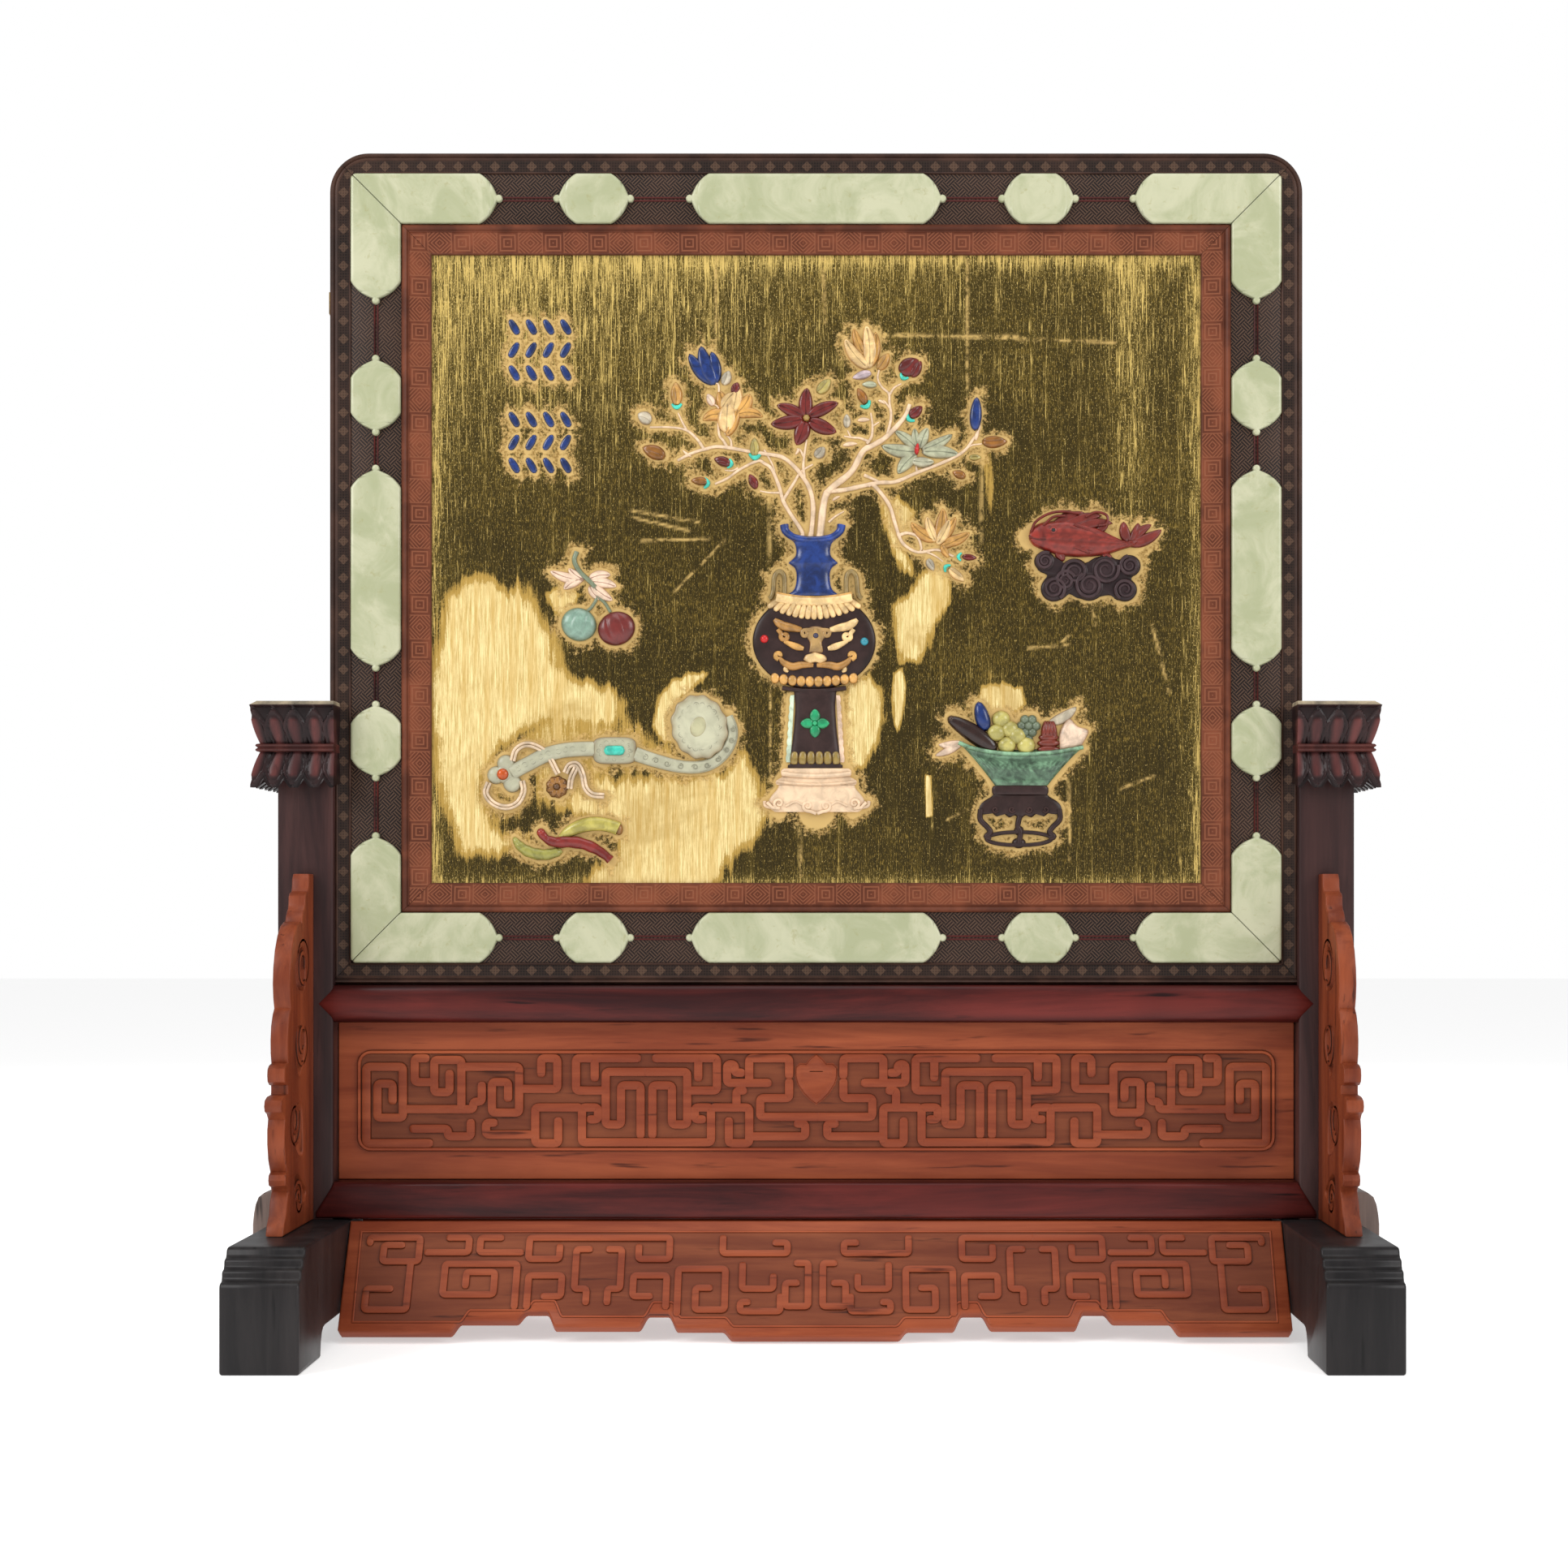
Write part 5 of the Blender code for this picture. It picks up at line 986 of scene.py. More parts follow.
# Fret carving: hooks given as a start in pitches and runs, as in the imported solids
frets = {
    "waistBand": 5.6,
    "apronBand": 4.5,
    "waist": (
        (-45.6, 0, "L7.4 U9 R4.3 D6 L3 U4 R1.8 D2"), (-46, 10, "L1.3 D2.8 R2.3 U2.6 R3.2 D5.6"),
        (-45, 7.2, "D1.2 R1.8 U2.2"), (-48.7, 4, "R8.3 U0.9 R1 U1.9"),
        (-41.8, 9, "R6.8 D5.4 L3.2 U3.6 R1.9 D1.9"), (-47.5, 1.7, "R4.1 D0.9 R2.7 U1.6"),
        (-38, 2.4, "L0.9 D1.4 R5.8"), (-35, 6.4, "R4.5 U3.6 L1.9 D1.8"), (-28, 4.2, "L5.1 D4.2 R2.7 U2.6"),
        (-8.8, 8.3, "L0.8 U1 L0.9 D2.2 R4.8"), (-7.9, 7.1, "U2.9 R4.7 D2"),
        (-3.2, 7.2, "D1.9 L3.4 D2.2 R6.6"), (-12, 4.2, "R4.1 D4.2 L2.4 U2.6"), (-7.9, 0.8, "R6.6 U1.5 L0.9"),
        (-9.4, 4.2, "U2 R0.8"),
    ),
    "waistModule": (
        (-24.8, 6.2, "L3.5 U3.8 R2.2 D2.3"), (-26.1, 10, "R5"), (-20, 8.4, "L4.8 D6.2 R1.8 U4.6 R2.3 D5.8"),
        (-26.6, 2.8, "R0.9 U1.4 L1.9 D4.1 R7.5"),
    ),
    "waistAxis": -20.0,
    "apron": (
        (-55.3, 8.1, "U0.6 R6.2 D2.9 L4.4 U2 R2.2"), (-50, 5.8, "D5.8 L5.1 U2.5 R2.9"),
        (-48.1, 6.9, "R5.1 U1.8 L2.5"), (-36.5, 6.9, "L5.1 U1.8 R2.5"),
        (-36.8, 0.4, "U5.1 L8.9 D3.7 R6.2 U2.7 L3.5 D1.6"), (-16.9, -0.4, "U5.3 R5.8 D4.9 L3.6 U2.6 R1.7"),
        (-11.5, 8.7, "D1.9 R8 U1.3 L1.5"), (-9, 5.4, "D2.9 R3.8 U1.5"), (-8.3, 0.9, "L0.9 D1.1 R4.9 U1.8"),
        (-2.3, 5.6, "R1.4 D5.2 L2.8 U2.8 R1.4"),
    ),
    "apronModule": (
        (-26.8, 8.7, "L8.7 D2.6 R3.8 U1.5"), (-35.3, 0.4, "U3.7 R4.1 D2.5 L2.1"),
        (-28, 7.3, "L1.6 D4.8 R1.5 D1.6"),
    ),
    "apronAxis": -26.8,
}


def hookPath(column, row, runs):
    steps = {"L": (-1, 0), "R": (1, 0), "U": (0, 1), "D": (0, -1)}
    moves = np.array([np.array(steps[run[0]]) * float(run[1:]) for run in runs.split()])
    corners = np.vstack([(column, row), np.array((column, row)) + np.cumsum(moves, 0)])
    return corneredPath(corners, 0.4, 4)


def fretPaths(hooks, module, axis):
    half = [hookPath(*hook) for hook in hooks + module]
    half += [hookPath(*hook) * (-1, 1) + (2 * axis, 0) for hook in module]
    return half + [path * (-1, 1) for path in half]


def plateForm(outline, layers, tint=(1, 1, 1)):
    # rings of an outline: (inset, depth out of the plane)
    rings = [np.c_[insetOutline(outline, inset), np.full(len(outline), out)] for inset, out in layers]
    return solidGrid(np.array(rings), tint)


def closedRidge(outline, width, height, tint):
    # a bead that runs round an outline: place across in widths, rise and tone of half its section
    # the tone is painted shade: darker at the foot and on the sides than on the crown
    t, h, tone = np.array([(-0.62, -0.3, 0.35), (-0.6, 0.04, 0.35), (-0.5, 0.06, 0.4),
                           (-0.42, 0.75, 0.8), (-0.2, 1.0, 1.1)]).T
    t, h, tone = np.r_[t, -t[::-1]], np.r_[h, h[::-1]], np.r_[tone, tone[::-1]]
    levels = np.where(h > 0, h * height, h)
    grid = np.array([np.c_[insetOutline(outline, width * across), np.full(len(outline), level)]
                     for across, level in zip(t, levels)])
    tints = np.broadcast_to(tone[:, None, None] * np.asarray(tint, float), grid.shape)
    return grid.reshape(-1, 3), gridFaces(*grid.shape[:2], True, True).tolist(), tints.reshape(-1, 3)


def roundedRectangle(halfWidth, low, high, radius, steps=6):
    a = np.linspace(0, np.pi / 2, steps + 1)
    c, s = radius * np.cos(a), radius * np.sin(a)
    x, z0, z1 = halfWidth - radius, low + radius, high - radius
    return np.vstack([np.c_[x + s, z0 - c], np.c_[x + c, z1 + s], np.c_[-x - s, z1 + c], np.c_[-x - c, z0 - s]])


waist = {
    "pitch": 5.06,
    "middle": 136.5,
    "half": 273.5,
    "high": 30.0,
    "corner": 8.0,
    "relief": 1.8,
    "face": 7.0,
    "leaf": (
        (0, 10.5), (0.7, 9.9), (1.2, 9.3), (1.9, 9.35), (2.4, 8.9), (2.45, 8.0), (2.2, 7.0), (1.5, 5.9),
        (0.7, 5.1), (0, 4.6),
    ),
    "leafLayers": ((-0.5, 0.0), (-0.5, 0.06), (0, 0.1), (0.5, 1.5), (1.2, 1.85), (3.2, 1.5), (4.4, 1.1)),
}
fretStep = 0.014  # bands that cross differ a hair in height, so that no two tops lie in one plane


def waistPiece(waist):
    face, pitch, middle, high = [waist[key] for key in ("face", "pitch", "middle", "high")]
    low, top = [np.array(c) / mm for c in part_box("waist_panel")]
    x, z0, z1 = top[0], low[2], top[2]
    outline = np.array([(-x, z0), (x, z0), (x, z1), (-x, z1)])
    first = middle - 5 * pitch
    edge = roundedRectangle(waist["half"] - 1, middle - high + 1, middle + high - 1, waist["corner"] - 1)
    # the sunk ground inside the bead is tinted darker and greener: its own olive tone, with painted shade in the
    # recess
    forms = [plateForm(outline, ((0, -2 * face), (0, -0.4), (0.4, 0.0))), closedRidge(edge, 2.3, 1.95, (1, 1, 1)),
             plateForm(insetOutline(edge, 1.0), ((0, -0.2), (0.1, 0.05)), (0.6, 0.7, 0.72))]
    for k, path in enumerate(fretPaths(frets["waist"], frets["waistModule"], frets["waistAxis"])):
        form = ridge(path * pitch, frets["waistBand"], waist["relief"], (0.95, 0.95, 0.97))
        forms.append(onPlane(form, lambda u, v, h: (u, first + v, h - fretStep * (k % 9))))
    half = np.array(waist["leaf"])
    leafOutline = np.vstack([half, half[1:-1][::-1] * (-1, 1)]) * pitch + (0, first)
    forms.append(plateForm(leafOutline, waist["leafLayers"], (0.9, 0.9, 0.9)))
    forms = [onPlane(form, lambda u, v, h: (u, -face - h, v)) for form in forms]
    makePiece("waist_panel_carved", forms, redWood, ("waist_panel",), 42)


waistPiece(waist)


aprons = {
    "spread": 38.0,
    "bottom": 5.0,
    "top": 67.0,
    "face": 21.2,
    "half": 275.0,
    "layers": ((1.0, -9.0), (0.0, -8.0), (0.0, -1.3), (0.45, -0.4), (1.3, 0.0)),
    "border": {"share": 0.974, "rise": 6.2, "half": 267.5, "drop": -7.5},
    "levels": ((0, 0), (50.7, 4.6), (82.3, 12.6), (99.0, 5.1), (152.6, 13.4), (169.8, 8.4), (207.6, 2.3)),
    "run": 6.0,
    "column": 4.73,
    "row": 4.4,
    "firstRow": 18.8,
    "relief": 1.4,
}


def apronEdge(aprons):
    # lower edge from the middle to the right: level stretches joined by small ogees
    points = []
    t = np.linspace(0, 1, 7)
    for (start, level), (_, before) in zip(aprons["levels"][1:], aprons["levels"][:-1]):
        x = start + (t - 0.5) * aprons["run"]
        points.append(np.c_[x, before + (level - before) * (0.5 - 0.5 * np.cos(np.pi * t)) ** 0.9])
    points.append([(aprons["half"] - 1.5, aprons["levels"][-1][1]), (aprons["half"], aprons["levels"][-1][1] + 1.5)])
    return np.vstack(points)


def apronPieces(aprons):
    rise, top, half, border = aprons["top"] - aprons["bottom"], aprons["top"], aprons["half"], aprons["border"]
    slope = math.atan2(aprons["spread"], rise)
    c, s = math.cos(slope), math.sin(slope)
    height = rise / c
    edge = apronEdge(aprons)
    lower = np.vstack([(edge * (-1, 1))[::-1], edge]) * (1, 1 / c) - (0, height)
    outline = np.vstack([lower, [(half, 0.0), (-half, 0.0)]])
    rim = np.vstack([lower[1:-1] * (border["share"], 1) + (0, border["rise"]),
                     [(border["half"], border["drop"]), (-border["half"], border["drop"])]])
    start = (aprons["firstRow"] - aprons["bottom"]) / c - height
    for name, hand in (("apron_front", -1), ("apron_back", 1)):
        forms = [plateForm(outline, aprons["layers"]), closedRidge(rim, 1.3, 0.7, (1, 1, 1))]
        if hand < 0:
            # the sunk ground inside the bead is tinted darker and greener: its own olive tone, with painted shade in
            # the recess
            forms.append(plateForm(insetOutline(rim, 0.8), ((0, -0.2), (0.1, 0.05)), (0.64, 0.72, 0.74)))
            for k, path in enumerate(fretPaths(frets["apron"], frets["apronModule"], frets["apronAxis"])):
                flat = path * (aprons["column"], aprons["row"] / c)
                form = ridge(flat, frets["apronBand"], aprons["relief"], (0.97, 0.97, 0.98))
                forms.append(onPlane(form, lambda u, v, h: (u, start + v, h - fretStep * (k % 9))))

        def lean(u, v, h):
            y, z = v * s - h * c, v * c + h * s
            return -hand * u, -hand * (y - aprons["face"]), np.minimum(z + top, top)

        makePiece(f"{name}_carved", [onPlane(form, lean) for form in forms], redWood, (name,), 42)


apronPieces(aprons)
print("waist and aprons")


# Standing spandrels: a lobed openwork plate with eased edges and scrolls raised on both faces
spandrels = {
    "size": (75.0, 204.0),
    "lobes": (
        (0.0, 1.0), (0.13, 1.0), (0.165, 0.985), (0.17, 0.965), (0.19, 0.95), (0.25, 0.945), (0.28, 0.935),
        (0.285, 0.915), (0.30, 0.90), (0.345, 0.89), (0.375, 0.875), (0.385, 0.86), (0.44, 0.863),
        (0.54, 0.852), (0.64, 0.825), (0.72, 0.785), (0.77, 0.735), (0.785, 0.69), (0.77, 0.65),
        (0.74, 0.622), (0.79, 0.605), (0.835, 0.575), (0.855, 0.535), (0.85, 0.497), (0.83, 0.472),
        (0.90, 0.468), (0.945, 0.458), (0.955, 0.44), (0.945, 0.422), (0.90, 0.412), (0.84, 0.41),
        (0.835, 0.398), (0.84, 0.386), (0.97, 0.383), (1.035, 0.374), (1.05, 0.357), (1.035, 0.342),
        (0.97, 0.333), (0.93, 0.318), (0.955, 0.29), (0.955, 0.25), (0.925, 0.205), (0.865, 0.172),
        (0.91, 0.165), (0.925, 0.15), (0.91, 0.135), (0.845, 0.128), (0.82, 0.115), (0.87, 0.09),
        (0.90, 0.055), (0.97, 0.03), (1.0, 0.005), (1.0, 0.0), (0.0, 0.0),
    ),
    "holes": (
        (0.42, 0.72, 0.17, 0.062, 60), (0.45, 0.50, 0.20, 0.055, 110), (0.50, 0.27, 0.22, 0.055, 70),
        (0.45, 0.10, 0.20, 0.035, 20),
    ),
    "scrolls": (
        ((0.34, 0.74), 16, 1.5, 20, 1), ((0.36, 0.52), 15, 1.5, 40, -1), ((0.62, 0.30), 15, 1.5, 160, 1),
        ((0.50, 0.08), 11, 1.4, 30, 1),
    ),
    "edge": 0.9,
    "thick": 10.0,
}


def spandrelPieces(spandrels):
    d, h = spandrels["size"]
    rim = np.array(spandrels["lobes"]) * (d, h)
    thick, front = spandrels["thick"], posts["halfDepth"] + gap
    for side, word in ((-1, "left"), (1, "right")):
        for hand, end in ((-1, "front"), (1, "back")):
            curve = bpy.data.curves.new(f"spandrel_{end}_{word}_outline", "CURVE")
            curve.dimensions = "2D"
            curve.fill_mode = "BOTH"
            curve.extrude = (thick / 2 - spandrels["edge"]) * mm
            curve.bevel_depth = spandrels["edge"] * mm
            curve.bevel_resolution = 2
            curve.offset = -spandrels["edge"] * mm
            rings = [rim]
            for y, z, length, width, tilt in spandrels["holes"]:
                a = np.linspace(0, 2 * np.pi, 28, endpoint=False)
                u, v = length * d * np.cos(a), width * h * np.sin(a) * (1 + 0.35 * np.cos(a))
                c, s = math.cos(math.radians(tilt)), math.sin(math.radians(tilt))
                bend = 0.012 * u * u
                rings.append(np.c_[y * d + u * c - (v + bend) * s, z * h + u * s + (v + bend) * c])
            for ring in rings:
                spline = curve.splines.new("POLY")
                spline.points.add(len(ring) - 1)
                spline.points.foreach_set("co", np.c_[ring * mm, np.zeros(len(ring)), np.ones(len(ring))].ravel())
                spline.use_cyclic_u = True
            drawn = bpy.data.objects.new("outline", curve)
            bpy.context.scene.collection.objects.link(drawn)
            bpy.context.view_layer.update()
            flat = bpy.data.meshes.new_from_object(drawn.evaluated_get(bpy.context.evaluated_depsgraph_get()))
            points = np.empty(len(flat.vertices) * 3, np.float32)
            flat.vertices.foreach_get("co", points)
            points = points.reshape(-1, 3) / mm
            faces = [list(p.vertices) for p in flat.polygons]
            bpy.data.objects.remove(drawn)
            forms = [(points, faces, np.ones((len(points), 3)))]
            for (y, z), radius, turns, start, way in spandrels["scrolls"]:
                path = spiral((y * d, z * h), radius, turns, start, way)
                for face in (-1, 1):
                    form = ridge(path, 2.2, 0.55, (1.1, 1.05, 1.0))
                    forms.append(onPlane(form, lambda u, v, w: (u, v, face * (thick / 2 - 0.55 + w))))
            middle = side * (postInner + posts["width"] / 2)
            forms = [onPlane(form, lambda u, v, w: (middle + w, hand * (front + u),
                posts["levels"]["bottom"] + v)) for form in forms]
            makePiece(f"spandrel_{end}_{word}_openwork", forms, uprightRed,
                (f"spandrel_{end}_{word}",), 38)


spandrelPieces(spandrels)
print("spandrels")


# Stone colours of the inlaid picture
stones = {
    "cream": (230, 200, 166),
    "shell": (230, 202, 176),
    "gold": (206, 156, 84),
    "paleGold": (236, 200, 140),
    "brownGold": (150, 98, 40),
    "lapis": (24, 50, 112),
    "turquoise": (66, 200, 178),
    "darkRed": (112, 38, 34),
    "carnelian": (196, 84, 24),
    "coral": (200, 30, 30),
    "olive": (176, 160, 92),
    "greyJade": (178, 180, 150),
    "paleJade": (190, 188, 160),
    "lilac": (206, 186, 190),
    "purple": (54, 38, 36),
    "green": (104, 138, 108),
    "malachite": (40, 158, 104),
    "pearl": (196, 184, 160),
    "grape": (180, 170, 96),
    "bean": (184, 172, 86),
    "eggplant": (46, 26, 20),
    "rust": (120, 48, 34),
    "mist": (104, 116, 94),
    "bluegreen": (132, 162, 144),
}
stones = {name: linear(*rgb) for name, rgb in stones.items()}


def halfTurned(profile, tint, x=0.0, power=0.8):
    # rows (z, half width, height): each section is half an oval lying on the board
    z, w, h = smoothPath(profile, 4).T
    a = np.linspace(0, np.pi, 22)
    px = np.hstack([x + w[:, None] * np.cos(a), x + 0.9 * w[:, None] * (-1.0, 1.0)])
    py = np.hstack([boardY - h[:, None] * np.sin(a) ** power, np.full((len(z), 2), boardY + 0.2)])
    halo(np.c_[np.full(len(z), x), z], np.minimum(w, 9.0))
    for hand in (-1, 1):
        halo(np.c_[x + hand * np.maximum(w - 3.0, 0), z], np.minimum(w, 3.0))
    return solidGrid(np.stack([px, py, np.broadcast_to(z[:, None], px.shape)], -1), tint)


def ball(x, z, radius, tint, height=None, seat=None, lobes=0, count=24, wide=1.0):
    # an oval bead; lobes press grooves from pole to pole
    outline = ellipsePoints(x, z, radius * wide, radius, count)
    if lobes:
        angle = np.arctan2(outline[:, 1] - z, outline[:, 0] - x)
        outline = outline + (outline - (x, z)) * (0.05 * np.cos(lobes * angle))[:, None]
    return dome(outline, 0.3, height or radius * 0.7, tint, 2.0, 7, None, seat)


def bud(x, z, length, width, angle, tint, height=2.6, fold=0.18, blunt=0.7):
    # one closed bud: a main petal and a second one that laps its side
    turn = math.radians(angle)
    along = np.array([math.cos(turn), math.sin(turn)]) * length / 2
    side = np.array([-along[1], along[0]]) / (length / 2)
    base, tip = np.array((x, z)) - along, np.array((x, z)) + along
    shade = np.asarray(tint) * 0.75
    return [
        leaf(base, tip, width, height, tint, 0.0, blunt, fold),
        leaf(base + side * width * 0.12, tip - along * 0.15 + side * width * 0.1, width * 0.55, height * 1.18,
        shade, width * 0.1, blunt, 0.1, ring=False),
    ]


def calyx(x, z, width, angle, tint, height=2.4):
    # a two-pointed cup: a short bowed rod across the bud's base
    turn = math.radians(angle)
    ahead = np.array([math.cos(turn), math.sin(turn)])
    aside = np.array([-ahead[1], ahead[0]])
    t = np.linspace(-1, 1, 9)[:, None]
    path = np.array((x, z)) + aside * t * width / 2 + ahead * (t**2) * width * 0.38
    return rod(path, width * (0.26 - 0.12 * np.abs(t[:, 0])), tint, height / width * 2.2)


vase = {
    "neck": (
        (437, 15.6, 3.4), (438.5, 14.2, 3.8), (441, 11.4, 3.9), (445, 10.2, 3.9), (450, 10.0, 3.9),
        (453.5, 11.0, 4.0), (455.6, 13.6, 4.2), (456.8, 14.6, 4.3), (458, 13.4, 4.1), (461, 10.6, 3.9),
        (465, 10.2, 3.8), (468.5, 11.2, 3.9), (470.6, 13.5, 3.9), (471.6, 14.2, 3.2),
    ),
    "lip": (
        (-19.0, 479.0), (-18.0, 475.2), (-13.5, 471.8), (-7.5, 470.6), (-2.0, 470.3), (3.6, 470.6),
        (9.5, 471.8), (14.0, 475.2), (15.0, 479.0),
    ),
    "handles": (
        (-28.2, 435.4), (-26.6, 436.6), (-25.6, 440), (-25.0, 447.5), (-23.4, 450.8), (-21.6, 451.4),
        (-19.9, 450.4), (-18.9, 447.0), (-18.9, 439), (-19.2, 436.4),
    ),
    "body": (36.6, 28.8, 410.0),
    "column": (
        (334.8, 16.4, 2.4), (336.4, 16.2, 2.7), (337.2, 15.0, 3.0), (343.0, 14.6, 3.3), (350, 13.6, 3.4),
        (360, 12.6, 3.4), (370, 12.0, 3.4), (376, 12.2, 3.4), (380.6, 12.8, 3.2),
    ),
    "stand": (
        (308.5, 25.0, 2.0), (310.5, 27.6, 2.5), (313, 28.6, 2.8), (316, 28.2, 3.0), (319, 26.2, 3.0),
        (322, 23.6, 2.8), (324.4, 22.6, 2.6),
    ),
    "slabs": (
        (324.6, 23.6), (326.4, 24.2), (328.0, 22.8), (329.4, 20.4), (331.0, 20.9), (333.0, 20.9),
        (334.3, 19.6),
    ),
}


def vasePieces(vase):
    neck = [halfTurned(vase["neck"], stones["lapis"], -1.8)]
    lip = smoothPath(vase["lip"], 5)
    radii = 2.0 + 0.7 * np.abs(np.linspace(-1, 1, len(lip))) ** 2
    neck.append(rod(lip, radii, stones["lapis"] * 1.5, 1.2, boardY - 1.0, 12))
    handles = []
    for hand, shift in ((1, 0.0), (-1, -3.4)):
        path = smoothPath(np.array(vase["handles"]) * (hand, 1) + (shift, 0), 4)
        path[:, 0] = np.where(hand < 0, path[:, 0] + 2.4, path[:, 0])
        handles.append(rod(path, 1.5, linear(142, 120, 74), 1.1, boardY - 0.3, 10))
    makePiece("vase_neck_stone", neck, lapisStone, ("vase_neck",), 50)
    makePiece("vase_handles_stone", handles, inlayStone, (), 60)

    # body with its collar, mask relief, beads and lower row of gadroons
    wide, tall, middle = vase["body"]
    x = -1.2
    dark = stones["purple"]
    body = [dome(ellipsePoints(x, middle, wide, tall, 72), 0.8, 3.4, dark, 2.6, 14)]

    def bodyTop(px, pz):
        f = np.sqrt(((px - x) / wide) ** 2 + ((pz - middle) / tall) ** 2)
        return boardY - 0.6 - 3.4 * np.sqrt(np.maximum(1 - np.minimum(f, 0.985) ** 2.6, 0.0))

    gilt = []
    a = np.linspace(-1, 1, 41)
    for low, high, tint, thick in ((432.0, 437.4, stones["paleGold"], 1.5), (436.0, 438.4, stones["gold"], 1.1)):
        z = (low + high) / 2 + 2.6 * a**2 - 1.6
        band = np.c_[x + 22.5 * a, z]
        gilt.append(rod(band, (high - low) / 2, tint, thick / (high - low) * 2, boardY - 2.0, 10, ring=False))
    for i, t in enumerate(np.linspace(-1, 1, 15)):
        inner = np.array((x + 19.5 * t, 431.6 + 3.6 * t * t))
        outer = np.array((x + 27.4 * t, 422.8 + 7.4 * t * t))
        tint = stones["paleGold"] * (1.02 if i % 3 else 0.86)
        gilt.append(leaf(outer - (inner - outer) * 0.06, inner, 4.1, 1.9, tint, 0.0, 0.32, 0.0,
            seat=float(bodyTop(*outer)) + 0.6, lift=0.3, ring=False))
    for t in np.linspace(-1, 1, 10):
        centre = (x + 23.2 * t, 385.9 + 2.2 * t * t)
        gilt.append(dome(ellipsePoints(*centre, 2.75, 3.3, 16), 0.6, 1.5, stones["gold"] * 1.05, 2.0, 5, None,
            float(bodyTop(*centre)) + 0.3, False))
    body.append(rod(np.c_[x + 19 * a, 380.6 + 1.6 * a**2], 1.4, dark * 1.1, 1.2, boardY - 0.8, 8, ring=False))

    def raised(points, radius, tint, tapers):
        # a carved stroke of the mask: a rod that follows the body's swell
        path = smoothPath(points, 5 if tapers else 3)
        t = np.linspace(0, 1, len(path))
        radii = radius * (0.35 + 0.65 * np.sin(np.pi * np.clip(t * 0.86 + 0.1, 0, 1)) if tapers
            else np.ones(len(path)))
        return rod(path, radii, tint, 0.85, float(bodyTop(*path.mean(0))), 9, 0.35, False)

    gold, brown, pale, tan = stones["gold"], linear(176, 128, 66), stones["paleGold"], linear(168, 132, 80)
    # right half of the mask: a path, its step aside, radius, tints on the right and left, tapered or not
    mask = (
        (((8.5, 416.4), (14, 417.6), (19, 418.6), (22.6, 420.8), (24.6, 422.6)), 1, 2.7, pale, brown, True),
        (spiral((18.4, 412.6), 2.8, 1.1, 60, -1, ((22.4, 416.8),), 16)[::2], 1, 1.5, pale, brown, False),
        (((7.2, 405.2), (12.0, 406.6), (18.8, 409.6)), 1, 2.1, pale, gold, True),
        (spiral((6.2, 414.2), 2.3, 1.0, 90, -1, ((1.5, 416.4),), 14)[::2], 1, 1.3, tan, tan, False),
        (((1.0, 395.4), (8, 395.6), (13.4, 394.6), (18.4, 396.8), (21.4, 400.2)), 0.6, 2.4, brown, brown, True),
        (spiral((21.6, 401.2), 2.3, 0.9, -90, 1, (), 12)[::2], 0.6, 1.5, gold, gold, False),
        (((14.8, 396.6), (17.6, 393.2), (16.0, 391.6)), 0.6, 1.5, pale, pale, True),
    )
    for hand in (-1, 1):
        for points, aside, radius, right, left, tapers in mask:
            path = np.array(points) * (hand, 1) + (x + aside, 0)
            gilt.append(raised(path, radius, right if hand > 0 else left, tapers))
    bridge = np.array([(-4, 403), (-3.6, 409), (-6.2, 413.4), (-4.6, 417.4), (0, 418.6), (4.6, 417.4),
        (6.2, 413.4), (3.6, 409), (4, 403)]) + (x + 1, 0)
    top = float(bodyTop(x, 410))
    gilt.append(dome(smoothPath(np.vstack([bridge, bridge[:1]]), 4)[:-1], 0.4, 1.1, linear(172, 138, 86), 3.0,
        6, None, top + 0.2, False))
    nose = smoothPath([(-7, 398.6), (-5.6, 401.4), (-2.6, 402.4), (0, 403.2), (2.6, 402.4), (5.6, 401.4),
        (7, 398.6), (3.6, 396.4), (0, 397.2), (-3.6, 396.4), (-7, 398.6)], 3)[:-1]
    gilt.append(dome(nose + (x + 0.6, 0), 0.5, 1.6, pale, 2.2, 6, None, top + 0.2, False))
    beads = [
        ball(-0.2, 412.9, 1.9, linear(52, 48, 70), 2.1, top + 0.1, count=16),
        ball(-30.7, 411.2, 2.6, stones["coral"], 2.4, boardY - 1.9, count=18),
        ball(28.6, 409.7, 2.5, linear(60, 160, 180), 2.4, boardY - 2.0, count=18),
    ]
    makePiece("vase_body_stone", body, darkInlay, ("vase_body",), 55)
    makePiece("vase_body_relief", gilt + beads, inlayStone, (), 55)

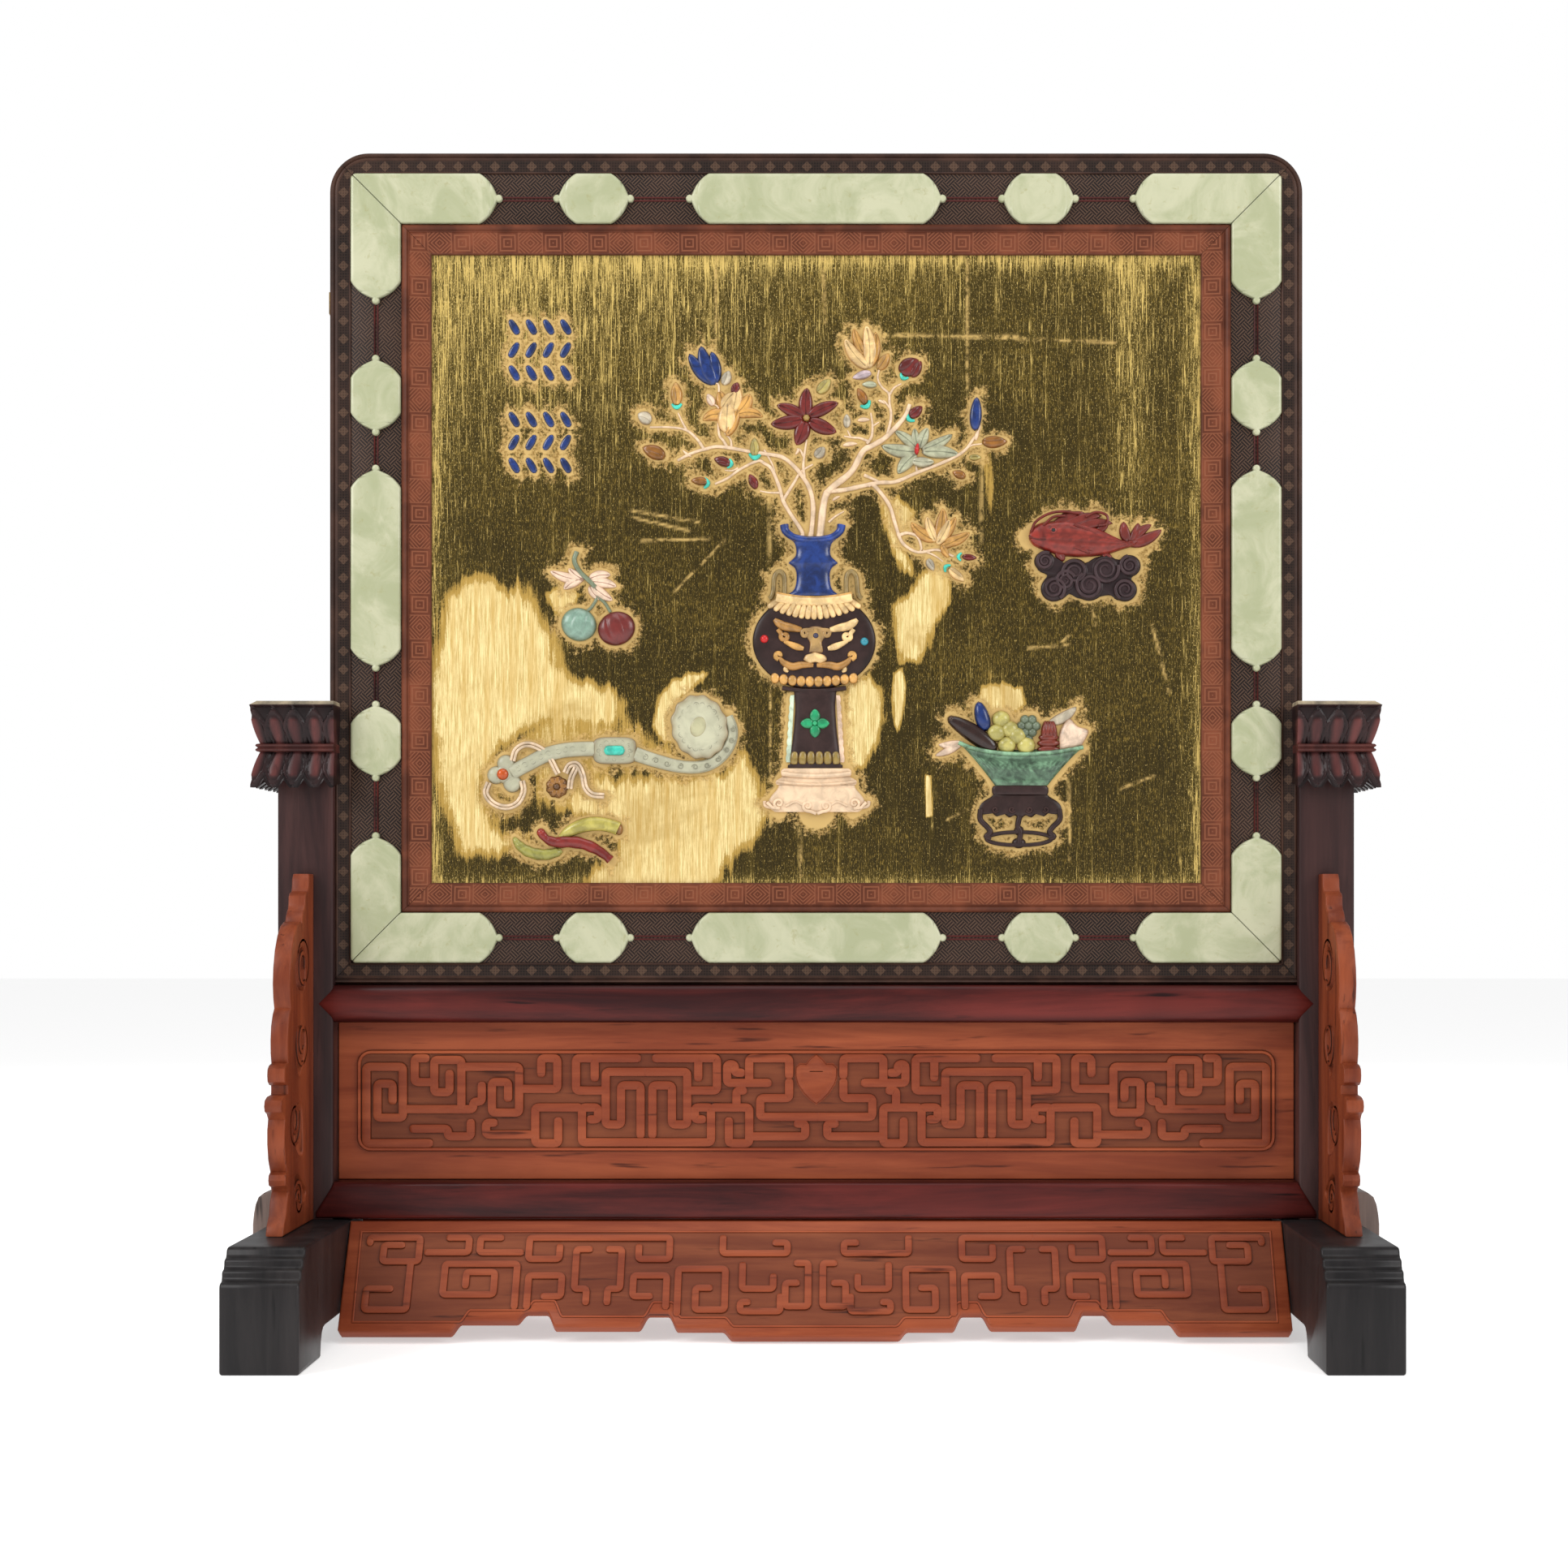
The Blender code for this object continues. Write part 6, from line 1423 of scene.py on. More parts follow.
    # column foot with a four-petalled flower, pierced flanges and a fluted hem
    column = [halfTurned(vase["column"], dark * 1.08, -0.6)]
    trim = []
    for i, t in enumerate(np.linspace(-1, 1, 6)):
        foot, head = (-0.6 + 12.6 * t, 336.4), (-0.6 + 12.0 * t, 344.6)
        trim.append(leaf(foot, head, 5.2, 1.9, linear(150, 126, 66), 0.0, 0.3, 0.0,
            seat=boardY - 3.0 + 1.6 * t * t, ring=False))
    for hand, tint in ((-1, linear(208, 224, 196)), (1, linear(226, 194, 166))):
        z = np.linspace(338, 378, 81)
        f = (z - 338) / 40
        wave = 0.5 * np.abs(np.sin(f * np.pi * 8))
        inner = -0.6 + hand * (14.6 - 2.2 * f)
        outer = inner + hand * (2.6 + wave - 0.4 * f)
        strip = np.vstack([np.c_[inner, z], np.c_[outer, z][::-1]])
        trim.append(plateFlat(strip, 1.1, tint))
    for turn in range(4):
        c, s = math.cos(turn * math.pi / 2), math.sin(turn * math.pi / 2)
        trim.append(leaf((-0.7 + c * 0.8, 361 + s * 0.8), (-0.7 + c * 8.6, 361 + s * 8.6), 6.4, 1.7,
            stones["malachite"], 0.0, 0.6, 0.25, seat=boardY - 3.2, ring=False))
    trim.append(ball(-0.7, 361, 1.5, stones["malachite"] * 1.15, 1.3, boardY - 4.0, count=14))
    makePiece("vase_column_stone", column, darkInlay, ("vase_pillar",), 50)
    makePiece("vase_column_relief", trim, inlayStone, (), 50)

    # pale stand with rolled slabs and scroll feet
    cream = stones["cream"]
    stand = [halfTurned(vase["stand"], cream, 0.3, power=0.5)]
    slabs = np.array(vase["slabs"])
    stand.append(halfTurned(np.c_[slabs, 2.9 + 0 * slabs[:, :1]], cream, 0.0, power=0.45))
    t = np.linspace(-1, 1, 25)
    stand.append(rod(np.c_[0.2 + 23.6 * t, 326.6 - 1.9 * (1 - t**2)], 1.0, cream, 1.6, boardY - 2.1, 8, ring=False))
    stand.append(rod(np.c_[0.0 + 20.4 * t, 331.2 - 1.5 * (1 - t**2)], 1.6, cream * 1.04, 1.2, boardY - 2.0, 8,
        ring=False))
    for hand in (-1, 1):
        for centre, radius, start, way, tail in (
            ((22.5, 313.6), 3.2, -100, 1, ((29.5, 314.2), (26.5, 311.0))),
            ((5.4, 312.0), 3.0, -80, 1, ((0.3, 307.4), (3.2, 308.6))),
        ):
            path = spiral(centre, radius, 1.25, start, way, tail, 22) * (hand, 1) + (0.3, 0)
            stand.append(rod(path, np.linspace(1.15, 0.75, len(path)), cream * 1.03, 1.0, boardY - 2.2, 8, 0.3))
        stand.append(rod(smoothPath([(0.3 + hand * u, z) for u,
            z in ((27, 311.2), (30.4, 312.2), (31.0, 315.0))], 4), 1.2, cream, 1.2, boardY - 0.8, 8))
        stand.append(rod(smoothPath([(0.3 + hand * u, z) for u,
            z in ((8.5, 312.6), (12.5, 314.4), (18.5, 311.8))], 4), 0.8, cream * 0.95, 1.0, boardY - 2.4, 8, 0.3))
    makePiece("vase_stand_stone", stand, boneStone, ("vase_stand",), 50)


def plateFlat(outline, height, tint, seat=None, ease=0.35):
    # a thin flat-topped inlay with an eased edge
    seat = boardY if seat is None else seat
    rings = [(outline, -0.2), (outline, height - ease), (insetOutline(outline, ease * 0.4),
        height - ease * 0.3), (insetOutline(outline, ease), height)]
    halo(outline, 0.6)
    return solidGrid(np.array([np.c_[r[:, 0], np.full(len(r), seat - h), r[:, 1]] for r, h in rings]), tint)


vasePieces(vase)
print("vase")


branches = {
    "lines": (
        (
            2.7,
            (
                (2.1, 470), (2.6, 476), (5, 494.5), (9, 501), (20.9, 510.9), (27.7, 523), (33.5, 526.5),
                (41.7, 531.7), (52.4, 543.3), (55.7, 551),
            ),
        ),
        (
            1.7,
            (
                (7.9, 499.3), (17, 500.2), (28.7, 502.7), (38, 504.5), (47.5, 505.1), (61.1, 510.9),
                (76, 516.7), (87.6, 523), (94.4, 531.7),
            ),
        ),
        (
            1.5,
            (
                (31, 502.9), (34.5, 502.7), (43.2, 491.6), (47, 480), (50, 471), (53.8, 466.4), (61.1, 463),
                (72, 464.5), (81.8, 460.6),
            ),
        ),
        (1.2, ((49, 473), (54, 474.5), (60, 472.5), (62.5, 466), (61.8, 463.5))),
        (1.2, ((28.5, 509), (36, 505.6), (40, 503.6))),
        (
            1.8,
            (
                (-4.2, 470), (-2.8, 475.6), (-1.8, 490.1), (-3.6, 500), (-7.1, 506.6), (-13, 514),
                (-20.2, 519.6), (-30, 521.5), (-39.5, 523), (-57.4, 525.9), (-66.1, 524.4), (-74, 522),
                (-82.5, 517.7),
            ),
        ),
        (
            1.5,
            (
                (-8.4, 472), (-8.9, 476), (-18.7, 491.6), (-22, 502), (-26.4, 512.4), (-31, 516),
                (-35, 517.4), (-45.3, 512.4), (-53, 507), (-60.3, 503.7),
            ),
        ),
        (1.2, ((-19.4, 494.5), (-13.5, 504), (-9, 511), (-2.0, 515.4))),
        (1.2, ((-7.1, 507), (-7.6, 516), (-5.7, 530))), (0.9, ((-7.4, 520), (-9.6, 524), (-11.6, 524.6))),
        (1.1, ((-67, 524.8), (-71, 530.5), (-77.2, 535.6), (-86, 537.4), (-98.9, 537.5))),
        (0.9, ((-77.2, 535.8), (-79.4, 540), (-82.2, 546))),
        (1.1, ((-53.0, 525.6), (-55.2, 529.5), (-57.8, 533.4), (-58.2, 545), (-57.9, 561.2), (-59.6, 564))),
        (0.9, ((-50.4, 525.2), (-51.0, 530), (-54.5, 534))), (0.8, ((-58.0, 549.5), (-61.5, 551.5))),
        (
            1.1,
            (
                (41.9, 531.9), (43.6, 538), (44.6, 544.7), (43.6, 552), (43.2, 557.4), (39, 561.5),
                (36.6, 566.5), (37.4, 571.5),
            ),
        ),
        (0.9, ((43.4, 556.5), (46.4, 561), (50.6, 563.4))),
        (0.8, ((43.8, 549), (40.6, 552.8), (38.4, 553.2))),
        (1.1, ((30.2, 527.5), (33, 532), (33.5, 538.9), (32.5, 546))), (0.8, ((33.4, 538), (37.4, 540.6))),
        (1.0, ((31.2, 529), (26, 531), (21, 531.4), (16.6, 532.2))), (0.8, ((20.6, 531.4), (18.6, 535.6))),
        (0.9, ((7.4, 481.0), (11.5, 484.5), (16.5, 487.4))),
        (0.8, ((94.0, 530.8), (97.4, 537.6), (95.6, 541.0))),
        (0.8, ((87.6, 523), (92.2, 526.6), (98.6, 527.6))),
        (0.9, ((60, 510.6), (59.6, 514.8), (60.8, 518.4))), (0.8, ((63.5, 464), (70, 461.4), (75.5, 457.6))),
        (0.8, ((-31, 524), (-26, 515), (-23.6, 506))),
        (0.8, ((-46.5, 513.2), (-50.2, 511.6), (-54.4, 512.0))),
        (0.8, ((-21.5, 498.5), (-28, 498.6), (-33.5, 499.6))),
    ),
    "leaflets": (
        ((24.4, 541.4), (32.2, 541.8), 3.0), ((15.6, 526.6), (24.8, 527.6), 3.0),
        ((94.9, 529.4), (97.0, 536.4), 2.6), ((9.5, 493.6), (14.4, 496.4), 2.0),
        ((-10.2, 525.2), (-12.6, 521.0), 2.0), ((-74, 519.8), (-79.6, 524.0), 2.0),
        ((36.6, 553.4), (41.0, 551.2), 2.0),
    ),
}


def branchForms(branches):
    forms = []
    cream = stones["cream"]
    for radius, points in branches["lines"]:
        path = smoothPath(points, 6)
        t = np.linspace(0, 1, len(path))
        knots = 1 + 0.12 * np.sin(t * 9 * np.pi + radius * 7) ** 8
        radii = 0.86 * radius * (1 - 0.45 * t) * knots
        shade = np.repeat((1 - 0.18 * np.sin(t * 7 * np.pi + radius) ** 12)[:, None, None], 9, 1)
        forms.append(rod(path, radii, shade * cream, 0.8, boardY, 9, 0.45))
    for base, tip, width in branches["leaflets"]:
        forms.append(leaf(base, tip, width, 1.4, cream, 0.4))
    return forms


# Blossoms and buds: petals as (base, tip, width, height, stone, bow)
blossoms = {
    "petals": (
        ((-51, 546), (-57.5, 559.5), 8.0, 2.0, "gold", 1.2),
        ((-50, 546), (-47, 562.5), 8.6, 2.3, "paleGold", -0.6),
        ((-48, 545), (-39.5, 557.5), 8.6, 2.0, "gold", -1.4),
        ((-52, 543.5), (-67.6, 541.4), 7.4, 2.0, "gold", -2.6),
        ((-49, 544), (-31.6, 543.6), 6.6, 2.0, "gold", 2.4),
        ((-56, 548), (-48.6, 558.0), 7.0, 2.8, "paleGold", 0.8),
        ((-53.4, 533.8), (-52.6, 552.6), 12.0, 3.4, "paleGold", 0.0),
        ((-53.6, 532.0), (-46.4, 549.0), 6.0, 3.0, "gold", -1.0),
        ((-6, 543), (-5.4, 561), 8.6, 2.6, "darkRed", 0.6),
        ((-5, 543.5), (13.4, 552), 8.0, 2.5, "darkRed", 0.8),
        ((-5, 542), (12.2, 534.6), 9.0, 2.6, "darkRed", -0.6),
        ((-6.4, 541.5), (-11.8, 526.8), 9.6, 2.9, "darkRed", 0.5),
        ((-7, 542.4), (-27.2, 539.4), 8.8, 2.5, "darkRed", 0.7),
        ((-7, 543.4), (-23.6, 550.6), 7.6, 2.4, "darkRed", -0.8),
        ((31.6, 572.2), (29.6, 598.4), 9.0, 2.4, "paleGold", -1.2),
        ((31.2, 572.4), (17.0, 590.4), 8.0, 2.8, "paleGold", 1.6),
        ((32.2, 573), (35.2, 594.4), 6.0, 2.2, "gold", -1.6),
        ((28.4, 580.4), (22.4, 596.4), 5.6, 3.0, "gold", 0.8),
        ((61, 523), (38.6, 526.6), 8.4, 2.2, "greyJade", 1.4),
        ((60.6, 524), (46.6, 535.4), 6.6, 2.0, "greyJade", -0.8),
        ((61, 524.6), (58.6, 537.0), 5.6, 2.0, "greyJade", 0.6),
        ((61.6, 524.6), (66.6, 537.2), 7.2, 2.3, "greyJade", 0.6),
        ((62.4, 524), (81.2, 533.4), 6.8, 2.2, "greyJade", -1.2),
        ((62.6, 522.6), (85.2, 521.0), 8.2, 2.3, "greyJade", 1.0),
        ((60, 522), (48.6, 509.6), 8.4, 2.2, "greyJade", -1.0),
        ((56.6, 517.6), (70.4, 517.0), 6.6, 3.4, "paleJade", -0.8),
        ((71, 470), (56.6, 481.0), 7.0, 2.1, "gold", 1.6),
        ((71.4, 469), (66.0, 484.6), 6.2, 2.3, "paleGold", 0.9),
        ((72, 469), (75.4, 489.4), 7.6, 2.0, "gold", -0.8),
        ((73, 469), (83.0, 484.2), 6.2, 2.3, "gold", -0.8),
        ((73.6, 468.6), (91.4, 475.0), 6.8, 2.0, "gold", -1.6),
        ((71.6, 467.4), (79.4, 482.8), 7.0, 3.0, "paleGold", -0.8),
        ((73.8, 466.4), (84.6, 471.0), 4.8, 2.6, "gold", -0.6),
    ),
    "lapis": (
        ((-60.2, 563.0), (-75.6, 581.4), 8.0, 2.4, "lapis", 1.6),
        ((-60.2, 562.6), (-68.6, 586.0), 9.0, 3.0, "lapis", 1.2),
        ((-60.0, 563.2), (-62.6, 582.6), 7.0, 2.4, "lapis", -1.4),
        ((94.4, 535.2), (95.6, 555.6), 7.4, 3.2, "lapis", 0.0),
    ),
    # x, z, length, width, angle of the tip, stone
    "buds": (
        (-83.2, 557.4, 14.4, 7.2, 94, "gold"), (-102.1, 543.2, 9.6, 8.0, 150, "pearl"),
        (-96.6, 522.8, 15, 8.6, 158, "brownGold"), (-47.9, 560.8, 7.4, 5.6, 70, "darkRed"),
        (-53.3, 566.8, 9.4, 6.4, 70, "pearl"), (-62.9, 553.8, 8.2, 5.2, 118, "shell"),
        (4.8, 561.8, 11.6, 7.2, 48, "olive"), (40.2, 576.4, 12.0, 6.6, 58, "gold"),
        (27.2, 556.0, 11.0, 5.6, 118, "brownGold"), (59.4, 546.6, 10.2, 6.4, 42, "darkRed"),
        (106.2, 528.7, 15.4, 7.4, 2, "brownGold"), (94.6, 519.4, 7.6, 3.8, 2, "olive"),
        (85.0, 509.4, 8.6, 5.2, 160, "brownGold"), (-55.8, 517.2, 10.8, 6.2, 162, "darkRed"),
        (-36.6, 525.6, 11.6, 6.2, 92, "olive"), (-69.4, 505.4, 10.6, 5.2, 176, "brownGold"),
        (-37.6, 505.2, 9.8, 5.6, 116, "darkRed"), (18.3, 541.2, 8.6, 5.0, 92, "pearl"),
        (2.4, 522.4, 8.6, 6.6, 50, "pearl"), (91.2, 460.0, 9.0, 4.0, -4, "darkRed"),
        (83.4, 449.6, 12.4, 5.6, -38, "paleGold"), (27.2, 568.4, 12.0, 5.4, 196, "lilac"),
        (31.6, 562.8, 9.2, 4.4, 178, "greyJade"), (55.6, 573.6, 13.6, 11.4, 38, "darkRed"),
        (59.8, 572.0, 11.4, 6.0, 62, "darkRed"), (76.6, 463.4, 8.6, 4.4, -60, "gold"),
        (68.0, 455.6, 8.0, 5.0, -60, "pearl"),
    ),
    "calyxes": (
        (-83.0, 549.2, 5.6, 90), (51.6, 566.6, 5.2, 60), (30.2, 549.8, 6.2, 120), (55.0, 542.2, 5.8, 40),
        (-50.4, 515.4, 5.2, 165), (-36.4, 519.2, 6.6, 90), (-64.4, 504.0, 5.8, 176), (84.6, 460.4, 4.6, -4),
        (77.0, 454.4, 5.0, -38),
    ),
}


def sprigPieces(branches, blossoms):
    makePiece("magnolia_branch_stone", branchForms(branches), boneStone, ("magnolia_branch",), 60)
    forms = []
    for base, tip, width, height, stone, bow in blossoms["petals"]:
        tint = stones[stone]
        forms.append(leaf(base, tip, width, height, tint, bow, 0.62, 0.3, steps=16))
        base, tip = np.array(base), np.array(tip)
        vein = smoothPath([base + (tip - base) * s for s in (0.1, 0.4, 0.7, 0.92)], 3)
        along = (tip - base) / np.linalg.norm(tip - base)
        s = np.linspace(0.1, 0.92, len(vein))
        vein += np.array([-along[1], along[0]]) * (bow * 4 * s * (1 - s))[:, None]
        forms.append(rod(vein, 0.35, tint * 0.55, 1.0, boardY - height * 0.62, 6, 0.1, False))
    for x, z, length, width, angle, stone in blossoms["buds"]:
        forms += bud(x, z, length, width, angle, stones[stone])
    forms.append(ball(-5.8, 542.8, 2.0, linear(186, 152, 84), 2.6, boardY - 1.2, 6))
    forms.append(leaf((59.8, 520.6), (60.6, 528.0), 3.0, 3.6, stones["coral"], 0.3, 0.6, 0.0, seat=boardY - 0.6))
    for x, z, width, angle in blossoms["calyxes"]:
        forms.append(calyx(x, z, width, angle, stones["turquoise"]))
    makePiece("magnolia_blossoms", forms, inlayStone, ("magnolia_branch",), 60)
    lapis = [leaf(base, tip, width, height, stones[stone], bow, 0.55, 0.2, steps=16) for base, tip, width,
        height, stone, bow in blossoms["lapis"]]
    makePiece("magnolia_lapis_buds", lapis, lapisStone, ("magnolia_branch",), 60)


sprigPieces(branches, blossoms)
print("sprig")


# Bowl of fruit on its stand
bowl = {
    "rim": (
        (84.6, 349.4), (92, 346.4), (104, 343.8), (120, 342.6), (136, 343.2), (149, 344.8), (158.6, 346.6),
    ),
    "foot": ((106.4, 324.2), (137.6, 324.2)),
    "grapes": (
        (110.0, 363.6), (107.2, 355.6), (115.2, 357.6), (119.4, 353.8), (113.4, 348.4), (124.8, 348.0),
    ),
}


def bowlPieces(bowl):
    rim = smoothPath(bowl["rim"], 6)
    n = len(rim)
    foot = np.linspace(bowl["foot"][0], bowl["foot"][1], n)
    rows, shades, green = [], [], stones["green"]
    u = np.linspace(-1, 1, n)
    for s in np.linspace(0, 1, 18):
        # from rim to foot: a conical wall, a raised rim, a band of low bosses, a rolled foot
        row = rim + (foot - rim) * (s**0.86, s)
        bulge = 3.2 * np.sqrt(np.maximum(1 - 0.98 * u**4, 0)) * (0.75 + 0.25 * math.sin(math.pi * s))
        rimRise = 0.9 * math.exp(-((s / 0.1) ** 2)) + 0.5 * math.exp(-(((s - 0.93) / 0.06) ** 2))
        boss = 0.55 * (0.2 < s < 0.62) * np.abs(np.sin(u * 26 + 9 * s)) * math.sin(math.pi * (s - 0.2) / 0.42)
        height = bulge + rimRise + boss
        rows.append(np.c_[row[:, 0], boardY - height, row[:, 1]])
        # painted light and shade: the rim and foot bands and the raised bosses lighter, the wall between them darker
        light = 1.2 if s < 0.14 or s > 0.88 else 0.8
        shades.append(np.broadcast_to(green * light, (n, 3)) * (0.74 + 0.6 * (boss > 0.3))[:, None])
        halo(row[::3], 1.5)
    top = np.array(rows)
    back = top[:, ::-1].copy()
    back[..., 1] = boardY + 0.2
    grid = np.concatenate([top, back], 1)
    tint = np.concatenate([np.array(shades), np.array(shades)[:, ::-1]], 1)
    lip = rod(rim + (0, 0.2), 1.3, green * 1.5, 1.2, boardY - 2.6, 8)
    makePiece("fruit_bowl_stone", [solidGrid(grid, tint), lip],
        stoneMaterial("bowl_stone", 0.25, 0.6, 180.0, 0.4), ("fruit_bowl",), 50)

    fruit = [leaf((107.4, 344.6), (78.0, 364.6), 11.0, 4.6, stones["eggplant"], -1.0, 0.42, 0.0, steps=20)]
    fruit.append(ball(80.4, 363.6, 2.4, linear(70, 48, 30), 3.0))
    fruit.append(leaf((101.4, 356.6), (96.4, 374.4), 9.0, 4.4, stones["lapis"], 0.3, 0.5, 0.0))
    for k, (x, z) in enumerate(bowl["grapes"]):
        fruit.append(ball(x, z, 5.3, stones["grape"] * (1.0 + 0.06 * (k % 3)), 4.6, boardY - 0.4 * (k % 2),
            wide=1.06))
    for a in range(7):
        turn = a * 2 * math.pi / 6
        reach = 0.0 if a == 6 else 4.3
        fruit.append(ball(126.3 + reach * math.cos(turn), 359.6 + reach * math.sin(turn), 3.0, stones["mist"],
            3.4 + (a == 6) * 0.8, count=16))
    fruit.append(ball(126.0, 351.6, 3.2, stones["mist"] * 0.9, 2.8, count=16))
    for z, wide in ((345.6, 7.0), (349.4, 6.8), (352.8, 6.0)):
        fruit.append(dome(ellipsePoints(138.2, z, wide, 2.6, 26), 0.8, 2.9, stones["rust"], 2.4, 6))
    for x in (134.8, 137.2, 139.8, 142.2):
        fruit.append(leaf((x, 351.6), (138.6 + (x - 138.6) * 0.55, 363.0), 3.8, 4.0, stones["rust"] * 0.95, 0.0,
            0.4, 0.0))
    fruit.append(leaf((138.0, 361.4), (155.0, 371.2), 6.6, 2.2, stones["pearl"], -1.6, 0.6, 0.3))
    shell = smoothPath([(144.6, 345.0), (144.4, 354), (147.2, 361.0), (151.0, 364.0), (155.4, 359.6),
        (162.0, 357.0), (159.4, 350.4), (156.0, 346.8), (144.6, 345.0)], 4)[:-1]
    fruit.append(dome(shell, 0.8, 2.8, stones["shell"], 2.2, 8))
    for base, tip in (((87.6, 350.8), (70.6, 342.0)), ((86.6, 350.2), (72.6, 348.6))):
        fruit.append(leaf(base, tip, 5.0, 1.8, stones["shell"], 1.0, 0.6, 0.3))
    makePiece("bowl_fruit_stones", fruit, inlayStone, ("bowl_fruit",), 60)

    dark = stones["purple"]
    stand = [halfTurned(((318.8, 16.2, 3.0), (320.2, 16.8, 3.2), (322.6, 16.8, 3.2), (323.9, 16.0, 3.0)),
        dark * 1.1, 121.4, power=0.45)]
    shoulders = [(-16, 319), (-17.5, 317.4), (-22, 314.6), (-24.4, 311.2), (-24.0, 307.6), (-21.0, 307.0),
        (-17.6, 308.4), (-14.0, 305.8), (-10.2, 307.6), (-6.6, 305.2),
                 (-3.2, 306.4), (0, 304.4)]
    right = [(-x, z) for x, z in shoulders[::-1][1:]]
    board = smoothPath(np.array(shoulders + right) + (121.4, 0), 3)
    stand.append(dome(board, 1.6, 1.5, dark, 3.5, 6))
    for hand in (-1, 1):
        leg = [(23.4, 310.0), (23.6, 304.0), (19.6, 299.6), (17.6, 296.4), (20.2, 293.8), (17.2, 292.6)]
        stand.append(rod(smoothPath([(121.2 + hand * x, z) for x, z in leg], 5), 1.7, dark, 0.9, boardY - 0.8, 8))
        for x in (5.2, 15.0):
            ring = spiral((x, 309.8), 1.9, 1.2, 200, 1, (), 16) * (hand, 1) + (121.4, 0)
            stand.append(rod(ring, 0.7, dark * 1.5, 1.0, boardY - 2.9, 6, 0.3, False))
    a = np.linspace(0, 2 * np.pi, 49)
    stand.append(rod(np.c_[120.6 + 19.4 * np.cos(a), 292.6 + 3.9 * np.sin(a)], 1.2, dark, 1.0, boardY - 0.6, 8))
    stand.append(rod(smoothPath([(121, 306), (119.8, 300), (121.4, 296.6), (120.6, 289.4)], 5), 1.7, dark, 1.0,
        boardY - 0.8, 8))
    stand.append(ball(120.6, 297.4, 3.0, dark, 2.4))
    stand.append(ball(120.6, 290.0, 3.2, dark, 2.4, wide=1.3))
    makePiece("bowl_stand_carved", stand, darkInlay, ("bowl_stand",), 50)


bowlPieces(bowl)
print("bowl")


# Carp with a lotus on its back, on a stand of curled clouds
carp = {
    "back": (
        (126.6, 472.4), (127.4, 476.4), (132.0, 480.0), (139.5, 481.6), (148, 482.2), (158, 480.4),
        (168, 477.0), (177, 472.4), (184, 469.4), (190, 470.6),
    ),
    "belly": (
        (126.6, 470.6), (129.4, 467.0), (135.5, 464.2), (144, 461.4), (154, 460.2), (164, 460.4),
        (174, 462.0), (182, 464.6), (188, 466.4), (191, 468.4),
    ),
    "cloudBase": (
        (131.0, 461.0), (136.0, 463.2), (141.5, 459.6), (146.0, 456.0), (152.0, 458.6), (160.0, 456.6),
        (166.0, 459.8), (173.0, 460.6), (180.0, 458.6), (186.6, 460.8), (192.0, 456.6), (191.6, 451.0),
        (187.4, 447.4), (189.8, 441.4), (185.6, 435.0), (179.0, 434.6), (175.4, 437.4), (169.6, 436.8),
        (163.0, 434.8), (155.4, 435.8), (150.6, 438.2), (146.4, 435.0), (139.8, 434.2), (134.6, 438.4),
        (134.6, 444.8), (137.4, 449.4), (131.8, 452.6), (131.0, 461.0),
    ),
    "clouds": (
        (135.9, 457.6, 6.2, 60, 1), (153.7, 451.0, 8.6, 200, -1), (141.4, 441.2, 7.8, 300, 1),
        (162.4, 443.0, 9.2, 120, 1), (172.0, 452.4, 9.0, 20, -1), (183.6, 440.6, 7.2, 240, -1),
        (186.2, 454.8, 6.8, 100, 1), (148.0, 446.0, 7.0, 20, 1),
    ),
}


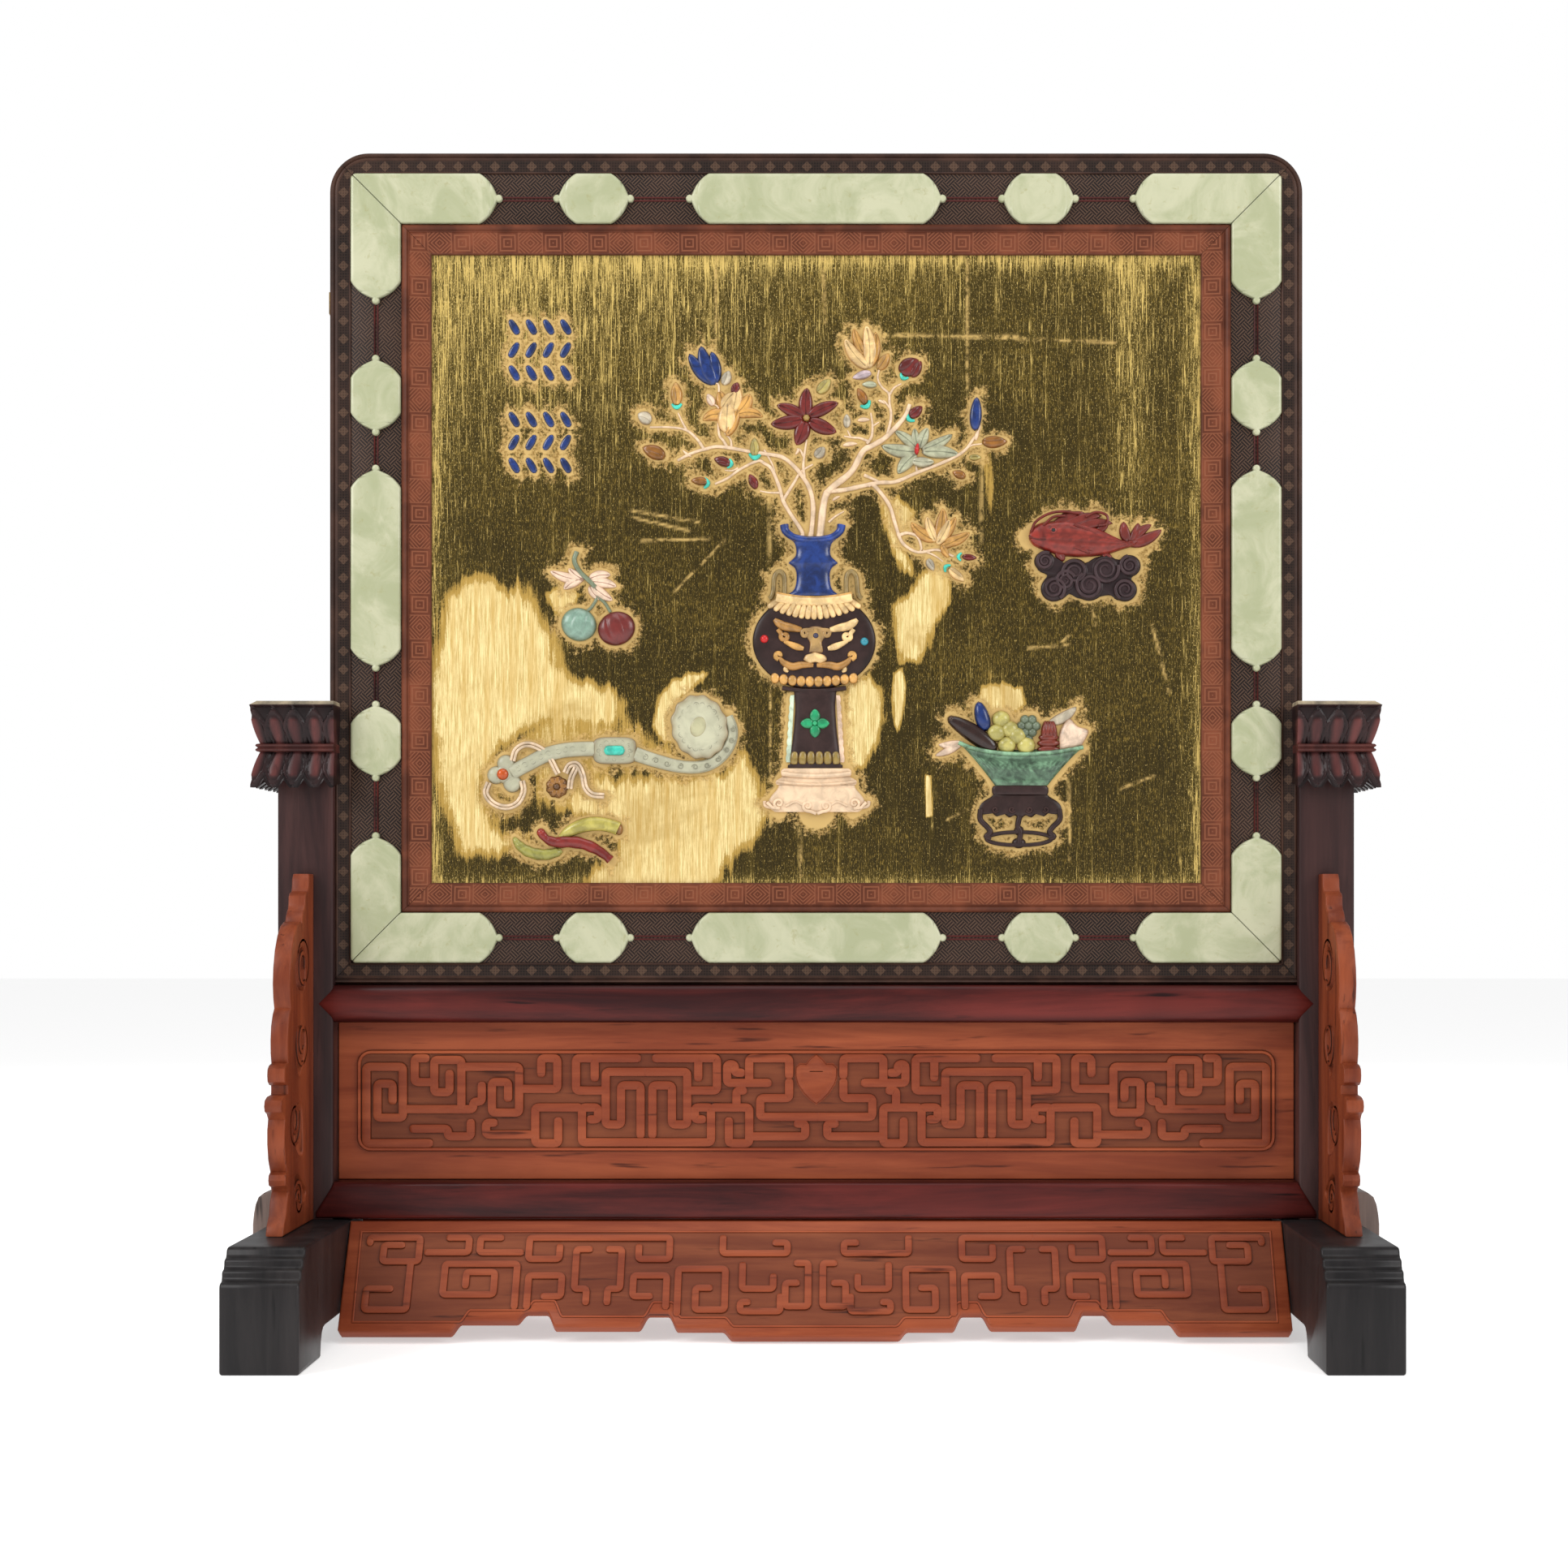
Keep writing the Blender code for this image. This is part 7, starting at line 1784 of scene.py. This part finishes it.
def carpPieces(carp):
    back, belly = smoothPath(carp["back"], 5), smoothPath(carp["belly"], 5)
    n = len(back)
    v = np.linspace(0, 1, 19)[None, :, None]
    flat = belly[:, None] + (back - belly)[:, None] * v
    s = np.linspace(0, 1, n)[:, None]
    q = np.linspace(-1, 1, 19)[None]
    scales = np.sin(s * 46 + (np.round(q * 5) % 2) * np.pi / 2) * np.cos(q * 5 * np.pi / 2)
    scales = np.abs(scales) * (s > 0.26) * (s < 0.94)
    gill = np.exp(-(((s - 0.24 + 0.05 * q**2) / 0.02) ** 2))
    swell = 0.35 + 0.65 * np.sin(np.pi * np.clip(s * 0.84 + 0.14, 0, 1)) ** 0.6
    height = 0.5 + 4.4 * np.sqrt(np.maximum(1 - q**2, 0)) ** 0.9 * swell + 0.5 * scales - 0.6 * gill
    top = np.stack([flat[..., 0], boardY - height, flat[..., 1]], -1)
    under = top[:, ::-1][:, ::6].copy()
    under[..., 1] = boardY + 0.2
    grid = np.concatenate([top, under], 1)
    red = linear(128, 44, 34)
    # painted light and shade: scale crowns lighter, the hollows between them and the gill groove darker; the head is
    # made lighter and redder
    tone = 0.72 + 0.55 * scales - 0.45 * gill + 0.28 * (s < 0.25)
    shade = np.concatenate([tone[..., None] * red, np.broadcast_to(red, (n, under.shape[1], 3))], 1)
    shade[:14] *= 1.2, 0.95, 0.9
    forms = [solidGrid(grid, shade)]
    halo(back, 1.5)
    halo(belly, 1.5)
    halo((back + belly) / 2, 5.0)
    deep = red * 0.85
    for base, tip, width, bow in (
        ((186, 467.4), (205.6, 476.6), 7.0, -1.4), ((186, 467.8), (199.6, 479.6), 6.0, 1.2),
        ((186, 468.6), (183.0, 481.4), 6.6, 1.0), ((187, 468.6), (191.6, 480.6), 6.0, -1.0),
        ((186, 466.4), (198.6, 470.2), 5.0, 1.2), ((142, 464.4), (146.8, 457.4), 6.0, 1.0),
        ((171, 463.4), (177.4, 457.0), 5.6, -1.0), ((148, 468), (160.4, 463.2), 6.2, 1.6),
    ):
        forms.append(leaf(base, tip, width, 2.4, deep, bow, 0.6, 0.35))
    for base, tip, width, bow, lift in (
        ((140, 477.6), (160, 486.2), 6.4, 1.5, 2.2), ((146, 476), (170, 484.6), 6.4, 2.4, 2.6),
        ((152, 474.6), (176.4, 480.0), 6.0, 2.6, 2.8), ((146, 478.0), (151.6, 488.0), 6.0, 1.0, 1.6),
        ((158, 478.6), (164.6, 487.4), 5.4, -1.4, 1.6), ((166, 475.0), (173.4, 483.0), 5.0, -1.4, 1.6),
    ):
        forms.append(leaf(base, tip, width, 2.2, red * 0.78, bow, 0.6, 0.3, lift=lift * 0.6))
    lines = (
        ((127.6, 474.6), (130.4, 480.6), (137.6, 485.2), (146, 486.8), (156, 485.6)),
        ((135, 478.6), (141, 483.6), (148, 484.2)), ((126.4, 471.6), (131, 470.8), (138.0, 470.8)),
        ((160, 483.6), (166.4, 486.4), (172.6, 484.4), (172.4, 479.6), (167.6, 478.6)),
        ((150.6, 477.4), (158.6, 474.2), (167.6, 468.6)), ((153, 479.0), (161.4, 475.6), (170, 471.4)),
    )
    for points in lines:
        forms.append(rod(smoothPath(points, 5), 0.85, red * 0.7, 1.2, boardY - 3.4, 7, 0.2))
    forms.append(ball(140.8, 475.6, 2.2, red * 1.35, 0.9, boardY - 4.0, count=16))
    forms.append(ball(140.8, 475.6, 1.3, (0.01, 0.008, 0.008), 1.2, boardY - 4.3, count=14))
    mouth = smoothPath(((126.2, 472.4), (129.6, 470.6), (134.0, 469.8), (138.4, 470.8)), 5)
    forms.append(rod(mouth, 0.55, red * 0.4, 1.0, boardY - 3.9, 7, 0.2, False))
    forms += [leaf((150, 467.0), (162.6 + 2 * k, 461.8 + 1.6 * k), 3.4, 1.6, red * 0.9, 0.8, 0.6, 0.2,
        seat=boardY - 3.4) for k in range(3)]
    makePiece("carp_carved", forms, stoneMaterial("carp_stone", 0.38, 0.3, 150.0, 0.25), ("carp",), 50)

    dark = linear(60, 44, 46)
    stand = [dome(smoothPath(carp["cloudBase"], 3)[:-1], 1.0, 1.2, dark * 0.62, 3.0, 6)]
    for x, z, radius, start, way in carp["clouds"]:
        stand.append(dome(ellipsePoints(x, z, radius, radius * 0.96, 36), 1.2, 1.7, dark * 0.8, 3.0, 7))
        stand.append(rod(spiral((x, z), radius - 1.1, 1.9, start, way, (), 44), np.linspace(1.25, 0.7, 44),
            dark * 1.12, 1.1, boardY - 2.5, 8, 0.3, False))
        stand.append(rod(spiral((x, z), radius - 3.3, 1.1, start + 40, way, (), 26), 0.5, dark, 1.1,
            boardY - 2.9, 6, 0.3, False))
    makePiece("carp_stand_carved", stand, darkInlay, ("carp_stand",), 50)


carpPieces(carp)
print("carp")


# Sceptre with its cord
sceptre = {
    "shaft": (
        (-181, 331.6), (-176, 334.6), (-170.7, 337.3), (-165, 340.4), (-158.9, 343.0), (-152, 344.7),
        (-147.2, 345.4), (-140, 345.9), (-132, 346.0),
    ),
    "neck": (
        (-107.6, 343.0), (-100, 340.4), (-92, 338.0), (-82.8, 335.8), (-72, 335.0), (-63, 336.8),
        (-55.6, 342.2), (-50.8, 349.6), (-49.6, 357.6), (-52.4, 365.2),
    ),
    "head": (-69.4, 359.0, 16.6, 19.2),
    "plaque": (-119.8, 344.9, 12.8, 8.0),
    "trefoil": ((-184.6, 337.2, 5.4), (-190.4, 330.4, 5.4), (-180.8, 325.6, 5.6), (-185.0, 331.4, 6.2)),
    "cords": (
        (
            (-180.6, 338.8), (-178.6, 345.0), (-173.6, 348.4), (-167.0, 347.6), (-159.6, 342.4),
            (-153.4, 331.0),
        ),
        (
            (-194.6, 326.0), (-196.4, 319.6), (-192.2, 313.8), (-184.8, 311.2), (-177.8, 313.6),
            (-174.0, 320.4), (-174.8, 327.0),
        ),
        (
            (-149.2, 331.6), (-146.6, 336.2), (-142.0, 336.6), (-138.8, 330.4), (-137.2, 323.0),
            (-133.0, 318.8), (-126.0, 318.0),
        ),
        ((-146.6, 322.2), (-145.6, 328.6), (-142.6, 335.0)),
    ),
    "rosette": (-154.2, 323.4, 6.6),
}


def curlRing(centre, reach, count, radius, turns, step, thick, tint, depth):
    # small engraved curls round an oval, turned in and out by turns
    curls = []
    for k, t in enumerate(np.arange(count) * 2 * math.pi / count):
        place = centre[0] + reach[0] * math.cos(t), centre[1] + reach[1] * math.sin(t)
        curl = spiral(place, radius, turns, k * step, 1 if k % 2 else -1, (), 16 if radius > 1.6 else 14)
        curls.append(rod(curl, thick, tint, 1.0, boardY - depth, 5, 0.1, False))
    return curls


def sceptrePieces(sceptre):
    jade = stones["paleJade"]
    grey = jade * 0.86
    forms = []
    for name, wide in (("shaft", 4.4), ("neck", 4.1)):
        path = smoothPath(sceptre[name], 5)
        taper = np.ones(len(path)) if name == "shaft" else np.linspace(1.05, 0.72, len(path))
        forms.append(rod(path, wide * taper, grey, 0.42, boardY - 0.6, 12, 0.2))
        for hand in (-1, 1):
            edge = path + normals2d(path) * (hand * (wide * taper - 0.9))[:, None]
            forms.append(rod(edge, 0.32, jade * 0.66, 1.0, boardY - 2.0, 6, 0.2, False))
        for k in range(4, len(path) - 3, 4):
            scroll = spiral(path[k], 1.9, 1.2, 90 * (k % 3), 1 if k % 2 else -1, (), 16)
            forms.append(rod(scroll, 0.24, jade * 0.55, 1.0, boardY - 3.0, 5, 0.2, False))
    x, z, wide, tall = sceptre["head"]
    a = np.linspace(0, 2 * np.pi, 96, endpoint=False)
    lobed = 1 + 0.028 * np.cos(12 * a)
    outline = np.c_[x + wide * lobed * np.cos(a), z + tall * lobed * np.sin(a)]
    turn = math.radians(18)
    outline = (outline - (x, z)) @ np.array([[math.cos(turn), math.sin(turn)],
        [-math.sin(turn), math.cos(turn)]]) + (x, z)

    def engraved(flat, f):
        # a sunk ring inside the rim and small curls on the ring's ground
        return -0.35 * np.exp(-(((f - 0.86) / 0.03) ** 2)) - 0.5 * np.exp(-(((f - 0.36) / 0.03) ** 2))

    forms.append(dome(outline, 2.2, 2.0, jade * 1.02, 3.2, 16, engraved))
    forms += curlRing((x, z), (0.68 * wide, 0.68 * tall), 18, 1.9, 1.3, 67, 0.26, jade * 0.6, 3.6)
    forms.append(dome(ellipsePoints(x - 0.6, z, 5.0, 6.6, 32, -18), 3.0, 1.3,
        jade * (0.95, 0.93, 0.8), 2.2, 7, None, boardY - 0.6, False))
    x, z, wide, tall = sceptre["plaque"]
    a = np.linspace(0, 2 * np.pi, 56, endpoint=False)
    c, s = np.cos(a), np.sin(a)
    plaque = np.c_[x + wide * np.sign(c) * np.abs(c) ** 0.45, z + tall * np.sign(s) * np.abs(s) ** 0.45]
    forms.append(dome(plaque, 2.4, 1.0, grey, 4.0, 9))
    forms += curlRing((x, z), (0.72 * wide, 0.66 * tall), 12, 1.5, 1.2, 50, 0.24, jade * 0.55, 3.1)
    for x, z, radius in sceptre["trefoil"]:
        forms.append(ball(x, z, radius, grey * 1.02, 2.9, count=28))
    bar = np.c_[np.linspace(-126, -113.6, 15), np.full(15, 344.9)]
    radii = 2.9 * np.sqrt(np.maximum(1 - (np.abs(np.linspace(-1, 1, 15)) ** 6), 0.02))
    beads = [rod(bar, radii, stones["turquoise"], 0.6, boardY - 3.3, 12, 0.2, False),
        ball(-186.2, 330.8, 3.5, stones["carnelian"], 2.4, boardY - 2.6, count=20)]
    makePiece("ruyi_sceptre_carved", forms, stoneMaterial("pale_jade_stone", 0.34, 0.16, 120.0, 0.3, 0.05),
        ("ruyi_sceptre",), 50)
    cream = linear(222, 196, 164)
    cords = []
    for points in sceptre["cords"]:
        path = smoothPath(points, 6)
        side = normals2d(path)
        for hand in (-1, 1):
            cords.append(rod(path + side * hand * 0.95, 0.95, cream * (1.0 if hand > 0 else 0.92), 1.0,
                boardY - 1.4, 7, 0.4))
    x, z, radius = sceptre["rosette"]
    cords.append(ball(x, z, radius, linear(140, 96, 44), 2.2, None, 9, 36))
    for k in range(9):
        t = k * 2 * math.pi / 9
        ray = np.array([math.cos(t), math.sin(t)])
        cords.append(leaf((x, z) + 1.6 * ray, (x, z) + 6.2 * ray, 3.6, 1.5, linear(150, 104, 50), 0.4, 0.6, 0.2,
                          seat=boardY - 1.6, ring=False))
    cords.append(ball(x, z, 1.9, linear(92, 62, 34), 1.6, boardY - 2.2, count=14))
    makePiece("ruyi_cord_and_stones", cords + beads, inlayStone, ("ruyi_sceptre",), 60)


sceptrePieces(sceptre)


# Fruit spray and seed pods
spray = {
    "fruits": ((-141.2, 420.0, 10.6, 9.8, "bluegreen", -24), (-118.8, 417.6, 11.2, 10.0, "darkRed", 20)),
    "stems": (
        (1.5, ((-142.4, 463.4), (-143.9, 458.0), (-140.6, 451.4), (-134.6, 445.6), (-131.4, 442.2))),
        (1.0, ((-131.8, 443.6), (-130.4, 436.6), (-133.6, 430.4), (-137.0, 427.6))),
        (1.0, ((-130.4, 437.0), (-125.6, 432.6), (-122.4, 427.4))),
    ),
    "leaves": (
        ((-138.4, 446.2), (-158.6, 452.0), 6.4, 1.2), ((-139.0, 447.6), (-150.4, 441.0), 6.4, -0.8),
        ((-138.2, 446.6), (-147.4, 453.6), 5.6, 0.8), ((-135.4, 447.0), (-122.2, 449.6), 6.4, 1.0),
        ((-134.6, 445.6), (-118.6, 442.6), 6.6, 0.8), ((-134.0, 444.0), (-121.0, 434.4), 6.6, -0.8),
        ((-135.0, 443.0), (-128.4, 434.8), 5.0, -0.8),
    ),
}


def sprayPiece(spray):
    forms = []
    for x, z, wide, tall, stone, tilt in spray["fruits"]:
        turn = math.radians(tilt)

        def grooves(flat, f):
            # two curved grooves from stalk to tip
            u = ((flat[..., 0] - x) * math.cos(turn) + (flat[..., 1] - z) * math.sin(turn)) / wide
            v = (-(flat[..., 0] - x) * math.sin(turn) + (flat[..., 1] - z) * math.cos(turn)) / tall
            bow = 0.42 * np.sqrt(np.maximum(1 - v**2, 0))
            lines = sum(np.exp(-(((u + hand * bow) / 0.07) ** 2)) for hand in (-1, 1))
            return -0.8 * lines * np.sqrt(np.maximum(1 - f**2, 0))

        forms.append(dome(ellipsePoints(x, z, wide, tall, 60, tilt), 0.8, 4.4, stones[stone], 2.2, 18, grooves))
    for radius, points in spray["stems"]:
        forms.append(rod(smoothPath(points, 5), radius, linear(120, 130, 104), 1.0, boardY, 8))
    for base, tip, width, bow in spray["leaves"]:
        forms.append(leaf(base, tip, width, 1.9, stones["shell"] * 1.02, bow, 0.6, 0.3))
        base, tip = np.array(base), np.array(tip)
        forms.append(rod(smoothPath([base, (base + tip) / 2 + (tip - base)[::-1] * (-1,
            1) / np.linalg.norm(tip - base) * bow * 0.9, tip - (tip - base) * 0.08], 4), 0.3,
                         linear(170, 130, 110), 1.0, boardY - 1.2, 5, 0.1, False))
    makePiece("fruit_spray_stones", forms, shellStone, ("fruit_spray",), 55)


pods = {
    "long": ((-152.6, 293.4), (-146, 297.4), (-138, 300.6), (-129, 301.4), (-121, 299.8), (-117.6, 298.4)),
    "red": (
        (-163.4, 295.6), (-160, 292.2), (-154.6, 290.4), (-147, 290.6), (-139, 289.6), (-131.4, 286.6),
        (-125.6, 282.8), (-122.2, 279.8),
    ),
    "olive": (
        (-180.0, 293.4), (-176.4, 288.4), (-170.4, 284.6), (-162, 283.0), (-154.4, 284.4), (-151.6, 285.8),
    ),
}


def podPiece(pods):
    forms = []
    for key, wide, tint, ends in (("long", 4.3, stones["bean"], (0.3, 0.95)),
            ("olive", 3.4, linear(150, 146, 72), (0.2, 0.5)), ("red", 3.5, linear(128, 40, 34), (0.7, 0.75))):
        path = smoothPath(pods[key], 6)
        t = np.linspace(0, 1, len(path))
        swell = np.sin(np.pi * t) ** 0.4
        radii = wide * np.maximum(swell, np.where(t < 0.5, *ends))
        rings = 1 + 0.05 * np.sin(t * 40)
        lift = 1.4 if key == "red" else 0.2
        forms.append(rod(path, radii * (rings if key != "long" else 1), tint, 0.72, boardY - lift, 12, 0.3))
    forms.append(ball(-163.6, 296.2, 2.6, linear(150, 52, 40), 2.4, boardY - 1.4, count=18))
    forms.append(ball(-117.4, 298.2, 3.6, linear(140, 100, 56), 2.8, count=18, wide=0.7))
    makePiece("fruit_pods_stones", forms, inlayStone, ("fruit_pods",), 55)


sprayPiece(spray)
podPiece(pods)
print("sceptre, spray, pods")


# Gilt board: streaked, rubbed bright in patches and round every inlay; rows of plain strokes on it
strokes = {
    "middle": -164.5,
    "top": 604.0,
    "field": 41.0,
    "between": 14.0,
    "rows": 3,
    "inRow": 4,
    "length": 11.0,
    "width": 4.6,
}
board = {
    "step": 1.3,
    "depth": 6.0,
    "halo": 11.0,
    "visible": (228.4, 186.4),
    # where the gold is rubbed bright: strength, softness and an outline of each patch
    "patches": (
        (
            1.0, 11.0,
            (
                (-217, 436), (-208, 443), (-196, 446), (-184, 439), (-173, 444), (-167, 429), (-159, 414),
                (-154, 395), (-147, 387), (-132, 383), (-120, 381), (-116, 371), (-118, 359), (-131, 361),
                (-148, 364), (-163, 365), (-177, 356), (-190, 345), (-199, 338), (-200, 321), (-196, 302),
                (-186, 294), (-172, 294), (-177, 288), (-190, 284), (-202, 287), (-211, 285), (-215, 295),
                (-221, 316), (-225, 340), (-228, 367), (-229, 384), (-227, 402), (-221, 422),
            ),
        ),
        (
            0.46, 10.0,
            (
                (-199, 343), (-163, 372), (-120, 385), (-99, 362), (-82, 350), (-76, 330), (-119, 330),
                (-148, 316), (-177, 300), (-196, 286), (-206, 316),
            ),
        ),
        (
            0.98, 10.0,
            (
                (-153, 314), (-126, 328), (-104, 327), (-75, 326), (-54, 332), (-42, 342), (-36, 327),
                (-30, 309), (-34, 294), (-49, 284), (-58, 270), (-67, 262), (-137, 262), (-131, 273),
                (-116, 279), (-115, 294), (-124, 303), (-138, 306),
            ),
        ),
        (
            0.85, 3.5,
            (
                (-98, 360), (-94, 377), (-85, 387), (-74, 392), (-65, 391), (-74, 381), (-84, 372),
                (-87, 362), (-83, 350), (-92, 350),
            ),
        ),
        (
            0.94, 6.0,
            (
                (19, 385), (31, 390), (39, 381), (40, 364), (37, 349), (30, 336), (21, 332), (17, 343),
                (15, 364),
            ),
        ),
        (0.9, 2.5, ((46, 391), (51, 394), (54, 384), (52, 367), (49, 354), (46, 360), (45, 378))),
        (
            0.97, 6.0,
            (
                (46, 431), (54, 437), (64, 451), (75, 456), (79, 447), (78, 434), (70, 422), (66, 410),
                (60, 398), (51, 398), (48, 408), (47, 420),
            ),
        ),
        (
            0.75, 4.0,
            (
                (38, 492), (49, 496), (58, 487), (55, 478), (51, 468), (57, 459), (60, 447), (51, 451),
                (45, 464), (41, 476),
            ),
        ),
        (0.85, 3.0, ((95, 372), (99, 382), (110, 384), (122, 382), (124, 373), (115, 365), (101, 366))),
        (0.9, 1.2, ((65, 331), (68, 330), (69, 306), (65, 305))),
        (0.7, 3.0, ((-162, 439), (-149, 444), (-140, 438), (-146, 428), (-154, 425), (-159, 431))),
        (0.5, 2.0, ((97, 522), (105, 524), (107, 502), (105, 483), (102, 482), (100, 502))),
    ),
    # thin scratches: x and z from, x and z to
    "scratches": (
        (38, 593, 178, 588), (40, 592, 120, 592), (-110, 488, -70, 481), (-110, 484, -76, 476),
        (-104, 470, -64, 471), (126, 406, 150, 408), (144, 408, 150, 413), (78, 304, 98, 314),
        (180, 322, 201, 330), (-28, 500, -27, 300), (99, 560, 98, 468), (38, 600, 36, 560),
        (-84, 440, -55, 470), (150, 330, 151, 280), (200, 420, 210, 380), (-60, 640, -59, 560),
        (4, 640, 5, 600), (90, 640, 90, 560), (-10, 300, -9, 270), (164, 450, 166, 420),
    ),
}


def outlineDistance(x, z, outline):
    # distance to the nearest side of an outline, below 0 inside it
    p = np.array(outline, float)
    near, inside = np.full(x.shape, 1e3), np.zeros(x.shape, bool)
    for (ax, az), (bx, bz) in zip(p, np.roll(p, -1, 0)):
        t = np.clip(((x - ax) * (bx - ax) + (z - az) * (bz - az)) / ((bx - ax) ** 2 + (bz - az) ** 2), 0, 1)
        near = np.minimum(near, np.hypot(x - ax - t * (bx - ax), z - az - t * (bz - az)))
        if az != bz:
            inside ^= ((z >= az) != (z >= bz)) & (x < ax + (z - az) * (bx - ax) / (bz - az))
    return np.where(inside, -near, near)


def boardEdge(x, z):
    # distance past the nearest visible edge of the board, below 0 on it
    return np.maximum(np.abs(x) - board["visible"][0], np.abs(z - frameMiddle) - board["visible"][1])


def strokePiece(strokes):
    forms = []
    for field in range(2):
        top = strokes["top"] - field * (strokes["field"] + strokes["between"])
        for row in range(strokes["rows"]):
            z = top - (row + 0.5) * strokes["field"] / strokes["rows"]
            tilt = math.radians(60 if row % 2 else 120)
            reach = np.array([math.cos(tilt), math.sin(tilt)]) * (strokes["length"] / 2 - 0.2)
            for i in range(strokes["inRow"]):
                x = strokes["middle"] + (i + 0.5 - strokes["inRow"] / 2) * strokes["field"] / strokes["inRow"]
                forms.append(leaf((x, z) - reach, (x, z) + reach, strokes["width"], 1.2, stones["lapis"], 0.0, 0.36))
    makePiece("inscription_strokes", forms, lapisStone, ("gilt_board",), 60)


def giltPiece(board):
    x, z = [np.linspace(boardLow[axis], boardHigh[axis], int((boardHigh[axis] - boardLow[axis]) / board["step"]) + 1)
            for axis in (0, 2)]
    gridX, gridZ = np.meshgrid(x, z)
    near = np.full(gridX.shape, 1e3)
    reach = board["halo"] + 1.0
    for cx, cz, radius in np.concatenate(haloDiscs):
        i0, i1 = np.searchsorted(z, (cz - radius - reach, cz + radius + reach))
        j0, j1 = np.searchsorted(x, (cx - radius - reach, cx + radius + reach))
        part = np.hypot(gridX[i0:i1, j0:j1] - cx, gridZ[i0:i1, j0:j1] - cz) - radius
        near[i0:i1, j0:j1] = np.minimum(near[i0:i1, j0:j1], part)
    haloShare = np.clip(1 - near / board["halo"], 0, 1)
    worn = np.zeros(gridX.shape)
    for strength, soft, outline in board["patches"]:
        past = outlineDistance(gridX, gridZ, outline)
        worn = np.maximum(worn, strength * np.clip(0.5 - past / (2 * soft), 0, 1))
    scratch = np.zeros(gridX.shape)
    for x0, z0, x1, z1 in board["scratches"]:
        along = np.array([x1 - x0, z1 - z0])
        t = np.clip(((gridX - x0) * along[0] + (gridZ - z0) * along[1]) / (along @ along), 0, 1)
        past = np.hypot(gridX - x0 - t * along[0], gridZ - z0 - t * along[1])
        scratch = np.maximum(scratch, np.clip(1.15 - past, 0, 1))
    # the streak field: bright streaks crowd and a painted sheen lies to the upper left, along the top and sides, in
    # a strip on the right and by the board's edge
    left = np.clip((-gridX + 60) / 240, 0, 1)
    upper = np.clip((gridZ - 470) / 150, 0, 1)
    edges = np.maximum(np.clip((np.abs(gridX) - 205) / 24, 0, 1), np.clip((gridZ - 615) / 28, 0, 1))
    strip = np.exp(-(((gridX - 187) / 12) ** 2)) * np.clip((gridZ - 380) / 150, 0, 1)
    brink = np.clip((boardEdge(gridX, gridZ) + 12) / 12, 0, 1) ** 2
    streakAndSheen = np.clip(0.25 + 0.75 * left * upper + 0.5 * upper + 0.4 * edges + 0.7 * strip + 1.1 * brink, 0, 1.7)
    points = np.stack([gridX, np.full(gridX.shape, boardY), gridZ], -1).reshape(-1, 3)
    rows, columns = gridX.shape
    number = np.arange(rows * columns).reshape(rows, columns)
    rim = np.r_[number[0], number[1:, -1], number[-1, -2::-1], number[-2:0:-1, 0]]
    base, count = len(points), len(rim)
    behind = base + np.arange(count)
    faces = gridFaces(rows, columns).tolist()
    faces += np.stack([rim, np.roll(rim, -1), np.roll(behind, -1), behind], -1).tolist() + [behind.tolist()]
    points = np.vstack([points, points[rim] + (0, board["depth"], 0)])
    fields = {"halo": haloShare, "worn": worn, "streakAndSheen": streakAndSheen, "scratch": scratch}
    extra = {label: np.r_[values.ravel(), np.zeros(count)] for label, values in fields.items()}
    form = points, faces, np.ones((len(points), 3))
    makePiece("gilt_board_ground", [form], giltGround, ("gilt_board",), 40, extra=extra)


strokePiece(strokes)
giltPiece(board)
print("gilt board")


# Finishes for the solids that stay as they are
finishes = {"back_board": lacquerBack, "brass_catch": brassMetal}
for name, material in finishes.items():
    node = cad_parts[name]
    node.data.materials.clear()
    node.data.materials.append(material)


# Floor
def floorPiece(size, material):
    plane = bpy.data.meshes.new("floor")
    plane.from_pydata([(-size, -size, 0), (size, -size, 0), (size, size, 0), (-size, size, 0)], [], [(0, 1, 2, 3)])
    plane.materials.append(material)
    piece = bpy.data.objects.new("floor", plane)
    bpy.context.scene.collection.objects.link(piece)


floorPaint = Recipe("pale_floor", 0.9, specular=0.1)
floorPaint.settings({"Emission Color": np.ones(3), "Emission Strength": 0.5})
floorPiece(8.0, floorPaint.finish(np.full(3, 0.86)))
